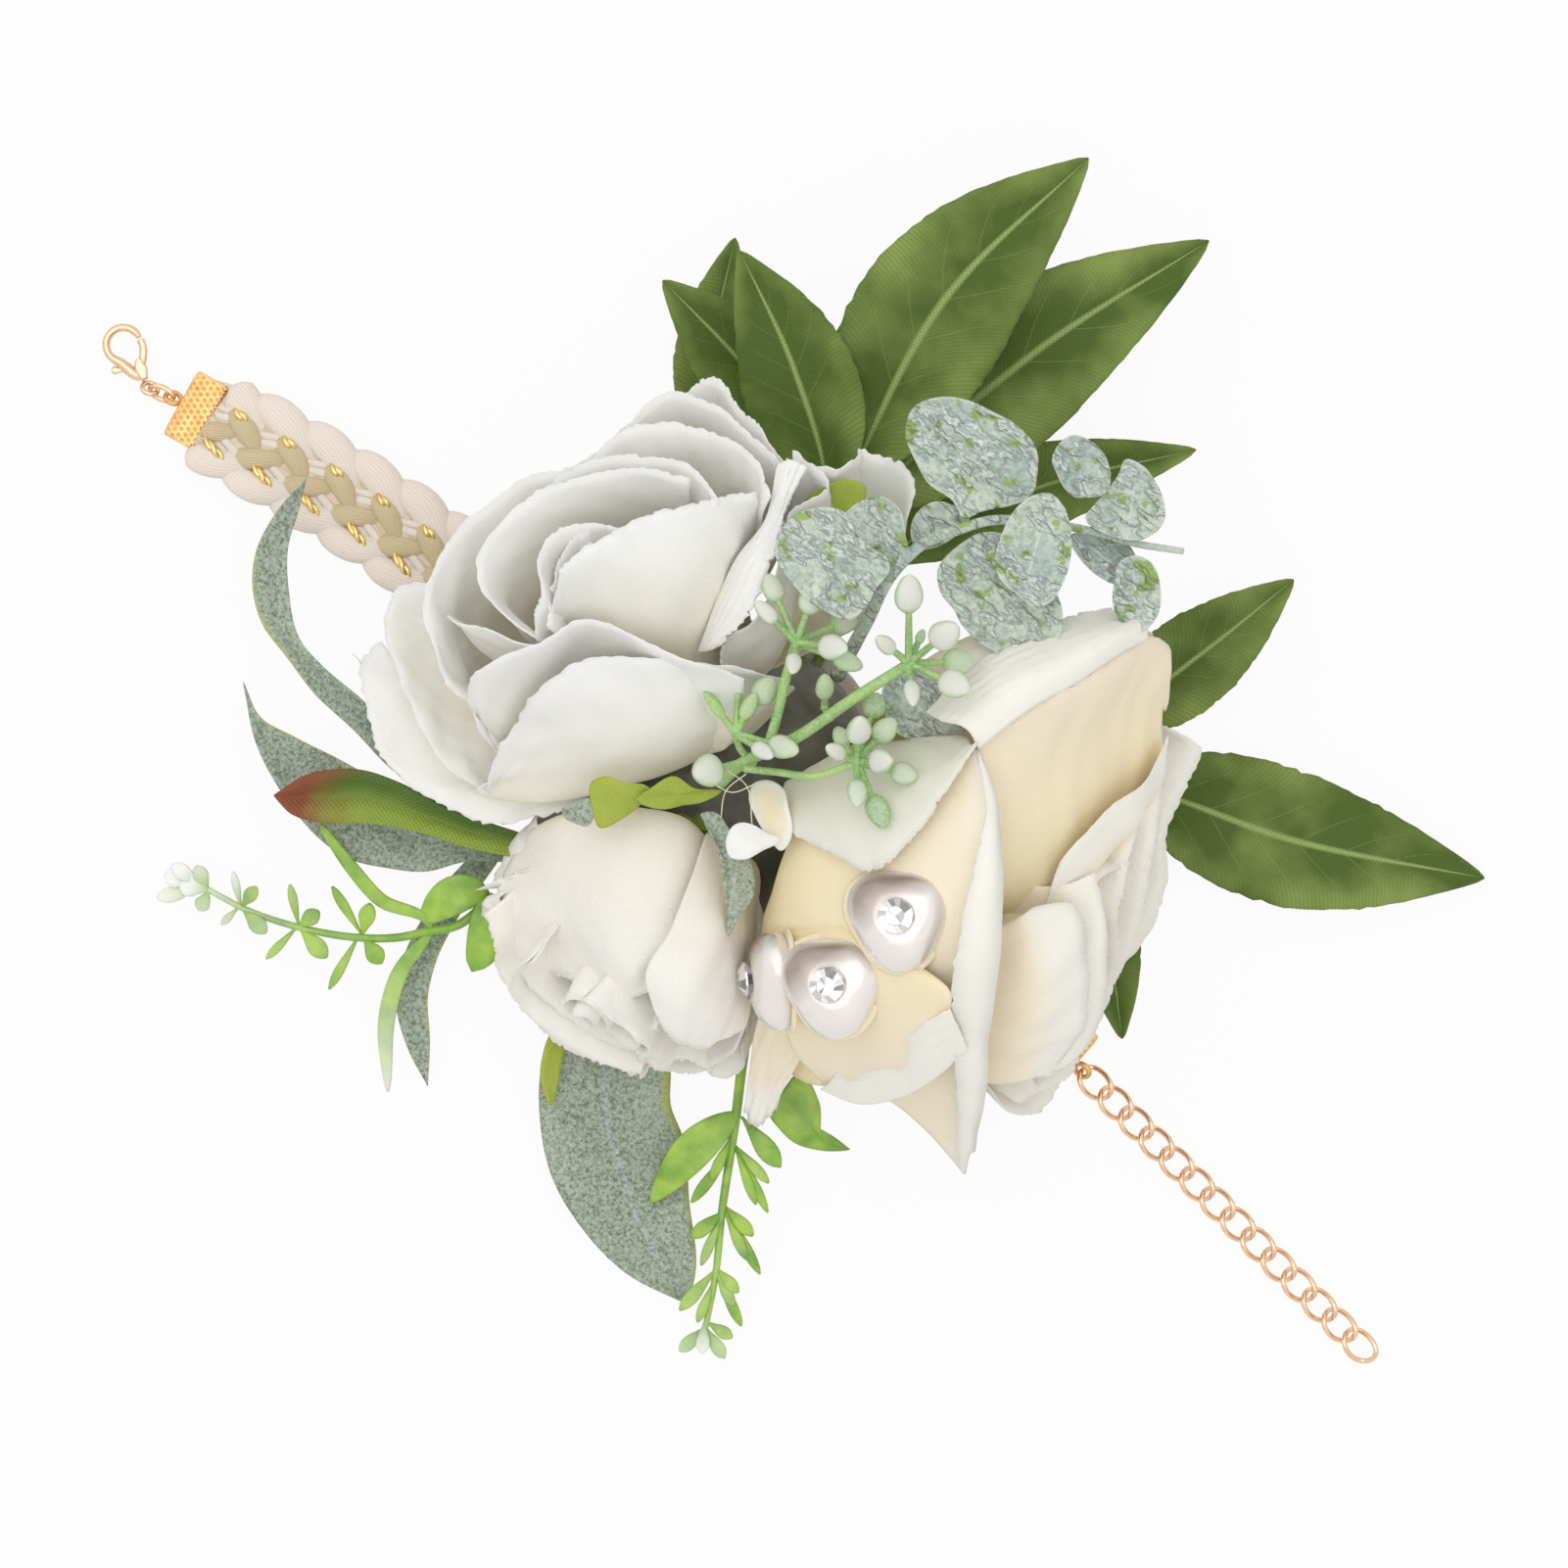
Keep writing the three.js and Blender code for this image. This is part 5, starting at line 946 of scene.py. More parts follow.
creamBud = {"start": 200, "turns": 2.3, "wide": 4.4, "narrow": 1.0, "floor": 6, "top": 30.0, "seed": 41,
            "shift": (1.6, -4.5)}
creamRoll = [sheetPart(budGrid(roses["cream"], creamBud), petalWall)]
putPiece("creamBud", creamRoll, creamCloth, "root", ["cream_rose_heart"])
print("cream rose ready")

ivoryPetals = [
    {"rows": [[(560, 838, 15), (600, 830, 23), (650, 832, 27), (700, 842, 27), (725, 862, 24)],
              [(528, 868, 12), (575, 880, 22), (640, 900, 29.5), (690, 905, 30), (722, 905, 27)],
              [(508, 925, 12), (560, 937, 20), (600, 955, 26), (650, 985, 32), (690, 960, 32.5)],
              [(530, 985, 9), (575, 996, 16), (607, 1010, 20), (640, 1020, 26), (668, 1010, 30)]],
     "fold": 0.2},
    {"rows": [[(722, 850, 25), (738, 862, 24), (752, 868, 22), (768, 880, 18)],
              [(706, 895, 31), (725, 905, 30), (750, 925, 27), (772, 940, 19)],
              [(685, 948, 34), (720, 955, 34), (750, 970, 29), (768, 985, 20)],
              [(660, 1000, 34), (690, 1025, 34.5), (725, 1045, 31), (757, 1050, 23)],
              [(672, 1040, 31), (695, 1064, 29), (722, 1068, 26), (745, 1048, 24)]],
     "fold": 0.15},
    {"rows": [[(548, 838, 14), (520, 870, 11), (506, 897, 9)],
              [(560, 870, 17), (545, 890, 15), (520, 905, 11)],
              [(548, 888, 17), (515, 899, 14), (487, 911, 11)]], "fold": 0.15},
    {"rows": [[(535, 905, 15), (515, 920, 12), (500, 945, 8)],
              [(512, 915, 14), (494, 920, 12), (492, 941, 9), (503, 961, 7)],
              [(516, 922, 15), (518, 938, 13), (531, 951, 11), (512, 964, 8)]], "fold": 0.1},
    {"rows": [[(503, 963, 8), (533, 992, 8), (565, 1032, 8), (579, 1047, 8), (607, 1070, 8), (630, 1087, 8),
               (651, 1097, 8), (659, 1091, 9)]],
     "fray": 0.2, "belly": 1.0},
    {"rows": [[(655, 1080, 14), (672, 1093, 13), (689, 1082, 13), (708, 1086, 12), (723, 1096, 10),
               (741, 1101, 9), (755, 1094, 9), (758, 1070, 12)]],
     "fray": 0.15},
    {"rows": [[(756, 1053, 14), (764, 1019, 15), (758, 996, 17), (764, 979, 18), (773, 930, 18)]],
     "fray": 0.1, "belly": 1.0},
    {"rows": [[(560, 994, 14), (588, 1000, 19), (617, 1028, 22), (651, 1047, 24), (668, 1050, 26)]]},
    {"rows": [[(540, 1015, 10), (580, 1030, 14), (620, 1055, 17), (655, 1075, 19), (675, 1078, 19)]]},
    {"rows": [[(-80, 17, 22), (-40, 14, 27), (0, 12, 29), (35, 15, 27)]], "kind": "local"},
    {"rows": [[(20, 16, 26), (50, 18, 24), (80, 18, 20), (105, 17, 15)]], "kind": "local"},
    {"rows": [[(-110, 9, 26), (-60, 11, 28), (0, 10, 29), (60, 11, 28)]], "kind": "local"},
    {"rows": [[(60, 10, 27), (120, 9, 27), (180, 8, 27), (-120, 9, 26)]], "kind": "local"},
]
ivoryParts = petalParts(roses["ivory"], ivoryPetals,
                        {"kind": "photo", "seed": 300, "floor": 1.2, "foot": 2.0, "curl": 0.3})
putPiece("ivoryPetals", ivoryParts, ivoryCloth, "root", ["ivory_rose_petals"])
ivoryBud = {"start": 20, "turns": 2.0, "wide": 5.0, "narrow": 1.0, "floor": 4, "top": 26.5, "seed": 51}
ivoryRoll = [sheetPart(budGrid(roses["ivory"], ivoryBud), petalWall)]
putPiece("ivoryBud", ivoryRoll, ivoryCloth, "root", ["ivory_rose_heart"])
print("ivory rose ready")


# The green cup of each rose with its stem stub, and pointed sepals that lie along the petals.
calyxes = {
    "white": {"radius": 5.0, "stem": 4, "floor": 1.2, "sepals": (20, 92, 164, 236, 308)},
    "cream": {"radius": 5.0, "stem": 3, "floor": 1.2, "sepals": (30, 102, 200, 246, 318)},
    "ivory": {"radius": 4.0, "stem": 3, "floor": 0.9, "sepals": (0, 72, 144, 216, 288)},
}


def calyxParts(rose, calyx):
    foot, floor = -calyx["stem"], calyx["floor"]
    heights = np.array([foot, foot + 0.3, -0.6, 0.0, 0.5, floor - 0.3, floor - 0.05])
    radii = np.array([0.2, 1.9, 2.0, 2.6, 3.6, 4.6, 3.0]) * calyx["radius"] / 5
    stack = smoothStack(np.stack([radii, heights, radii * 0], axis=-1)[:, None, :], 26)[:, 0]
    path = onRose(rose, 0 * stack[:, 0], 0 * stack[:, 0], stack[:, 1])
    axes = roseAxes(rose)
    parts = [tubePart(path, np.maximum(stack[:, 0], 0.05), sides=28, up=axes[0])]
    for turn in calyx["sepals"]:
        along, over = np.linspace(0, 1, 12)[:, None], np.linspace(-1, 1, 7)[None, :]
        width = calyx["radius"] * 22 * np.sin(math.pi * (0.25 + 0.75 * along)) ** 0.8
        grid = onRose(rose, turn + over * width / (1 + 2 * along),
                      1.2 + calyx["radius"] * (0.9 * along + 0 * over),
                      floor - 1.2 - 0.4 * along + 0 * over)
        parts.append(sheetPart(grid, 0.3))
    return parts


for key, calyx in calyxes.items():
    putPiece(key + "Calyx", calyxParts(roses[key], calyx), paleCloth, "root",
             [key + "_rose_calyx"])
print("calyxes ready")


# Leaves: the rib runs from its root in the glue through the blade's base to its tip.
greenLeafLook = {"rootReach": 15.1, "wall": 0.35, "fold": 0.22, "petiole": 0.65, "wave": 0.4, "point": 0.9,
                 "widest": 0.8}
# heading, height at the root; reach, heading, height at the base and at the tip; bend; width
greenLeaves = [
    (98, 9.5, 41, 102.5, 12.5, 89.7, 95, 20, 4, 19),
    (92, 9.5, 38, 97.5, 10.2, 91, 83.5, 14, 2.7, 18.5),
    (107, 9.5, 38, 105.5, 13.5, 66, 123.5, 19.5, -1.5, 14),
    (113, 8, 42, 109.5, 7, 63.5, 132.2, 12, -1, 12),
    (131, 7.8, 42, 128, 1.4, 69.5, 124.2, 1.4, 1.2, 9),
    (85, 7.8, 34, 90, 4.4, 73.5, 70.6, 2, 2.3, 11),
    (46, 7.8, 48, 44, 3.4, 76.5, 55, 6, -0.5, 11.5),
    (36, 7.8, 50, 35.5, 1, 97.5, 28.2, 1.6, -1.5, 17),
    (26, 7.8, 45, 24, 1.2, 60.2, 2.6, 1, 1.4, 8),
]


# A blade round its rib: half its width is a power of a sine along the rib, its two sides
# fold up from the rib, and its edge waves a little.
def leafParts(leaf, look, seed, sides=22, stations=56):
    root, base, tip = polar(look["rootReach"], *leaf[:2]), polar(*leaf[2:5]), polar(*leaf[5:8])
    bend, width = leaf[8:]
    chord = tip - base
    left = unit(np.array([-chord[1], chord[0], 0]))
    middle = (base + tip) / 2 + left * bend
    rib = smoothRow([root, base, middle, tip], 120)
    start = np.argmin(np.linalg.norm(rib - base, axis=1))
    blade = smoothRow(rib[start:], stations)
    ahead = unit(np.gradient(blade, axis=0))
    across = unit(np.cross([0, 0, 1], ahead))
    s = np.linspace(0, 1, stations)
    half = width / 2 * np.sin(math.pi * s**look["widest"]) ** look["point"] + 0.25
    half[-1] = 0.08
    c = np.linspace(-1, 1, sides + 1)
    wave = look["wave"] * ripple(s[:, None], 0 * c[None, :], seed, 5,
                                 2.2) * c[None, :] ** 2 * np.sign(c)[None, :]
    rise = look["fold"] * np.abs(c)[None, :] ** 1.3 * half[:, None] + wave * (half / half.max())[:, None]
    jag = 1 + 0.012 * np.random.default_rng(seed).normal(0, 1, (stations, 1)) * np.abs(c)[None, :] ** 6
    grid = blade[:, None] + across[:, None] * (half[:, None] * c[None, :] * jag)[..., None]
    grid[..., 2] += rise
    grid[..., 2] = np.maximum(grid[..., 2], 0.3)
    petiole = smoothRow(rib[:start + 6], 24)
    return [sheetPart(grid, look["wall"]), tubePart(petiole, look["petiole"], sides=8)]


for i, leaf in enumerate(greenLeaves):
    parts = leafParts(leaf, greenLeafLook, 400 + i)
    putPiece("greenLeaf" + str(i + 1), parts, greenCloth, "root",
             ["green_leaf_" + str(i + 1)])

# The frosted and olive leaves, each by its two edges from tip to base: photo pixel, height.
edgeLeaves = {
    "tall": ([(313, 488, 13), (306, 517, 13), (294, 560, 12.5), (295, 602, 12), (308, 656, 11.5),
              (330, 681, 11), (369, 714, 10), (400, 745, 9), (425, 775, 8.5), (445, 805, 8)],
             [(313, 488, 13), (281, 525, 13), (261, 566, 12.5), (258, 593, 12), (267, 634, 11.5),
              (295, 673, 11), (322, 709, 10), (363, 747, 9), (394, 780, 8.5), (432, 812, 8)]),
    "broad": ([(248, 695, 8), (262, 760, 8), (292, 815, 7.5), (325, 855, 7), (354, 876, 6.5), (394, 886, 6),
               (435, 890, 6), (475, 880, 6), (520, 880, 6)],
              [(248, 695, 8), (267, 733, 8), (300, 752, 8), (340, 772, 7.5), (385, 795, 7.5), (432, 812, 7),
               (470, 830, 7), (495, 848, 6.5), (525, 870, 6)]),
    "low": ([(437, 1110, 1), (413, 1062, 1.5), (404, 1018, 2), (412, 978, 2.5), (436, 930, 3),
             (475, 880, 4), (500, 860, 5)],
            [(437, 1110, 1), (439, 1062, 1.5), (437, 1018, 2), (446, 980, 2.5), (466, 940, 3),
             (500, 892, 4), (515, 870, 5)]),
    "frosted": ([(702, 1332, 1), (637, 1299, 1), (588, 1245, 1.2), (564, 1202, 1.5), (551, 1141, 2),
                 (552, 1093, 2.2), (568, 1040, 2.6), (600, 980, 4)],
                [(702, 1332, 1), (710, 1300, 1), (704, 1226, 1.2), (697, 1161, 1.5), (685, 1129, 2),
                 (685, 1095, 2.2), (680, 1040, 2.6), (650, 980, 4)]),
    "strip": ([(560, 1128, 4), (552, 1100, 4.3), (556, 1070, 4.6), (570, 1040, 5)],
              [(565, 1128, 3.6), (571, 1100, 3.6), (577, 1070, 3.8), (584, 1040, 4)]),
    "olive": ([(279, 812, 15), (314, 791, 15), (368, 786, 14.5), (408, 799, 14), (445, 818, 13),
               (488, 836, 12), (530, 850, 11)],
              [(279, 812, 15), (298, 831, 15), (327, 840, 14.5), (381, 841, 14), (435, 852, 13),
               (475, 865, 12), (525, 875, 11)]),
}


def edged(key, **look):
    left, right = edgeLeaves[key]
    return edgeLeaf(photoRow(left), photoRow(right), **look)


sprayParts = [edged("tall", fold=0.9, seed=431), edged("broad", fold=0.7, seed=432),
              edged("low", fold=0.5, seed=433)]
putPiece("frostedSpray", sprayParts, frostedCloth, "root", ["frosted_spray"])
lowLeaf = [edged("frosted", fold=0.5, wave=0.5, cols=22, seed=440)]
putPiece("frostedLeaf", lowLeaf, frostedCloth, "root", ["frosted_leaf"])
putPiece("paleStrip", [edged("strip", fold=0.3, cols=6, seed=441)], paleCloth, "root")
putPiece("oliveLeaf", [edged("olive", fold=1.6, seed=450)], oliveCloth, "root",
         ["olive_leaf"])
print("leaves ready")


# A small blade along a path, widest where its share says and a little cupped. tint is one
# value or one for each row.
def bladeAlong(path, width, widest=1.0, point=0.7, rows=12, cols=7, cup=0.25, tint=0.0, wall=0.5):
    path = smoothRow(path, rows)
    s, c = np.linspace(0, 1, rows), np.linspace(-1, 1, cols)
    ahead = unit(np.gradient(path, axis=0))
    across = unit(np.cross([0, 0, 1], ahead))
    half = width / 2 * np.sin(math.pi * s**widest) ** point + 0.12
    grid = path[:, None] + across[:, None] * (half[:, None] * c[None, :])[..., None]
    grid[..., 2] += cup * half[:, None] * c[None, :] ** 2
    return sheetPart(grid, wall, np.asarray(tint, float).reshape(-1, 1))


# Leaflets: where each starts and ends in the photo, its width in pixels, its height above
# the stem's at the end, and how white it is.
leftLeaflets = [
    ((246, 926), (238, 890), 6, 1.0, 0.7), ((247, 926), (262, 905), 12, 1.2, 0.1),
    ((243, 927), (226, 944), 6, -0.5, 0.6), ((248, 929), (272, 953), 15, 0.6, 0.25),
    ((305, 945), (296, 903), 7, 1.2, 0.1), ((305, 946), (326, 930), 15, 1.2, 0.05),
    ((303, 947), (272, 979), 7, -0.6, 0.1), ((306, 948), (334, 978), 17, 0.6, 0.05),
    ((370, 955), (339, 905), 8, 1.2, 0.0), ((370, 955), (378, 922), 15, 1.4, 0.0),
    ((366, 956), (336, 1010), 8, -0.8, 0.05), ((371, 957), (390, 984), 17, 0.6, 0.0),
    ((213, 908), (200, 884), 14, 1.0, 0.5), ((214, 909), (203, 930), 14, -0.3, 0.5),
    ((215, 910), (183, 900), 22, 0.8, 1.0), ((205, 905), (176, 882), 14, 1.2, 1.0),
    ((205, 906), (160, 917), 14, 0.2, 0.8), ((200, 900), (168, 893), 20, 0.5, 1.0),
]
bottomLeaflets = [
    ((757, 1140), (797, 1192), 19, 0.8, 0.0), ((751, 1172), (772, 1230), 8, 0.5, 0.0),
    ((751, 1170), (785, 1208), 9, 1.0, 0.05),
    ((752, 1172), (784, 1238), 8, 0.2, 0.0), ((749, 1172), (706, 1228), 10, 0.2, 0.0),
    ((747, 1160), (726, 1205), 9, 0.6, 0.0),
    ((740, 1236), (706, 1264), 13, 0.4, 0.0), ((740, 1236), (762, 1286), 9, 0.6, 0.05),
    ((740, 1234), (776, 1301), 9, 0.2, 0.0),
    ((741, 1232), (769, 1262), 12, 0.9, 0.0), ((738, 1238), (716, 1292), 8, 0.2, 0.1),
    ((731, 1296), (694, 1338), 12, 0.5, 0.1),
    ((731, 1296), (749, 1334), 10, 0.7, 0.1), ((731, 1297), (757, 1354), 9, 0.3, 0.0),
    ((732, 1295), (754, 1320), 11, 0.9, 0.05),
    ((728, 1310), (712, 1350), 8, 0.4, 0.1), ((720, 1355), (694, 1380), 12, 0.5, 0.3),
    ((720, 1355), (740, 1387), 12, 0.5, 0.3),
    ((719, 1350), (717, 1382), 12, 0.8, 0.8), ((722, 1350), (748, 1366), 11, 0.6, 0.1),
]


# A sprig: a tapering stem that whitens to its end, and a blade for each leaflet.
def sprigParts(stemRow, thick, leaflets, stemWhite):
    stem = smoothRow(photoRow(stemRow), 70)
    white = np.repeat(np.linspace(0, 1, 70) ** 4 * stemWhite, 10)
    parts = [tubePart(stem, np.linspace(thick[0], thick[1], 70), sides=10,
                      tint=np.append(white, [0, stemWhite]))]
    for start, end, width, lift, white in leaflets:
        low = min(stemRow, key=lambda point: math.dist(point[:2], start))[2]
        between = ((start[0] + end[0]) / 2, (start[1] + end[1]) / 2, low + max(lift, 0) * 0.8 + 0.3)
        path = photoRow([(*start, low), between, (*end, max(low + lift, 0.7))])
        reach = np.linspace(0, 1, 12)
        parts.append(bladeAlong(path, width / photo["scale"], 1.7, 0.8,
                                tint=np.clip(white * (0.3 + reach), 0, 1)))
    return parts


leftStem = [(505, 915, 8), (464, 946, 7.5), (437, 951, 7), (408, 957, 6.6), (362, 957, 6), (306, 947, 5.4),
            (252, 929, 4.8), (205, 904, 4.5)]
bottomStem = [(768, 1000, 8), (764, 1040, 7), (757, 1093, 5.5), (752, 1135, 4.8), (744, 1190, 4),
              (737, 1238, 3.4), (731, 1299, 2.7), (719, 1362, 2.2)]
leftParts = sprigParts(leftStem, (0.62, 0.38), leftLeaflets, 0.6)
# Two broad blades near the flowers and two long ones, each by its row, width and form.
fading = np.linspace(0, 1, 30) ** 2 * 0.8
leftBlades = [
    ([(500, 912, 8), (470, 912, 9), (430, 940, 7.5)], 4.6, 0.9, 0.6, {"cols": 9}),
    ([(497, 915, 9), (499, 950, 10), (482, 992, 8)], 4.8, 0.9, 0.6, {"cols": 9}),
    ([(442, 950, 7), (437, 941, 7.5), (389, 919, 8.5), (360, 887, 9), (327, 842, 9)], 1.5, 1.0, 0.5,
     {"rows": 30}),
    ([(442, 950, 7), (408, 994, 6), (396, 1034, 5), (396, 1115, 3)], 1.9, 0.9, 0.6,
     {"rows": 30, "tint": fading}),
]
for row, width, widest, point, more in leftBlades:
    leftParts.append(bladeAlong(photoRow(row), width, widest, point, **more))
putPiece("greenSprigLeft", leftParts, sprigPlastic, "root", ["green_sprig_left"])

bottomParts = sprigParts(bottomStem, (0.75, 0.4), bottomLeaflets, 0.2)
bottomParts.append(bladeAlong(photoRow([(753, 1136, 5), (712, 1170, 5.5), (664, 1228, 3)]), 4.6, 0.85, 0.8,
                              rows=24, cols=11))
foldedLeaf = [(786, 1140, 6), (798, 1115, 6.5), (816, 1093, 7), (836, 1124, 6), (843, 1168, 5),
              (868, 1173, 4), (840, 1176, 4.5), (814, 1168, 5), (797, 1154, 5.5)]
bottomParts.append(discPart(closedRow(photoRow(foldedLeaf), 60), 0.4, 10, lambda u, v,
                            s: 0.5 * np.sin(u * 0.9 + 1)))
putPiece("greenSprigBottom", bottomParts, sprigPlastic, "root", ["green_sprig_bottom"])
print("sprigs ready")


# Eucalyptus: a stem and embossed round leaves, each by its outline in the photo, the ends of
# its midrib, and its height at both ends.
eucalyptusLeaves = [
    ([(924, 438), (932, 416), (958, 405), (987, 408), (1013, 420), (1039, 435), (1058, 459), (1059, 483),
      (1052, 507), (1030, 516), (1000, 522), (983, 529), (972, 511), (948, 494), (935, 472)],
     (990, 530), (940, 415), 39.5, 41.5),
    ([(957, 585), (961, 607), (974, 624), (982, 639), (1002, 659), (1021, 670), (1037, 683), (1060, 674),
      (1082, 652), (1085, 628), (1062, 580), (1030, 548), (1000, 545), (982, 555)],
     (985, 540), (1050, 675), 39.8, 42.0),
    ([(1015, 576), (1021, 550), (1039, 518), (1052, 508), (1073, 505), (1086, 518), (1092, 537),
      (1092, 572), (1084, 598), (1069, 618), (1056, 621), (1039, 609), (1021, 592)],
     (1070, 515), (1045, 605), 44.0, 45.5),
    ([(1073, 470), (1082, 451), (1095, 444), (1110, 448), (1128, 466), (1133, 485), (1128, 503),
      (1108, 508), (1095, 507), (1086, 498), (1078, 483)],
     (1115, 515), (1090, 450), 38.0, 39.0),
    ([(1108, 529), (1128, 503), (1141, 485), (1149, 468), (1167, 475), (1180, 492), (1188, 511),
      (1188, 533), (1167, 550), (1140, 548)],
     (1150, 555), (1160, 480), 37.0, 38.5),
    ([(1138, 592), (1141, 576), (1156, 568), (1175, 576), (1184, 598), (1182, 628), (1169, 644),
      (1158, 648), (1143, 635), (1136, 618)],
     (1155, 560), (1162, 645), 36.0, 36.5),
    ([(1090, 548), (1102, 570), (1120, 588), (1140, 597), (1160, 590), (1155, 560), (1125, 545)],
     (1100, 545), (1150, 590), 35.0, 34.0),
    ([(791, 566), (794, 545), (806, 530), (826, 520), (850, 519), (866, 527), (872, 545), (890, 560),
      (906, 572), (908, 582), (895, 600), (882, 622), (868, 633), (848, 628), (826, 615), (805, 592)],
     (912, 575), (800, 560), 46.0, 47.5),
    ([(862, 530), (880, 512), (900, 508), (918, 520), (925, 548), (928, 572), (912, 580), (892, 565),
      (874, 548)], (920, 575), (890, 515), 44.5, 43.5),
    ([(937, 561), (930, 540), (938, 522), (955, 513), (972, 516), (990, 530), (975, 548), (955, 560)],
     (985, 540), (940, 520), 38.5, 38.0),
    ([(900, 700), (915, 680), (945, 690), (975, 715), (984, 740), (975, 757), (945, 758), (915, 748)],
     (900, 690), (970, 750), 40.0, 38.0),
]


# A round leaf: its height runs evenly from foot to end, and its relief is embossed.
def roundLeaf(outline, foot, end, footHeight, endHeight, seed):
    outline, foot, end = (np.asarray(value, float) for value in (outline, foot, end))
    way = end - foot
    share = np.clip((outline - foot) @ way / (way @ way), 0, 1)
    height = footHeight + (endHeight - footHeight) * share
    rim = closedRow(fromPhoto(outline[:, 0], outline[:, 1], height), 84)
    rib = photoRow([(*foot, footHeight), (*end, endHeight)])

    def relief(u, v, s):
        emboss = ripple(u / 14, v / 14, seed, 11, 5.0) * 0.22 * np.minimum(1, 3 - 3 * s + 0.3)
        return emboss + 0.5 * s**2 * np.sin(np.arctan2(v, u) * 2 + seed) + 0.9 * s**3

    return discPart(rim, 0.5, 22, relief, rib)


stemPath = photoRow([(855, 690, 24), (885, 635, 38), (915, 581, 45), (943, 555, 43), (978, 541, 41.5),
                     (1008, 532, 41), (1050, 532, 40), (1093, 538, 38.5), (1128, 546, 37), (1151, 553, 36),
                     (1208, 563, 34)])
flockParts = [tubePart(smoothRow(stemPath, 60), np.linspace(0.95, 0.4, 60), sides=10)]
flockParts += [roundLeaf(*leaf, 500 + i) for i, leaf in enumerate(eucalyptusLeaves)]
putPiece("eucalyptusSprig", flockParts, flock, "root", ["eucalyptus_sprig"])
print("eucalyptus ready")


# Berries: stems with hubs, and from each hub thin twigs with flattened ovals.
berryStems = [
    ([(735, 800, 34), (754, 782, 38), (815, 752, 44), (872, 713, 47), (928, 678, 49)], 0.85, 0.75),
    ([(785, 760, 42), (795, 725, 43), (802, 694, 44.5), (813, 656, 46)], 0.7, 0.65),
    ([(760, 785, 40), (790, 788, 42), (834, 792, 44), (875, 778, 46)], 0.5, 0.55),
    ([(770, 780, 38), (756, 765, 40), (750, 748, 42)], 0.5, 0.45),
    ([(842, 725, 42), (848, 735, 43), (852, 730, 44)], 0.35, 0.3),
]
# A hub's photo pixel and height; its berries: pixel, height, length, width, white share.
berryHubs = [
    ((928, 677, 49), [(928, 606, 52, 38, 29, 1), (965, 648, 53, 36, 30, 1), (975, 699, 53, 36, 29, 1),
                      (979, 676, 47, 32, 27, 0.5), (904, 658, 52, 29, 17, 0.95),
                      (931, 708, 52, 32, 17, 0.95),
                      (940, 650, 48, 16, 10, 0.3)]),
    ((813, 656, 46), [(789, 600, 45, 29, 22, 0.7), (782, 625, 47, 29, 17, 0.9),
                      (829, 611, 47, 32, 25, 0.75), (851, 661, 50, 36, 26, 1), (866, 676, 46, 30, 20, 0.45),
                      (810, 678, 49, 29, 17, 0.95),
                      (862, 634, 42, 30, 26, 0.6)]),
    ((875, 778, 46), [(877, 745, 50, 36, 26, 1), (900, 777, 50, 34, 25, 1), (904, 745, 46, 28, 24, 0.5),
                      (853, 767, 49, 29, 17, 0.95), (859, 752, 45, 22, 18, 0.4),
                      (923, 790, 46, 26, 23, 0.6),
                      (893, 720, 44, 26, 24, 0.3), (875, 810, 48, 30, 20, 0.7),
                      (897, 829, 46, 34, 24, 0.25)]),
    ((751, 749, 42), [(729, 719, 42, 32, 13, 0.0), (765, 721, 43, 29, 16, 0.25), (754, 709, 42, 22, 7, 0.0),
                      (781, 705, 42, 30, 26, 0.45), (779, 767, 45, 29, 17, 0.9),
                      (800, 763, 45, 34, 24, 0.6)]),
    ((842, 725, 42), [(842, 701, 44, 30, 19, 0.4)]),
    ((760, 778, 39), [(722, 787, 42, 34, 34, 0.75)]),
]


# A flattened oval with a small point, at the end of its twig. Its faces are white, its rim
# is not.
def berryParts(hub, berry):
    px, py, height, length, width, white = berry
    hub, middle = photoRow([hub])[0], fromPhoto(px, py, height)
    way = unit(middle - hub)
    length, width = length / photo["scale"], width / photo["scale"]
    start, end = middle - way * length / 2, middle + way * length / 2
    s = np.linspace(0, 1, 18)
    profile = np.sin(math.pi * np.clip(s, 0.02, 1) ** 0.85) ** 0.5 * (1 - 0.1 * s)
    path = start + (end - start) * s[:, None]
    sides = 16
    facing = np.abs(np.sin(np.arange(sides) * full / sides))[None, :]
    tint = white * np.clip(facing * 1.7 - 0.25, 0, 1) * np.clip(s[:, None] * 5, 0, 1) + 0.15 * white
    wide = np.maximum(width / 2 * profile, 0.05)
    tint = np.append(np.clip(tint, 0, 1).ravel(), [0.2 * white, white])
    oval = tubePart(path, wide, wide * 0.62, sides, (0.1, 0.1, 1), tint=tint)
    bend = (hub + start) / 2 - np.array([0, 0, 0.5])
    twig = tubePart(smoothRow([hub, bend, start + way * 0.3], 12), np.linspace(0.5, 0.38, 12), sides=8)
    return [twig, oval]


sprig = []
for row, first, last in berryStems:
    sprig.append(tubePart(smoothRow(photoRow(row), 40), 0.88 * np.linspace(first, last, 40), sides=10))
sprig += [part for hub, berries in berryHubs for berry in berries for part in berryParts(hub, berry)]
putPiece("berrySprig", sprig, berryPlastic, "root", ["berry_sprig"])
print("berries ready")


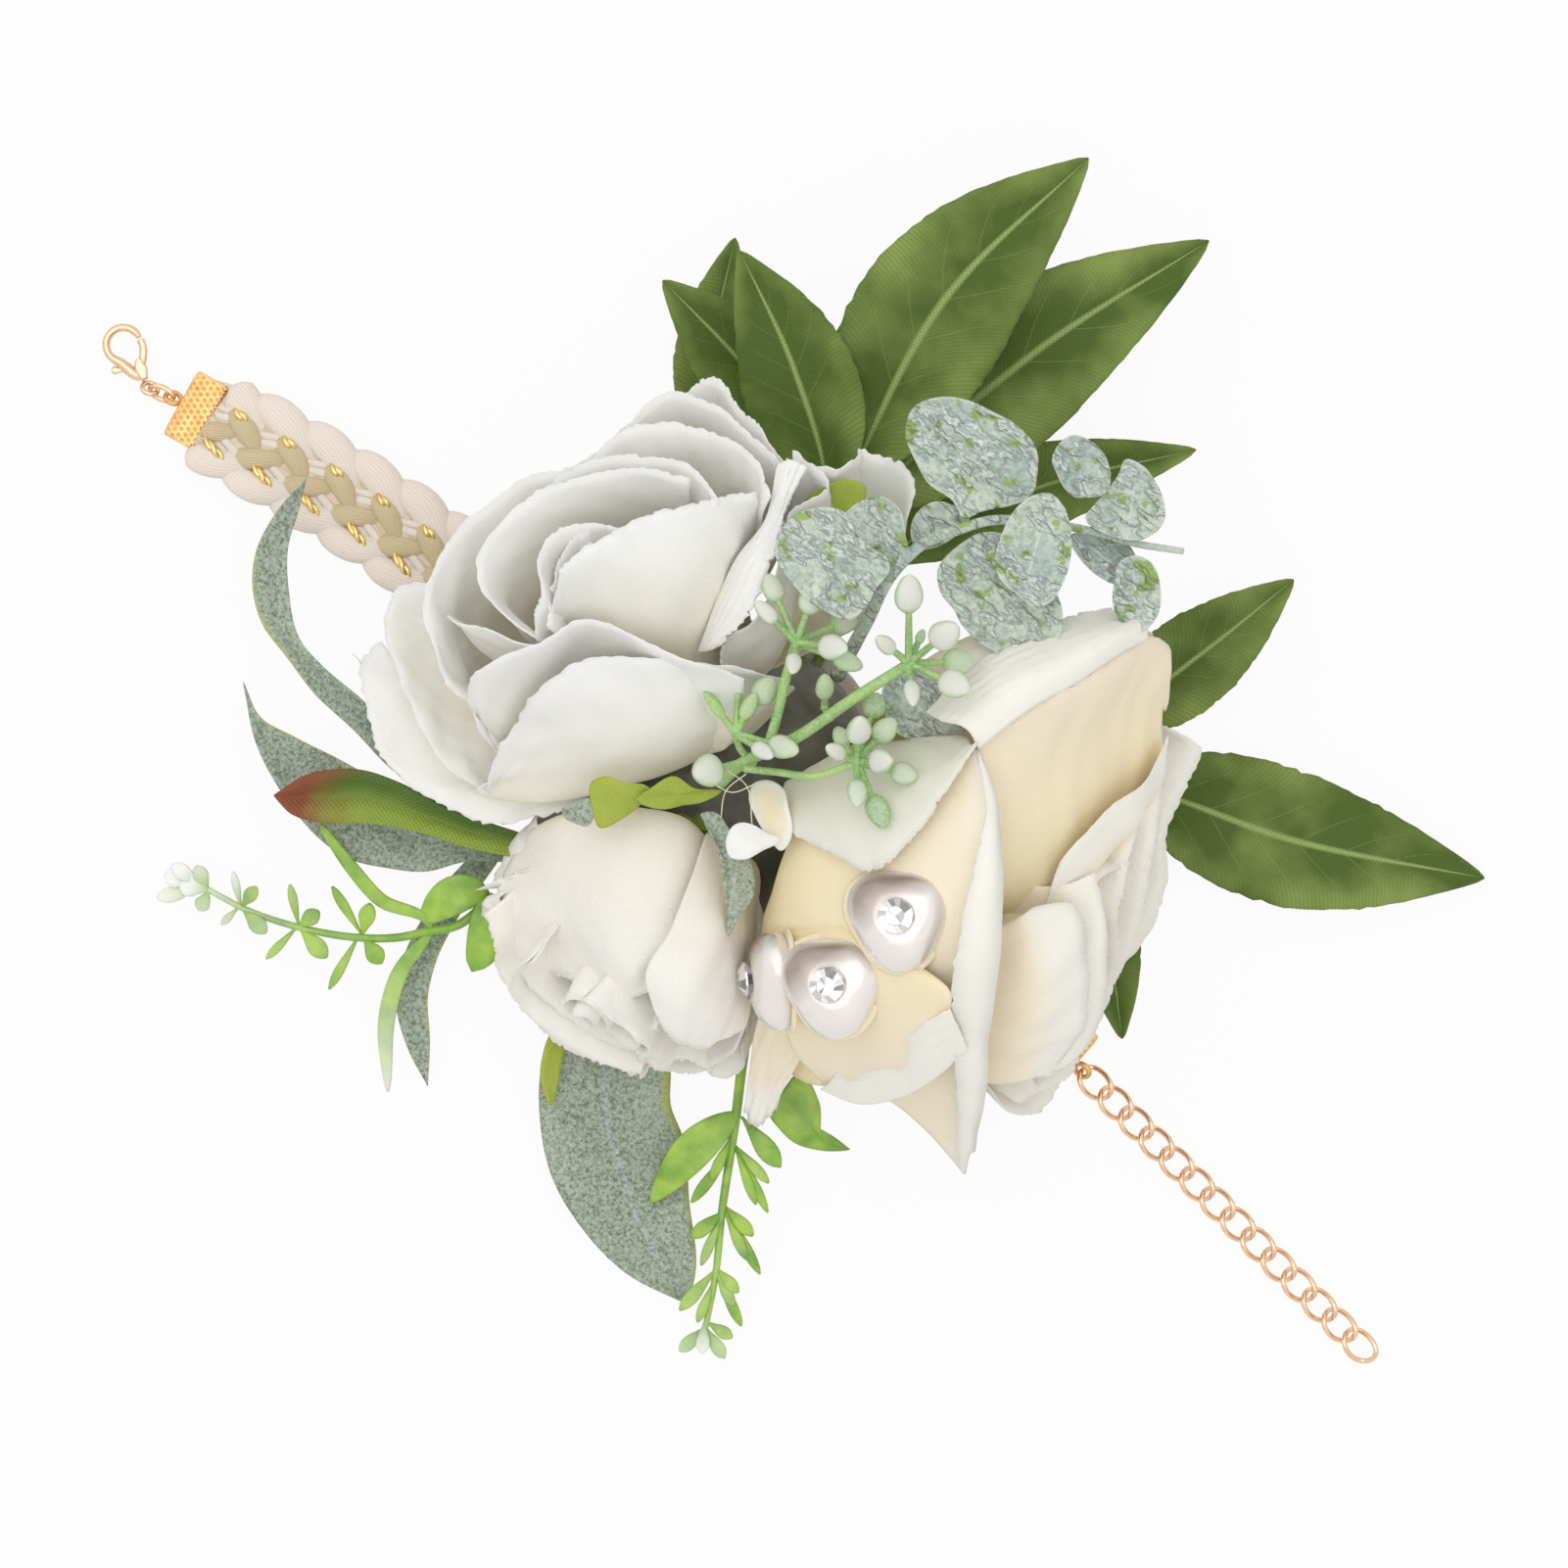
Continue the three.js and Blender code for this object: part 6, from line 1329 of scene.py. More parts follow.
# Small pieces: outlines in the photo with a height at each point.
scraps = {
    "foldedLeafLower": ([(605, 797, 33), (615, 793, 33), (640, 799, 33.5), (660, 802, 34), (668, 811, 34),
                         (655, 821, 33.5), (640, 833, 33), (612, 844, 32.5),
                         (606, 830, 32.5)], paleCloth, "green_cloth"),
    "foldedLeafUpper": ([(650, 817, 34), (668, 802, 35), (688, 794, 35.5), (709, 804, 35.5),
                         (737, 807, 34.5), (718, 818, 34.5), (688, 825, 34.5),
                         (663, 823, 34)], paleCloth, "green_cloth"),
    "sepal": ([(716, 830, 33), (728, 828, 33.5), (748, 851, 33.5), (766, 878, 32.5), (769, 916, 31.5),
               (754, 937, 31.5), (745, 955, 31), (740, 916, 32), (735, 878, 33),
               (728, 853, 33.5)], frostedCloth, "green_cloth"),
    "frostedScrap": ([(575, 826, 31), (590, 818, 31.5), (605, 816, 32), (606, 838, 32), (598, 844, 31),
                      (578, 836, 30.5)], frostedCloth, "frosted_leaf"),
    "smallLeaf": ([(822, 512, 39), (838, 498, 39.5), (866, 490, 39.5), (884, 498, 39), (880, 516, 38.5),
                   (862, 524, 38), (840, 522, 38)], paleCloth, "green_cloth"),
    "curlBack": ([(768, 800, 34), (782, 796, 35), (800, 806, 36.5), (808, 830, 37), (806, 856, 37.3),
                  (795, 868, 37), (784, 856, 36.4), (774, 836, 35.5),
                  (765, 815, 34.5)], creamCloth, "cream_cloth"),
    "looseCurl": ([(741, 862, 37.5), (747, 846, 38.5), (758, 840, 39), (772, 842, 39), (784, 851, 38.8),
                   (797, 858, 38.5), (778, 870, 38), (760, 876, 37.5),
                   (746, 874, 37)], whiteCloth, "white_cloth"),
}
scrapTones = {"curlBack": 0.45}    # the rise at the middle, where it isn't 0.85
for number, (name, (outline, look, slot)) in enumerate(scraps.items()):
    def wavy(u, v, s):
        return 0.5 * s**2 * np.sin(np.arctan2(v, u) * 2 + number) + 0.12 * ripple(u / 6, v / 6,
                                                                                  640 + number, 5, 1.2)

    disc = discPart(closedRow(photoRow(outline), 64), 0.35, 12, wavy, low=scrapTones.get(name, 0.85))
    putPiece(name, [disc], look, "root")

# Threads of glue that hang between the flowers, and one at the tip of the tall leaf.
glueThreads = [
    [(736, 836, 35), (741, 808, 37.5), (762, 790, 40)],
    [(742, 786, 39), (762, 802, 37.5), (768, 842, 37)],
    [(728, 800, 36), (747, 809, 37), (772, 800, 38)],
    [(360, 668, 12), (366, 673, 12.5), (369, 680, 12)],
]
threads = [tubePart(smoothRow(photoRow(row), 16), 0.07, sides=6) for row in glueThreads]
putPiece("glueThreads", threads, clearGlue, "root")
print("small pieces ready")


# Pearls: three soft lobes and a dome, set by the centre and facing of their CAD solids. A
# lobe of each points to its heading in the photo, and faceUp turns each toward the camera.
pearlShape = {"radius": 6.1, "lobe": 0.62, "dome": 3.4, "back": 1.5, "headings": (150, 152, 120),
              "faceUp": (0.8, 0.75, 0.0)}
rimShape = {"inset": 0.35, "low": 1.55, "wide": 0.95, "thick": 0.4}    # the glue round a pearl


# The points of a CAD solid, in millimetres.
def nodePoints(name):
    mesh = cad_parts[name].data
    points = np.empty(len(mesh.vertices) * 3)
    mesh.vertices.foreach_get("co", points)
    return points.reshape(-1, 3) / metre


# Where a pearl's middle lies and its axes: one lobe's way, the way across, and its facing.
def pearlFrame(i):
    bead, stone = nodePoints("pearl_bead_" + str(i)), nodePoints("bead_stone_" + str(i))
    middle = stone.mean(axis=0)
    low, high = bead.min(axis=0), bead.max(axis=0)
    spread = np.linalg.svd(stone - middle, full_matrices=False)[2]
    facing = spread[2] * np.sign(np.dot(spread[2], middle - (low + high) / 2))
    heights = (bead - middle) @ facing
    pivot = middle + facing * heights.min() / 2
    toLens = unit(np.array([*photo["cameraPlace"], photo["cameraHeight"]]) - pivot)
    facing = unit(facing + (toLens - facing) * pearlShape["faceUp"][i - 1])
    heading = math.radians(pearlShape["headings"][i - 1] + photo["turn"])
    seen = np.array([math.cos(heading), math.sin(heading), 0])
    slope = (seen @ facing) / max(abs(facing[2]), 0.3) * np.sign(facing[2])
    lobeWay = seen - np.array([0, 0, 1]) * slope
    lobeWay = unit(lobeWay - (lobeWay @ facing) * facing)
    origin = pivot + facing * (heights.min() / 2 + pearlShape["back"])
    return origin, np.stack([lobeWay, np.cross(facing, lobeWay), facing])


# The outline in the angle: a circle with three lobes.
def pearlLobes(angle):
    return pearlShape["radius"] + pearlShape["lobe"] * np.cos(3 * angle)


# A pearl: a flat back, then a quarter of a round profile up to a dimpled top, on its lobes.
def pearlPart(origin, axes):
    turns, rings = 96, 40
    angle = np.arange(turns)[None, :] * full / turns
    share = np.linspace(0, 1, rings)[:, None]
    sweep = share * math.pi / 2
    lobes = pearlLobes(angle)
    radius = np.where(share < 1, lobes * np.cos(sweep) ** 0.8, 0.05)
    z = pearlShape["dome"] * np.sin(sweep) ** 1.1
    z = z - 0.5 * np.exp(-((radius / 2.0) ** 4))
    backShares = np.array([0.5, 0.86, 0.97])[:, None]
    backHeights = np.array([-pearlShape["back"], -1.45, -0.9])[:, None]
    radius = np.concatenate([lobes * backShares, radius + 0 * angle])
    z = np.concatenate([backHeights + 0 * angle, z + 0 * angle])
    local = np.stack([radius * np.cos(angle), radius * np.sin(angle), z], axis=-1)
    ends = [origin - axes[2] * pearlShape["back"], origin + local[-1].mean(axis=0) @ axes]
    points = np.concatenate([(origin + local @ axes).reshape(-1, 3), ends])
    out = radius / lobes
    shade = np.clip(0.35 + out * np.cos(angle + 0.5), 0,
                    1)    # painted shade and reflection: one side is darker, but not its middle or rim
    shade = shade * np.clip((out - 0.25) / 0.15, 0, 1) * np.clip((1.02 - out) / 0.2, 0.2, 1)
    quads, fans = ringFaces(len(backShares) + rings, turns, inward=True)
    return makePart(points, quads, fans, tint=np.append(shade.ravel(), [0, 0]))


# The rim of clear glue that stands out round a pearl where it meets the petal.
def glueRim(origin, axes):
    angle = np.arange(90) * full / 90
    lobes = pearlLobes(angle) - rimShape["inset"] + 0.12 * ripple(angle / full, 0 * angle, 77, 5, 3.0)
    local = np.stack([lobes * np.cos(angle), lobes * np.sin(angle), 0 * angle - rimShape["low"]], axis=-1)
    return tubePart(origin + local @ axes, rimShape["wide"], rimShape["thick"], up=axes[2], closed=True)


# Radius and height of a stone's rings from its back to its table, and of its two ends. The
# rings at its girdle are turned by half a facet.
stone = {"sides": 16, "rings": [(1.1, 2.7), (2.15, 3.7), (2.1, 3.9), (1.15, 4.55), (1.1, 4.5)],
         "ends": (2.4, 4.6), "girdle": 1.9}


# A cut stone: a flat table, a ring of crown facets, a girdle and a cone to the point behind.
def stonePart(origin, axes, seed):
    sides = stone["sides"]
    angle = np.arange(sides) * full / sides
    rows = []
    for radius, z in stone["rings"]:
        turned = angle + (full / sides / 2 if radius > stone["girdle"] else 0)
        rows.append(np.stack([radius * np.cos(turned), radius * np.sin(turned), 0 * angle + z], axis=-1))
    local = np.concatenate(rows + [[(0, 0, z) for z in stone["ends"]]])
    part = makePart(origin + local @ axes, *ringFaces(len(rows), sides, inward=True))
    return splitFacets(part, seed)


# Gives every face its own corners, so that each can hold its own grey of painted reflection.
def splitFacets(part, seed):
    quads, tris = part["quads"], part["tris"]
    corners = np.concatenate([quads.ravel(), tris.ravel()])
    tones = np.random.default_rng(seed).choice([0.25, 0.55, 0.85, 1.0, 1.0], len(quads) + len(tris))
    tint = np.concatenate([np.repeat(tones[:len(quads)], 4), np.repeat(tones[len(quads):], 3)])
    newQuads = np.arange(len(quads) * 4).reshape(-1, 4)
    newTris = len(quads) * 4 + np.arange(len(tris) * 3).reshape(-1, 3)
    return makePart(part["points"][corners], newQuads, newTris, tint=tint)


for i in (1, 2, 3):
    origin, axes = pearlFrame(i)
    bead, gem = [pearlPart(origin, axes)], [stonePart(origin, axes, 600 + i)]
    putPiece("pearlBead" + str(i), bead, pearlLustre, "root", ["pearl_bead_" + str(i)])
    putPiece("glueRim" + str(i), [glueRim(origin, axes)], clearGlue, "root")
    putPiece("beadStone" + str(i), gem, cutGlass, "root", ["bead_stone_" + str(i)],
             flatShade=True)
print("pearls ready")


# The braid: eight columns of yarn bundles in a herringbone on both faces, four thick and
# four thin, with gold cord. It reaches past its ends by overrun, into the crimps.
band = {"thickness": 4.2, "pitch": 7.0, "leftEnd": -78.9, "rightEnd": 51.5, "overrun": 1.3,
        "centreHalf": 22.0, "leftBow": 1.9, "rightDrop": 2.9, "mostThick": 1.15}
# start and end across the band, bulge, length, half width and height, tint, phase, lift
braidColumns = [
    (4.6, 1.7, 1.25, 10.2, 2.25, 1.35, 0.0, 0.0, 0.0),
    (0.3, 3.1, 0.3, 9.0, 0.55, 0.4, 0.0, 2.2, 0.1),
    (1.1, 3.7, 0.2, 8.2, 0.45, 0.36, 0.0, 1.3, 0.05),
    (2.3, -0.9, 0.3, 6.6, 1.45, 0.95, 1.0, 5.0, 0.25),
    (-2.3, 0.9, -0.3, 6.6, 1.4, 0.95, 1.0, 1.6, 0.15),
    (-0.3, -3.1, -0.3, 9.4, 0.55, 0.4, 0.0, 3.6, 0.1),
    (-1.1, -3.6, -0.2, 8.2, 0.45, 0.36, 0.0, 2.8, 0.05),
    (-4.5, -1.9, -1.15, 9.8, 1.95, 1.25, 0.0, 2.0, 0.0),
]


# The band's middle line: straight below the flowers, bowed to the left, falling to the right.
def bandMiddle(x):
    leftShare = np.clip((-band["centreHalf"] - x) / (-band["centreHalf"] - band["leftEnd"]), 0, 1)
    rightShare = np.clip((x - band["centreHalf"]) / (band["rightEnd"] - band["centreHalf"]), 0, None)
    return band["leftBow"] * np.sin(math.pi * leftShare) - band["rightDrop"] * rightShare**1.5


def onBand(x, across, height):
    return np.stack([x, bandMiddle(x) + across, height], axis=-1)


# Where a column's bundles start along a stretch of the band, one for each pitch.
def bundleStarts(start, end, phase):
    count = int(math.ceil((end - start) / band["pitch"])) + 1
    return [math.floor(start / band["pitch"]) * band["pitch"] + phase + k * band["pitch"] for k in range(-1, count)]


# The yarn of a stretch: a flat core, and bundles that run slanting over it, arched in height
# and thin at both ends. A bundle is cut where the stretch ends.
def bundles(start, end):
    ends = band["leftEnd"] - band["overrun"], band["rightEnd"] + band["overrun"]
    x = np.linspace(start, end, max(int((end - start) * 1.5), 12))
    parts = [tubePart(onBand(x, 0 * x, 0 * x + band["thickness"] / 2), 4.6, band["mostThick"], sides=20, tint=0.6)]
    for v0, v1, bulge, length, wide, thick, tint, phase, lift in braidColumns:
        for x0 in bundleStarts(start, end, phase):
            low, high = max(x0, start), min(x0 + length, end)
            if high - low < 1.5:
                continue
            s = np.linspace((low - x0) / length, (high - x0) / length, 17)
            across = v0 + (v1 - v0) * s**1.3 + bulge * np.sin(math.pi * s)
            taper = np.sin(math.pi * (0.07 + 0.84 * s**0.85)) ** 0.6
            place = x0 + s * length
            taper = taper * np.clip(np.minimum(place - ends[0], ends[1] - place) / 1.2, 0.05, 1) ** 0.5
            arch = np.sin(math.pi * s**0.9)
            for face in (1, -1):
                path = onBand(place, across, band["thickness"] / 2 + face * (0.2 + 0.85 * arch + lift))
                parts.append(tubePart(path, wide * taper, np.minimum(thick * taper, band["mostThick"]),
                                      sides=18, tint=tint))
    return parts


# Gold cord: short glinting runs of two thin strands wound round each other. Each row holds
# the start and end across the band, the length and the phase.
goldRuns = [(-2.2, -3.7, 4.4, 4.4), (2.6, 2.2, 2.8, 5.6)]


def goldParts(start, end):
    parts = []
    s = np.linspace(0, 1, 24)
    for v0, v1, length, phase in goldRuns:
        for x0 in bundleStarts(start, end, phase):
            if x0 < start + 0.3 or x0 + length > end - 0.3:
                continue
            for face in (1, -1):
                for strand in (0, math.pi):
                    wind = full * 1.3 * s * length / 4 + strand
                    across = v0 + (v1 - v0) * s + 0.26 * np.cos(wind)
                    rise = band["thickness"] / 2 + face * (1.35 + 0.75 * np.sin(math.pi * s))
                    path = onBand(x0 + s * length, across, rise + 0.2 * np.sin(wind))
                    parts.append(tubePart(path, np.sin(math.pi * (0.08 + 0.84 * s)) ** 0.5 * 0.34, sides=7))
    return parts


# The flattened end of the braid inside its crimp.
def tongue(endX, loop, heading):
    away = polar(1, heading, 0)
    path = smoothRow([onBand(np.array(endX), 0.0, 2.1), loop - away * 6.2, loop - away * 2.2], 20)
    return tubePart(path, np.linspace(5.6, 4.1, 20), np.linspace(1.4, 0.6, 20), sides=18)


# Crimps: a folded plate of dimpled gold, and beyond it the middle of its wire loop. Each
# crimp's loop lies toward its heading.
crimp = {"length": 4.5, "width": 9.2, "height": 2.8, "offset": 1.15, "gap": 1.1, "leftHeading": 186,
         "rightHeading": -6,
         "dimpleDepth": 0.24, "rows": 11, "columns": 6}
loopReach = crimp["gap"] + crimp["length"] + crimp["offset"]
leftLoop = np.array([band["leftEnd"] - loopReach, -0.5, 1.5])
rightLoop = np.array([band["rightEnd"] + loopReach, -3.5, 1.5])

# Name, start, end, the bodies it joins and where it bends.
bandStretches = [
    ("braidLeftEnd", band["leftEnd"] - band["overrun"], -36.0, ("left_band_end", "left_band"), -50.15,
     ["band_left_outer"]),
    ("braidLeft", -36.0, 0.0, ("left_band", "root"), -22.15, ["band_left_inner"]),
    ("braidRight", 0.0, 37.0, ("root", "right_band"), 22.15, ["band_centre"]),
    ("braidRightEnd", 37.0, band["rightEnd"] + band["overrun"], ("right_band", None), None, ["band_right"]),
]
for name, start, end, (first, second), bend, stands in bandStretches:
    cotton = bundles(start, end)
    if name == "braidLeftEnd":
        cotton.append(tongue(start + 1.5, leftLoop, crimp["leftHeading"]))
    if name == "braidRightEnd":
        cotton.append(tongue(end - 1.5, rightLoop, crimp["rightHeading"]))
    yarn = putPiece(name, cotton, cottonYarn, None, stands)
    cord = putPiece(name + "Gold", goldParts(start, end), goldCord, None)
    for piece in (yarn, cord):
        if second is None:
            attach(piece, first)
        else:
            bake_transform(piece)
print("braid ready")


# A crimp: a rounded rectangle carried along the crimp's width, narrower at both ends, with
# rows of slanted pits in its two faces and a toothed edge toward the braid.
def crimpPart(loop, heading):
    steps, sides = 120, 128
    s, angle = np.linspace(-1, 1, steps)[:, None], np.arange(sides)[None, :] * full / sides
    square = (np.abs(np.cos(angle)) ** 9 + np.abs(np.sin(angle)) ** 9) ** (-1 / 9)
    along = np.cos(angle) * square * crimp["length"] / 2
    high = np.sin(angle) * square * crimp["height"] / 2
    endRound = 1 - np.abs(s) ** 14 * 0.12
    row = (s + 1) / 2 * crimp["rows"]
    column = (along / crimp["length"] + 0.5) * crimp["columns"]
    shifted = row + 0.5 * (np.floor(column) % 2)
    du, dv = column % 1 - 0.5, shifted % 1 - 0.5
    pit = np.exp(-((du + dv * 0.5) ** 2 + (dv * 1.1) ** 2) / 0.045)
    onFace = (np.abs(np.sin(angle)) * square > 0.93) & (np.abs(s) < 0.95)
    onFace = onFace & (np.abs(along) < crimp["length"] * 0.44)
    high = high * endRound - np.sign(high) * pit * onFace * crimp["dimpleDepth"]
    notch = 0.12 * np.sin(row * full * 1.6) * (np.cos(angle) < -0.7)
    along = along * endRound + notch
    away, side = polar(1, heading, 0), polar(1, heading + 90, 0)
    middle = loop - away * (crimp["offset"] + crimp["length"] / 2)
    points = middle + side * (s * crimp["width"] / 2 + 0 * angle)[..., None] + away * along[..., None]
    points = points + np.array([0, 0, 1.0]) * high[..., None]
    return makePart(withEnds(points), *ringFaces(steps, sides))


# Wires: the eyes on crimps and clasp, the jump ring, and the chain with its bent links.
wires = {"radius": 0.34, "eye": 1.0, "eyeTilt": 45, "leftHeading": 193, "chainHeading": -9.5}
ring = {"halfLength": 1.6, "halfWidth": 1.05, "tilt": 135}
chain = {"links": 14, "pitch": 3.65, "halfLength": 2.325, "halfWidth": 1.65, "halfHeight": 0.825}


# A closed wire: an oval whose height goes up and down twice on its way round, turned by tilt
# about its length and by heading about its place.
def wirePart(place, heading, halfLength, halfWidth, halfHeight, tilt, shift=0.0, steps=64):
    t = np.arange(steps) * full / steps
    x, y, z = halfLength * np.cos(t) + shift, halfWidth * np.sin(t), halfHeight * np.sin(2 * t)
    y, z = turnedBy(y, z, tilt)
    x, y = turnedBy(x, y, heading)
    a, b = math.radians(tilt), math.radians(heading)
    axis = np.array([math.sin(a) * math.sin(b), -math.sin(a) * math.cos(b), math.cos(a)])
    return tubePart(place + np.stack([x, y, z], axis=-1), wires["radius"], sides=12, up=axis, closed=True)


def eyePart(place, heading):
    return wirePart(place, heading, wires["eye"], wires["eye"], 0, wires["eyeTilt"])


leftGrip = [crimpPart(leftLoop, crimp["leftHeading"]), eyePart(leftLoop, wires["leftHeading"])]
putPiece("leftCrimp", leftGrip, goldPlate, "left_band_end", ["left_crimp"])
rightGrip = [crimpPart(rightLoop, crimp["rightHeading"]), eyePart(rightLoop, wires["chainHeading"])]
putPiece("rightCrimp", rightGrip, goldPlate, "right_band", ["right_crimp"])
ringWire = wirePart(leftLoop, wires["leftHeading"], ring["halfLength"], ring["halfWidth"], 0, ring["tilt"],
                    ring["halfLength"])
putPiece("claspRing", [ringWire], roseGold, "ring", ["clasp_ring"])
for i in range(chain["links"]):
    number = str(i + 1).zfill(2)
    place = rightLoop + polar(chain["halfLength"] + i * chain["pitch"], wires["chainHeading"], 0)
    link = wirePart(place, wires["chainHeading"], chain["halfLength"], chain["halfWidth"],
                    chain["halfHeight"], 0)
    putPiece("chainLink" + number, [link], roseGold, "link_" + number,
             ["chain_link_" + number])

# The clasp lies in its own frame: x runs from its eye to its hook, and the gate is at -y.
clasp = {"reach": 3.2, "heading": 156.6, "hookMiddle": 6.5, "hookRadius": 2.2, "plateHeight": 0.62,
         "plateHalf": 0.2}
claspPlace = leftLoop + polar(clasp["reach"], wires["leftHeading"], 0)


def inClasp(points):
    x, y, z = np.asarray(points, float).T
    return claspPlace + np.stack([*turnedBy(x, y, clasp["heading"]), z], axis=-1)


# Half sizes along a path of count steps, given at some shares of its length.
def sizesAlong(count, shares, sizes):
    return np.interp(np.linspace(0, 1, count), shares, sizes)


hookTurn = np.radians(np.linspace(-96, 128, 40))
hookX, hookY = clasp["hookRadius"] * np.cos(hookTurn), clasp["hookRadius"] * np.sin(hookTurn)
hookRow = np.stack([clasp["hookMiddle"] + hookX, hookY, 0 * hookTurn], axis=-1)
bodyRow = np.concatenate([hookRow, [(3.7, 1.15, 0), (2.6, 0.75, 0), (1.75, 0.1, 0), (1.3, 0.0, 0)]])
bodyWide = sizesAlong(90, [0, 0.05, 0.6, 0.8, 0.93, 1], [0.35, 0.5, 0.52, 0.75, 0.7, 0.35])
bodyThick = sizesAlong(90, [0, 0.05, 0.6, 0.85, 1], [0.5, 0.72, 0.78, 0.82, 0.45])
claspParts = [tubePart(inClasp(smoothRow(bodyRow, 90)), bodyWide, bodyThick, sides=16)]
plate = smoothRow([(1.4, 0, 0), (2.2, -0.25, 0), (3.2, -0.45, 0), (3.9, -0.75, 0)], 20)
for side, sizes in ((1, [0.45, 0.85, 0.35]), (-1, [0.4, 0.62, 0.25])):
    path = inClasp(plate + side * np.array([0, 0, clasp["plateHeight"]]))
    claspParts.append(tubePart(path, sizesAlong(20, [0, 0.5, 1], sizes), clasp["plateHalf"], sides=12))
claspParts.append(eyePart(claspPlace, wires["leftHeading"]))
putPiece("claspBody", claspParts, roseGold, "clasp", ["clasp_body"])
gate = smoothRow([(2.9, -0.45, 0), (4.0, -1.4, 0), (5.0, -2.0, 0), (5.95, -2.2, 0)], 24)
thumb = smoothRow([(2.9, -0.1, 0), (3.4, 1.0, 0), (4.0, 2.1, 0), (4.5, 3.0, 0)], 24)
leverParts = [
    tubePart(inClasp(gate), 0.5, 0.4, sides=12),
    tubePart(inClasp(thumb), sizesAlong(24, [0, 0.6, 0.9, 1], [0.36, 0.3, 0.55, 0.3]), 0.3, sides=12),
]
putPiece("claspLever", leverParts, roseGold, "lever", ["clasp_lever"])
print("fastenings ready")


# The hidden base: a felt pad and a lumpy mound of glue on it, each by the radius and height
# of its profile, and how far its radius is uneven.
base = {
    "pad": ([(19.5, 4.5), (20.9, 4.7), (21, 5.25), (20.9, 5.8), (19.5, 6.0)], 0.003),
    "mound": ([(18.6, 6.3), (19, 7.4), (17.6, 9.2), (15.4, 10.9), (10, 12.8), (5.5, 13.7), (1.5, 14)],
              0.03),
}


def domePart(profile, lump, seed, rings=34, turns=72):
    profile = smoothStack(np.array([(r, z, 0) for r, z in profile], float)[:, None, :], rings)[:, 0]
    angle = np.arange(turns)[None, :] * full / turns
    uneven = ripple(angle / full, profile[:, 1:2] / 30, seed, 8,
                    3.0) * np.sin(np.linspace(0, math.pi, rings))[:, None]
    radius = profile[:, :1] * (1 + lump * uneven)
    points = np.stack([radius * np.cos(angle), radius * np.sin(angle), profile[:, 1:2] + 0 * angle], axis=-1)
    return makePart(withEnds(points), *ringFaces(rings, turns, inward=True))


putPiece("feltPad", [domePart(*base["pad"], 700)], whiteFelt, "root", ["felt_pad"])
putPiece("glueMound", [domePart(*base["mound"], 710)], shadedGlue, "root", ["glue_mound"])

for name in ("clasp_pin", "clasp_spring"):
    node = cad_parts[name]
    node.data.materials.clear()
    node.data.materials.append(roseGold)
print("base ready")


# Floor, light and camera
stage = {"half": 900.0, "below": 0.4, "grey": 0.86, "glow": 0.92, "worldStrength": 0.65, "sensor": 36.0,
         "lens": 120.0}


# 1 for rays from the camera, mirrors and glass, and 0 for light on the object.
def seenRays(tree):
    rays = tree.nodes.new("ShaderNodeLightPath")
    mirrored = sums(tree, "MAXIMUM", rays.outputs["Is Glossy Ray"], rays.outputs["Is Transmission Ray"])
    return sums(tree, "MAXIMUM", rays.outputs["Is Camera Ray"], mirrored)


# The floor takes shadows, and mostly glows white where it is seen.
def stageLook():
    look = bpy.data.materials.new("pale floor")
    look.use_nodes = True
    tree = look.node_tree
    tree.nodes.clear()
    diffuse = put(tree, "ShaderNodeBsdfDiffuse", {"Color": (stage["grey"],) * 3 + (1,)})
    glow = put(tree, "ShaderNodeEmission", {"Color": (1, 1, 1, 1), "Strength": 1.0})
    share = sums(tree, "MULTIPLY", seenRays(tree), stage["glow"])
    mix = put(tree, "ShaderNodeMixShader", {0: share, 1: diffuse, 2: glow})
    out = tree.nodes.new("ShaderNodeOutputMaterial")
    tree.links.new(mix, out.inputs["Surface"])
    return look


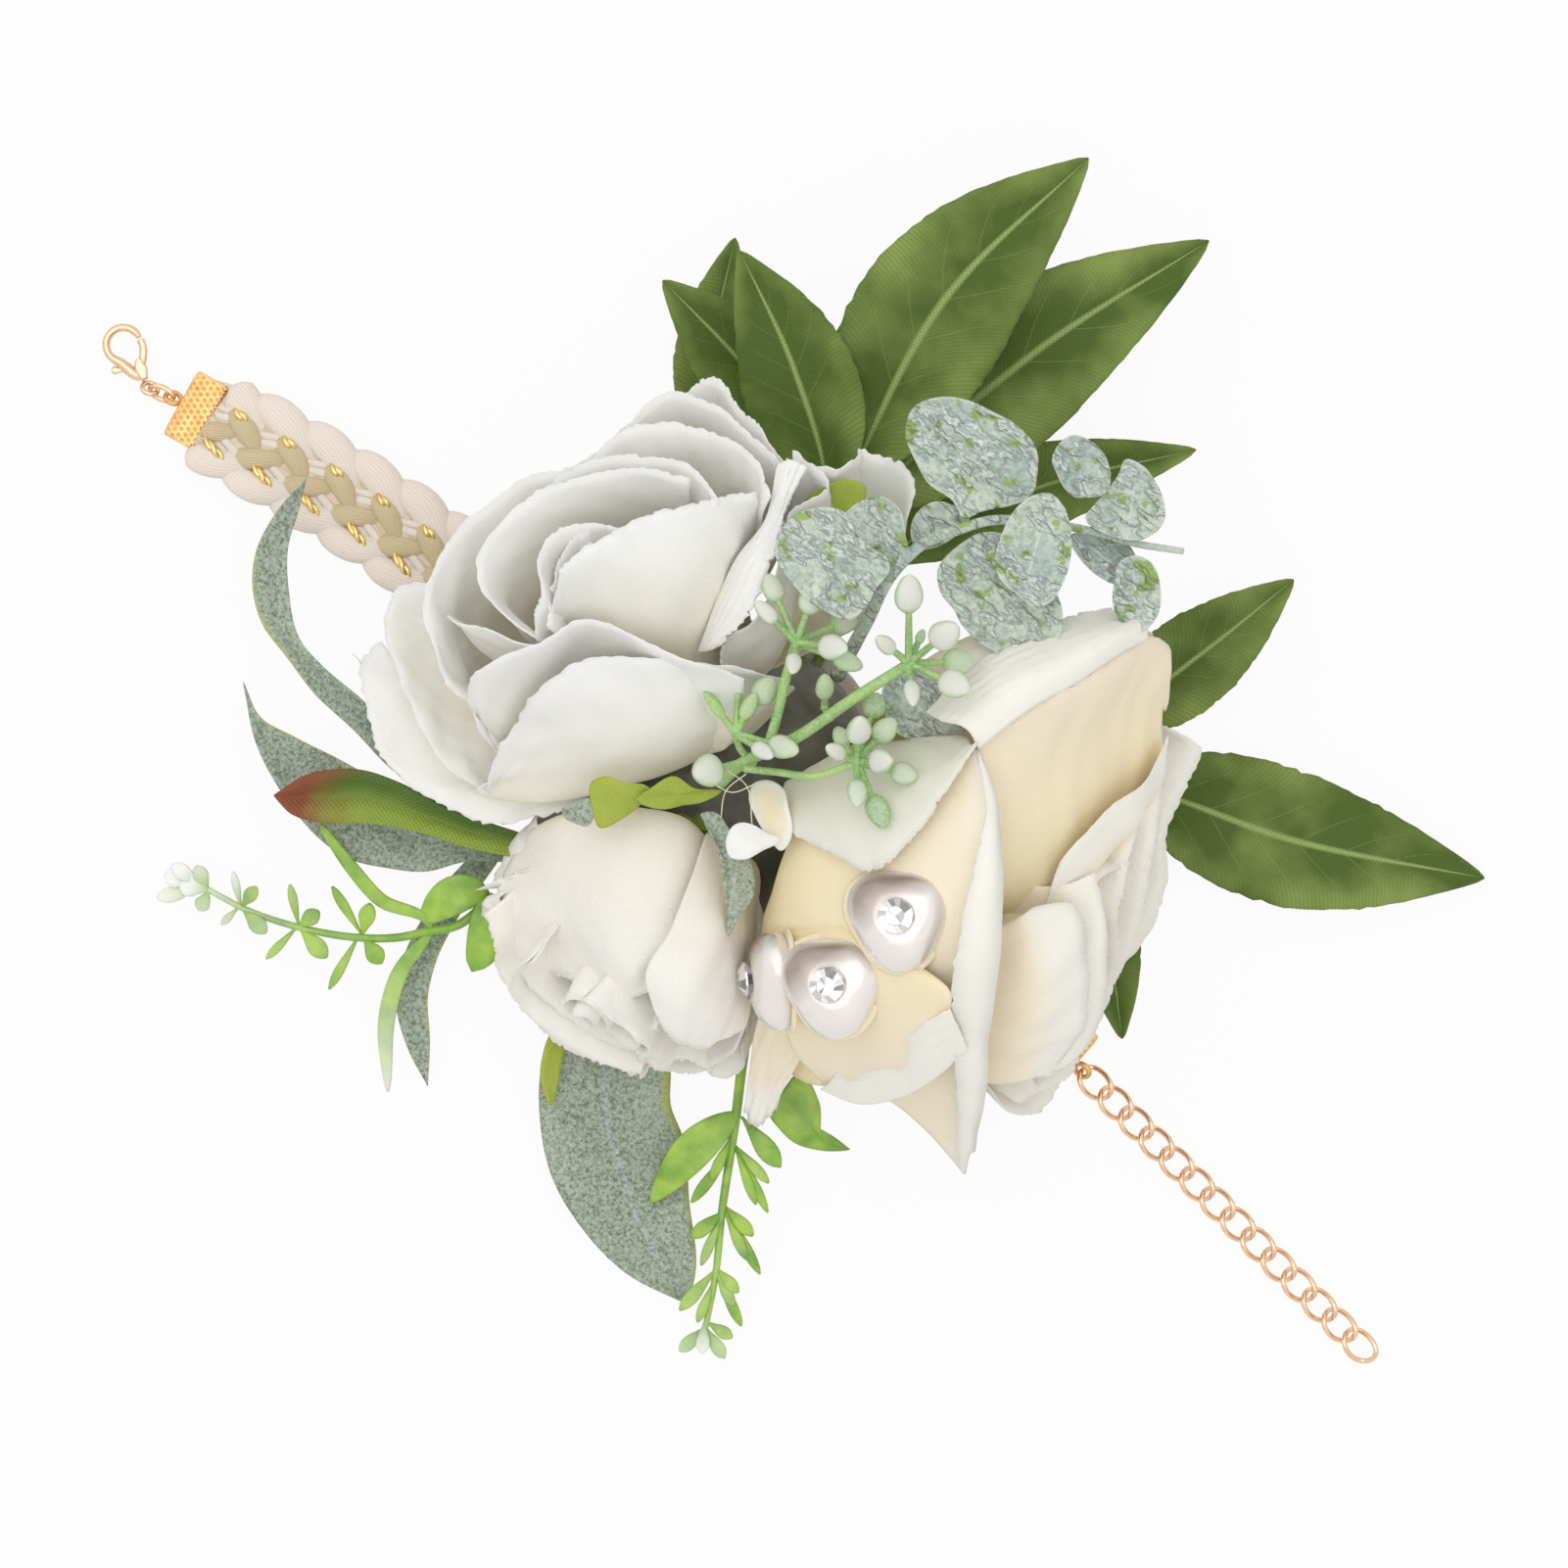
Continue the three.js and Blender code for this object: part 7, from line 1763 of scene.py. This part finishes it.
corners = np.array([(-1, -1, 0), (1, -1, 0), (1, 1, 0), (-1, 1, 0)]) * stage["half"] - [0, 0,
                                                                                        stage["below"]]
floor = putPiece("floor", [makePart(corners, [(0, 1, 2, 3)])], stageLook(), None)

world = bpy.data.worlds.new("studio")
bpy.context.scene.world = world
world.use_nodes = True
tree = world.node_tree
tree.nodes.clear()
strength = ranged(tree, seenRays(tree), 0.0, 1.0, (stage["worldStrength"], 1.0))
background = put(tree, "ShaderNodeBackground", {"Color": (1, 1, 1, 1), "Strength": strength})
tree.links.new(background, tree.nodes.new("ShaderNodeOutputWorld").inputs["Surface"])

# Soft lamps: photo heading, distance out, height, size and power, aimed at the flowers.
lamps = [
    {"name": "keyLamp", "heading": 135.0, "out": 0.5, "height": 0.7, "size": 0.9, "power": 1.2},
    {"name": "fillLamp", "heading": -40.0, "out": 0.5, "height": 0.7, "size": 0.9, "power": 0.4},
    {"name": "frontLamp", "heading": 90.0, "out": 0.02, "height": 0.85, "size": 0.9, "power": 2.2},
]
for lamp in lamps:
    light = bpy.data.lights.new(lamp["name"], "AREA")
    light.size, light.energy = lamp["size"], lamp["power"]
    holder = bpy.data.objects.new(lamp["name"], light)
    bpy.context.scene.collection.objects.link(holder)
    heading = math.radians(lamp["heading"] + photo["turn"])
    holder.location = (lamp["out"] * math.cos(heading), lamp["out"] * math.sin(heading), lamp["height"])
    aim = np.array([0, 0, 0.02]) - np.array(holder.location)
    holder.rotation_euler = (math.atan2(math.hypot(aim[0], aim[1]), -aim[2]), 0,
                             math.atan2(-aim[0], aim[1]))

camera = bpy.data.cameras.new("camera")
camera.sensor_width, camera.lens = stage["sensor"], stage["lens"]
camera.clip_start, camera.clip_end = 0.01, 10.0
holder = bpy.data.objects.new("camera", camera)
bpy.context.scene.collection.objects.link(holder)
holder.location = [value * metre for value in (*photo["cameraPlace"], photo["cameraHeight"])]
holder.rotation_euler = (0, 0, math.radians(photo["turn"]))
bpy.context.scene.camera = holder
bpy.context.scene.view_settings.view_transform = "Standard"
print("stage ready")
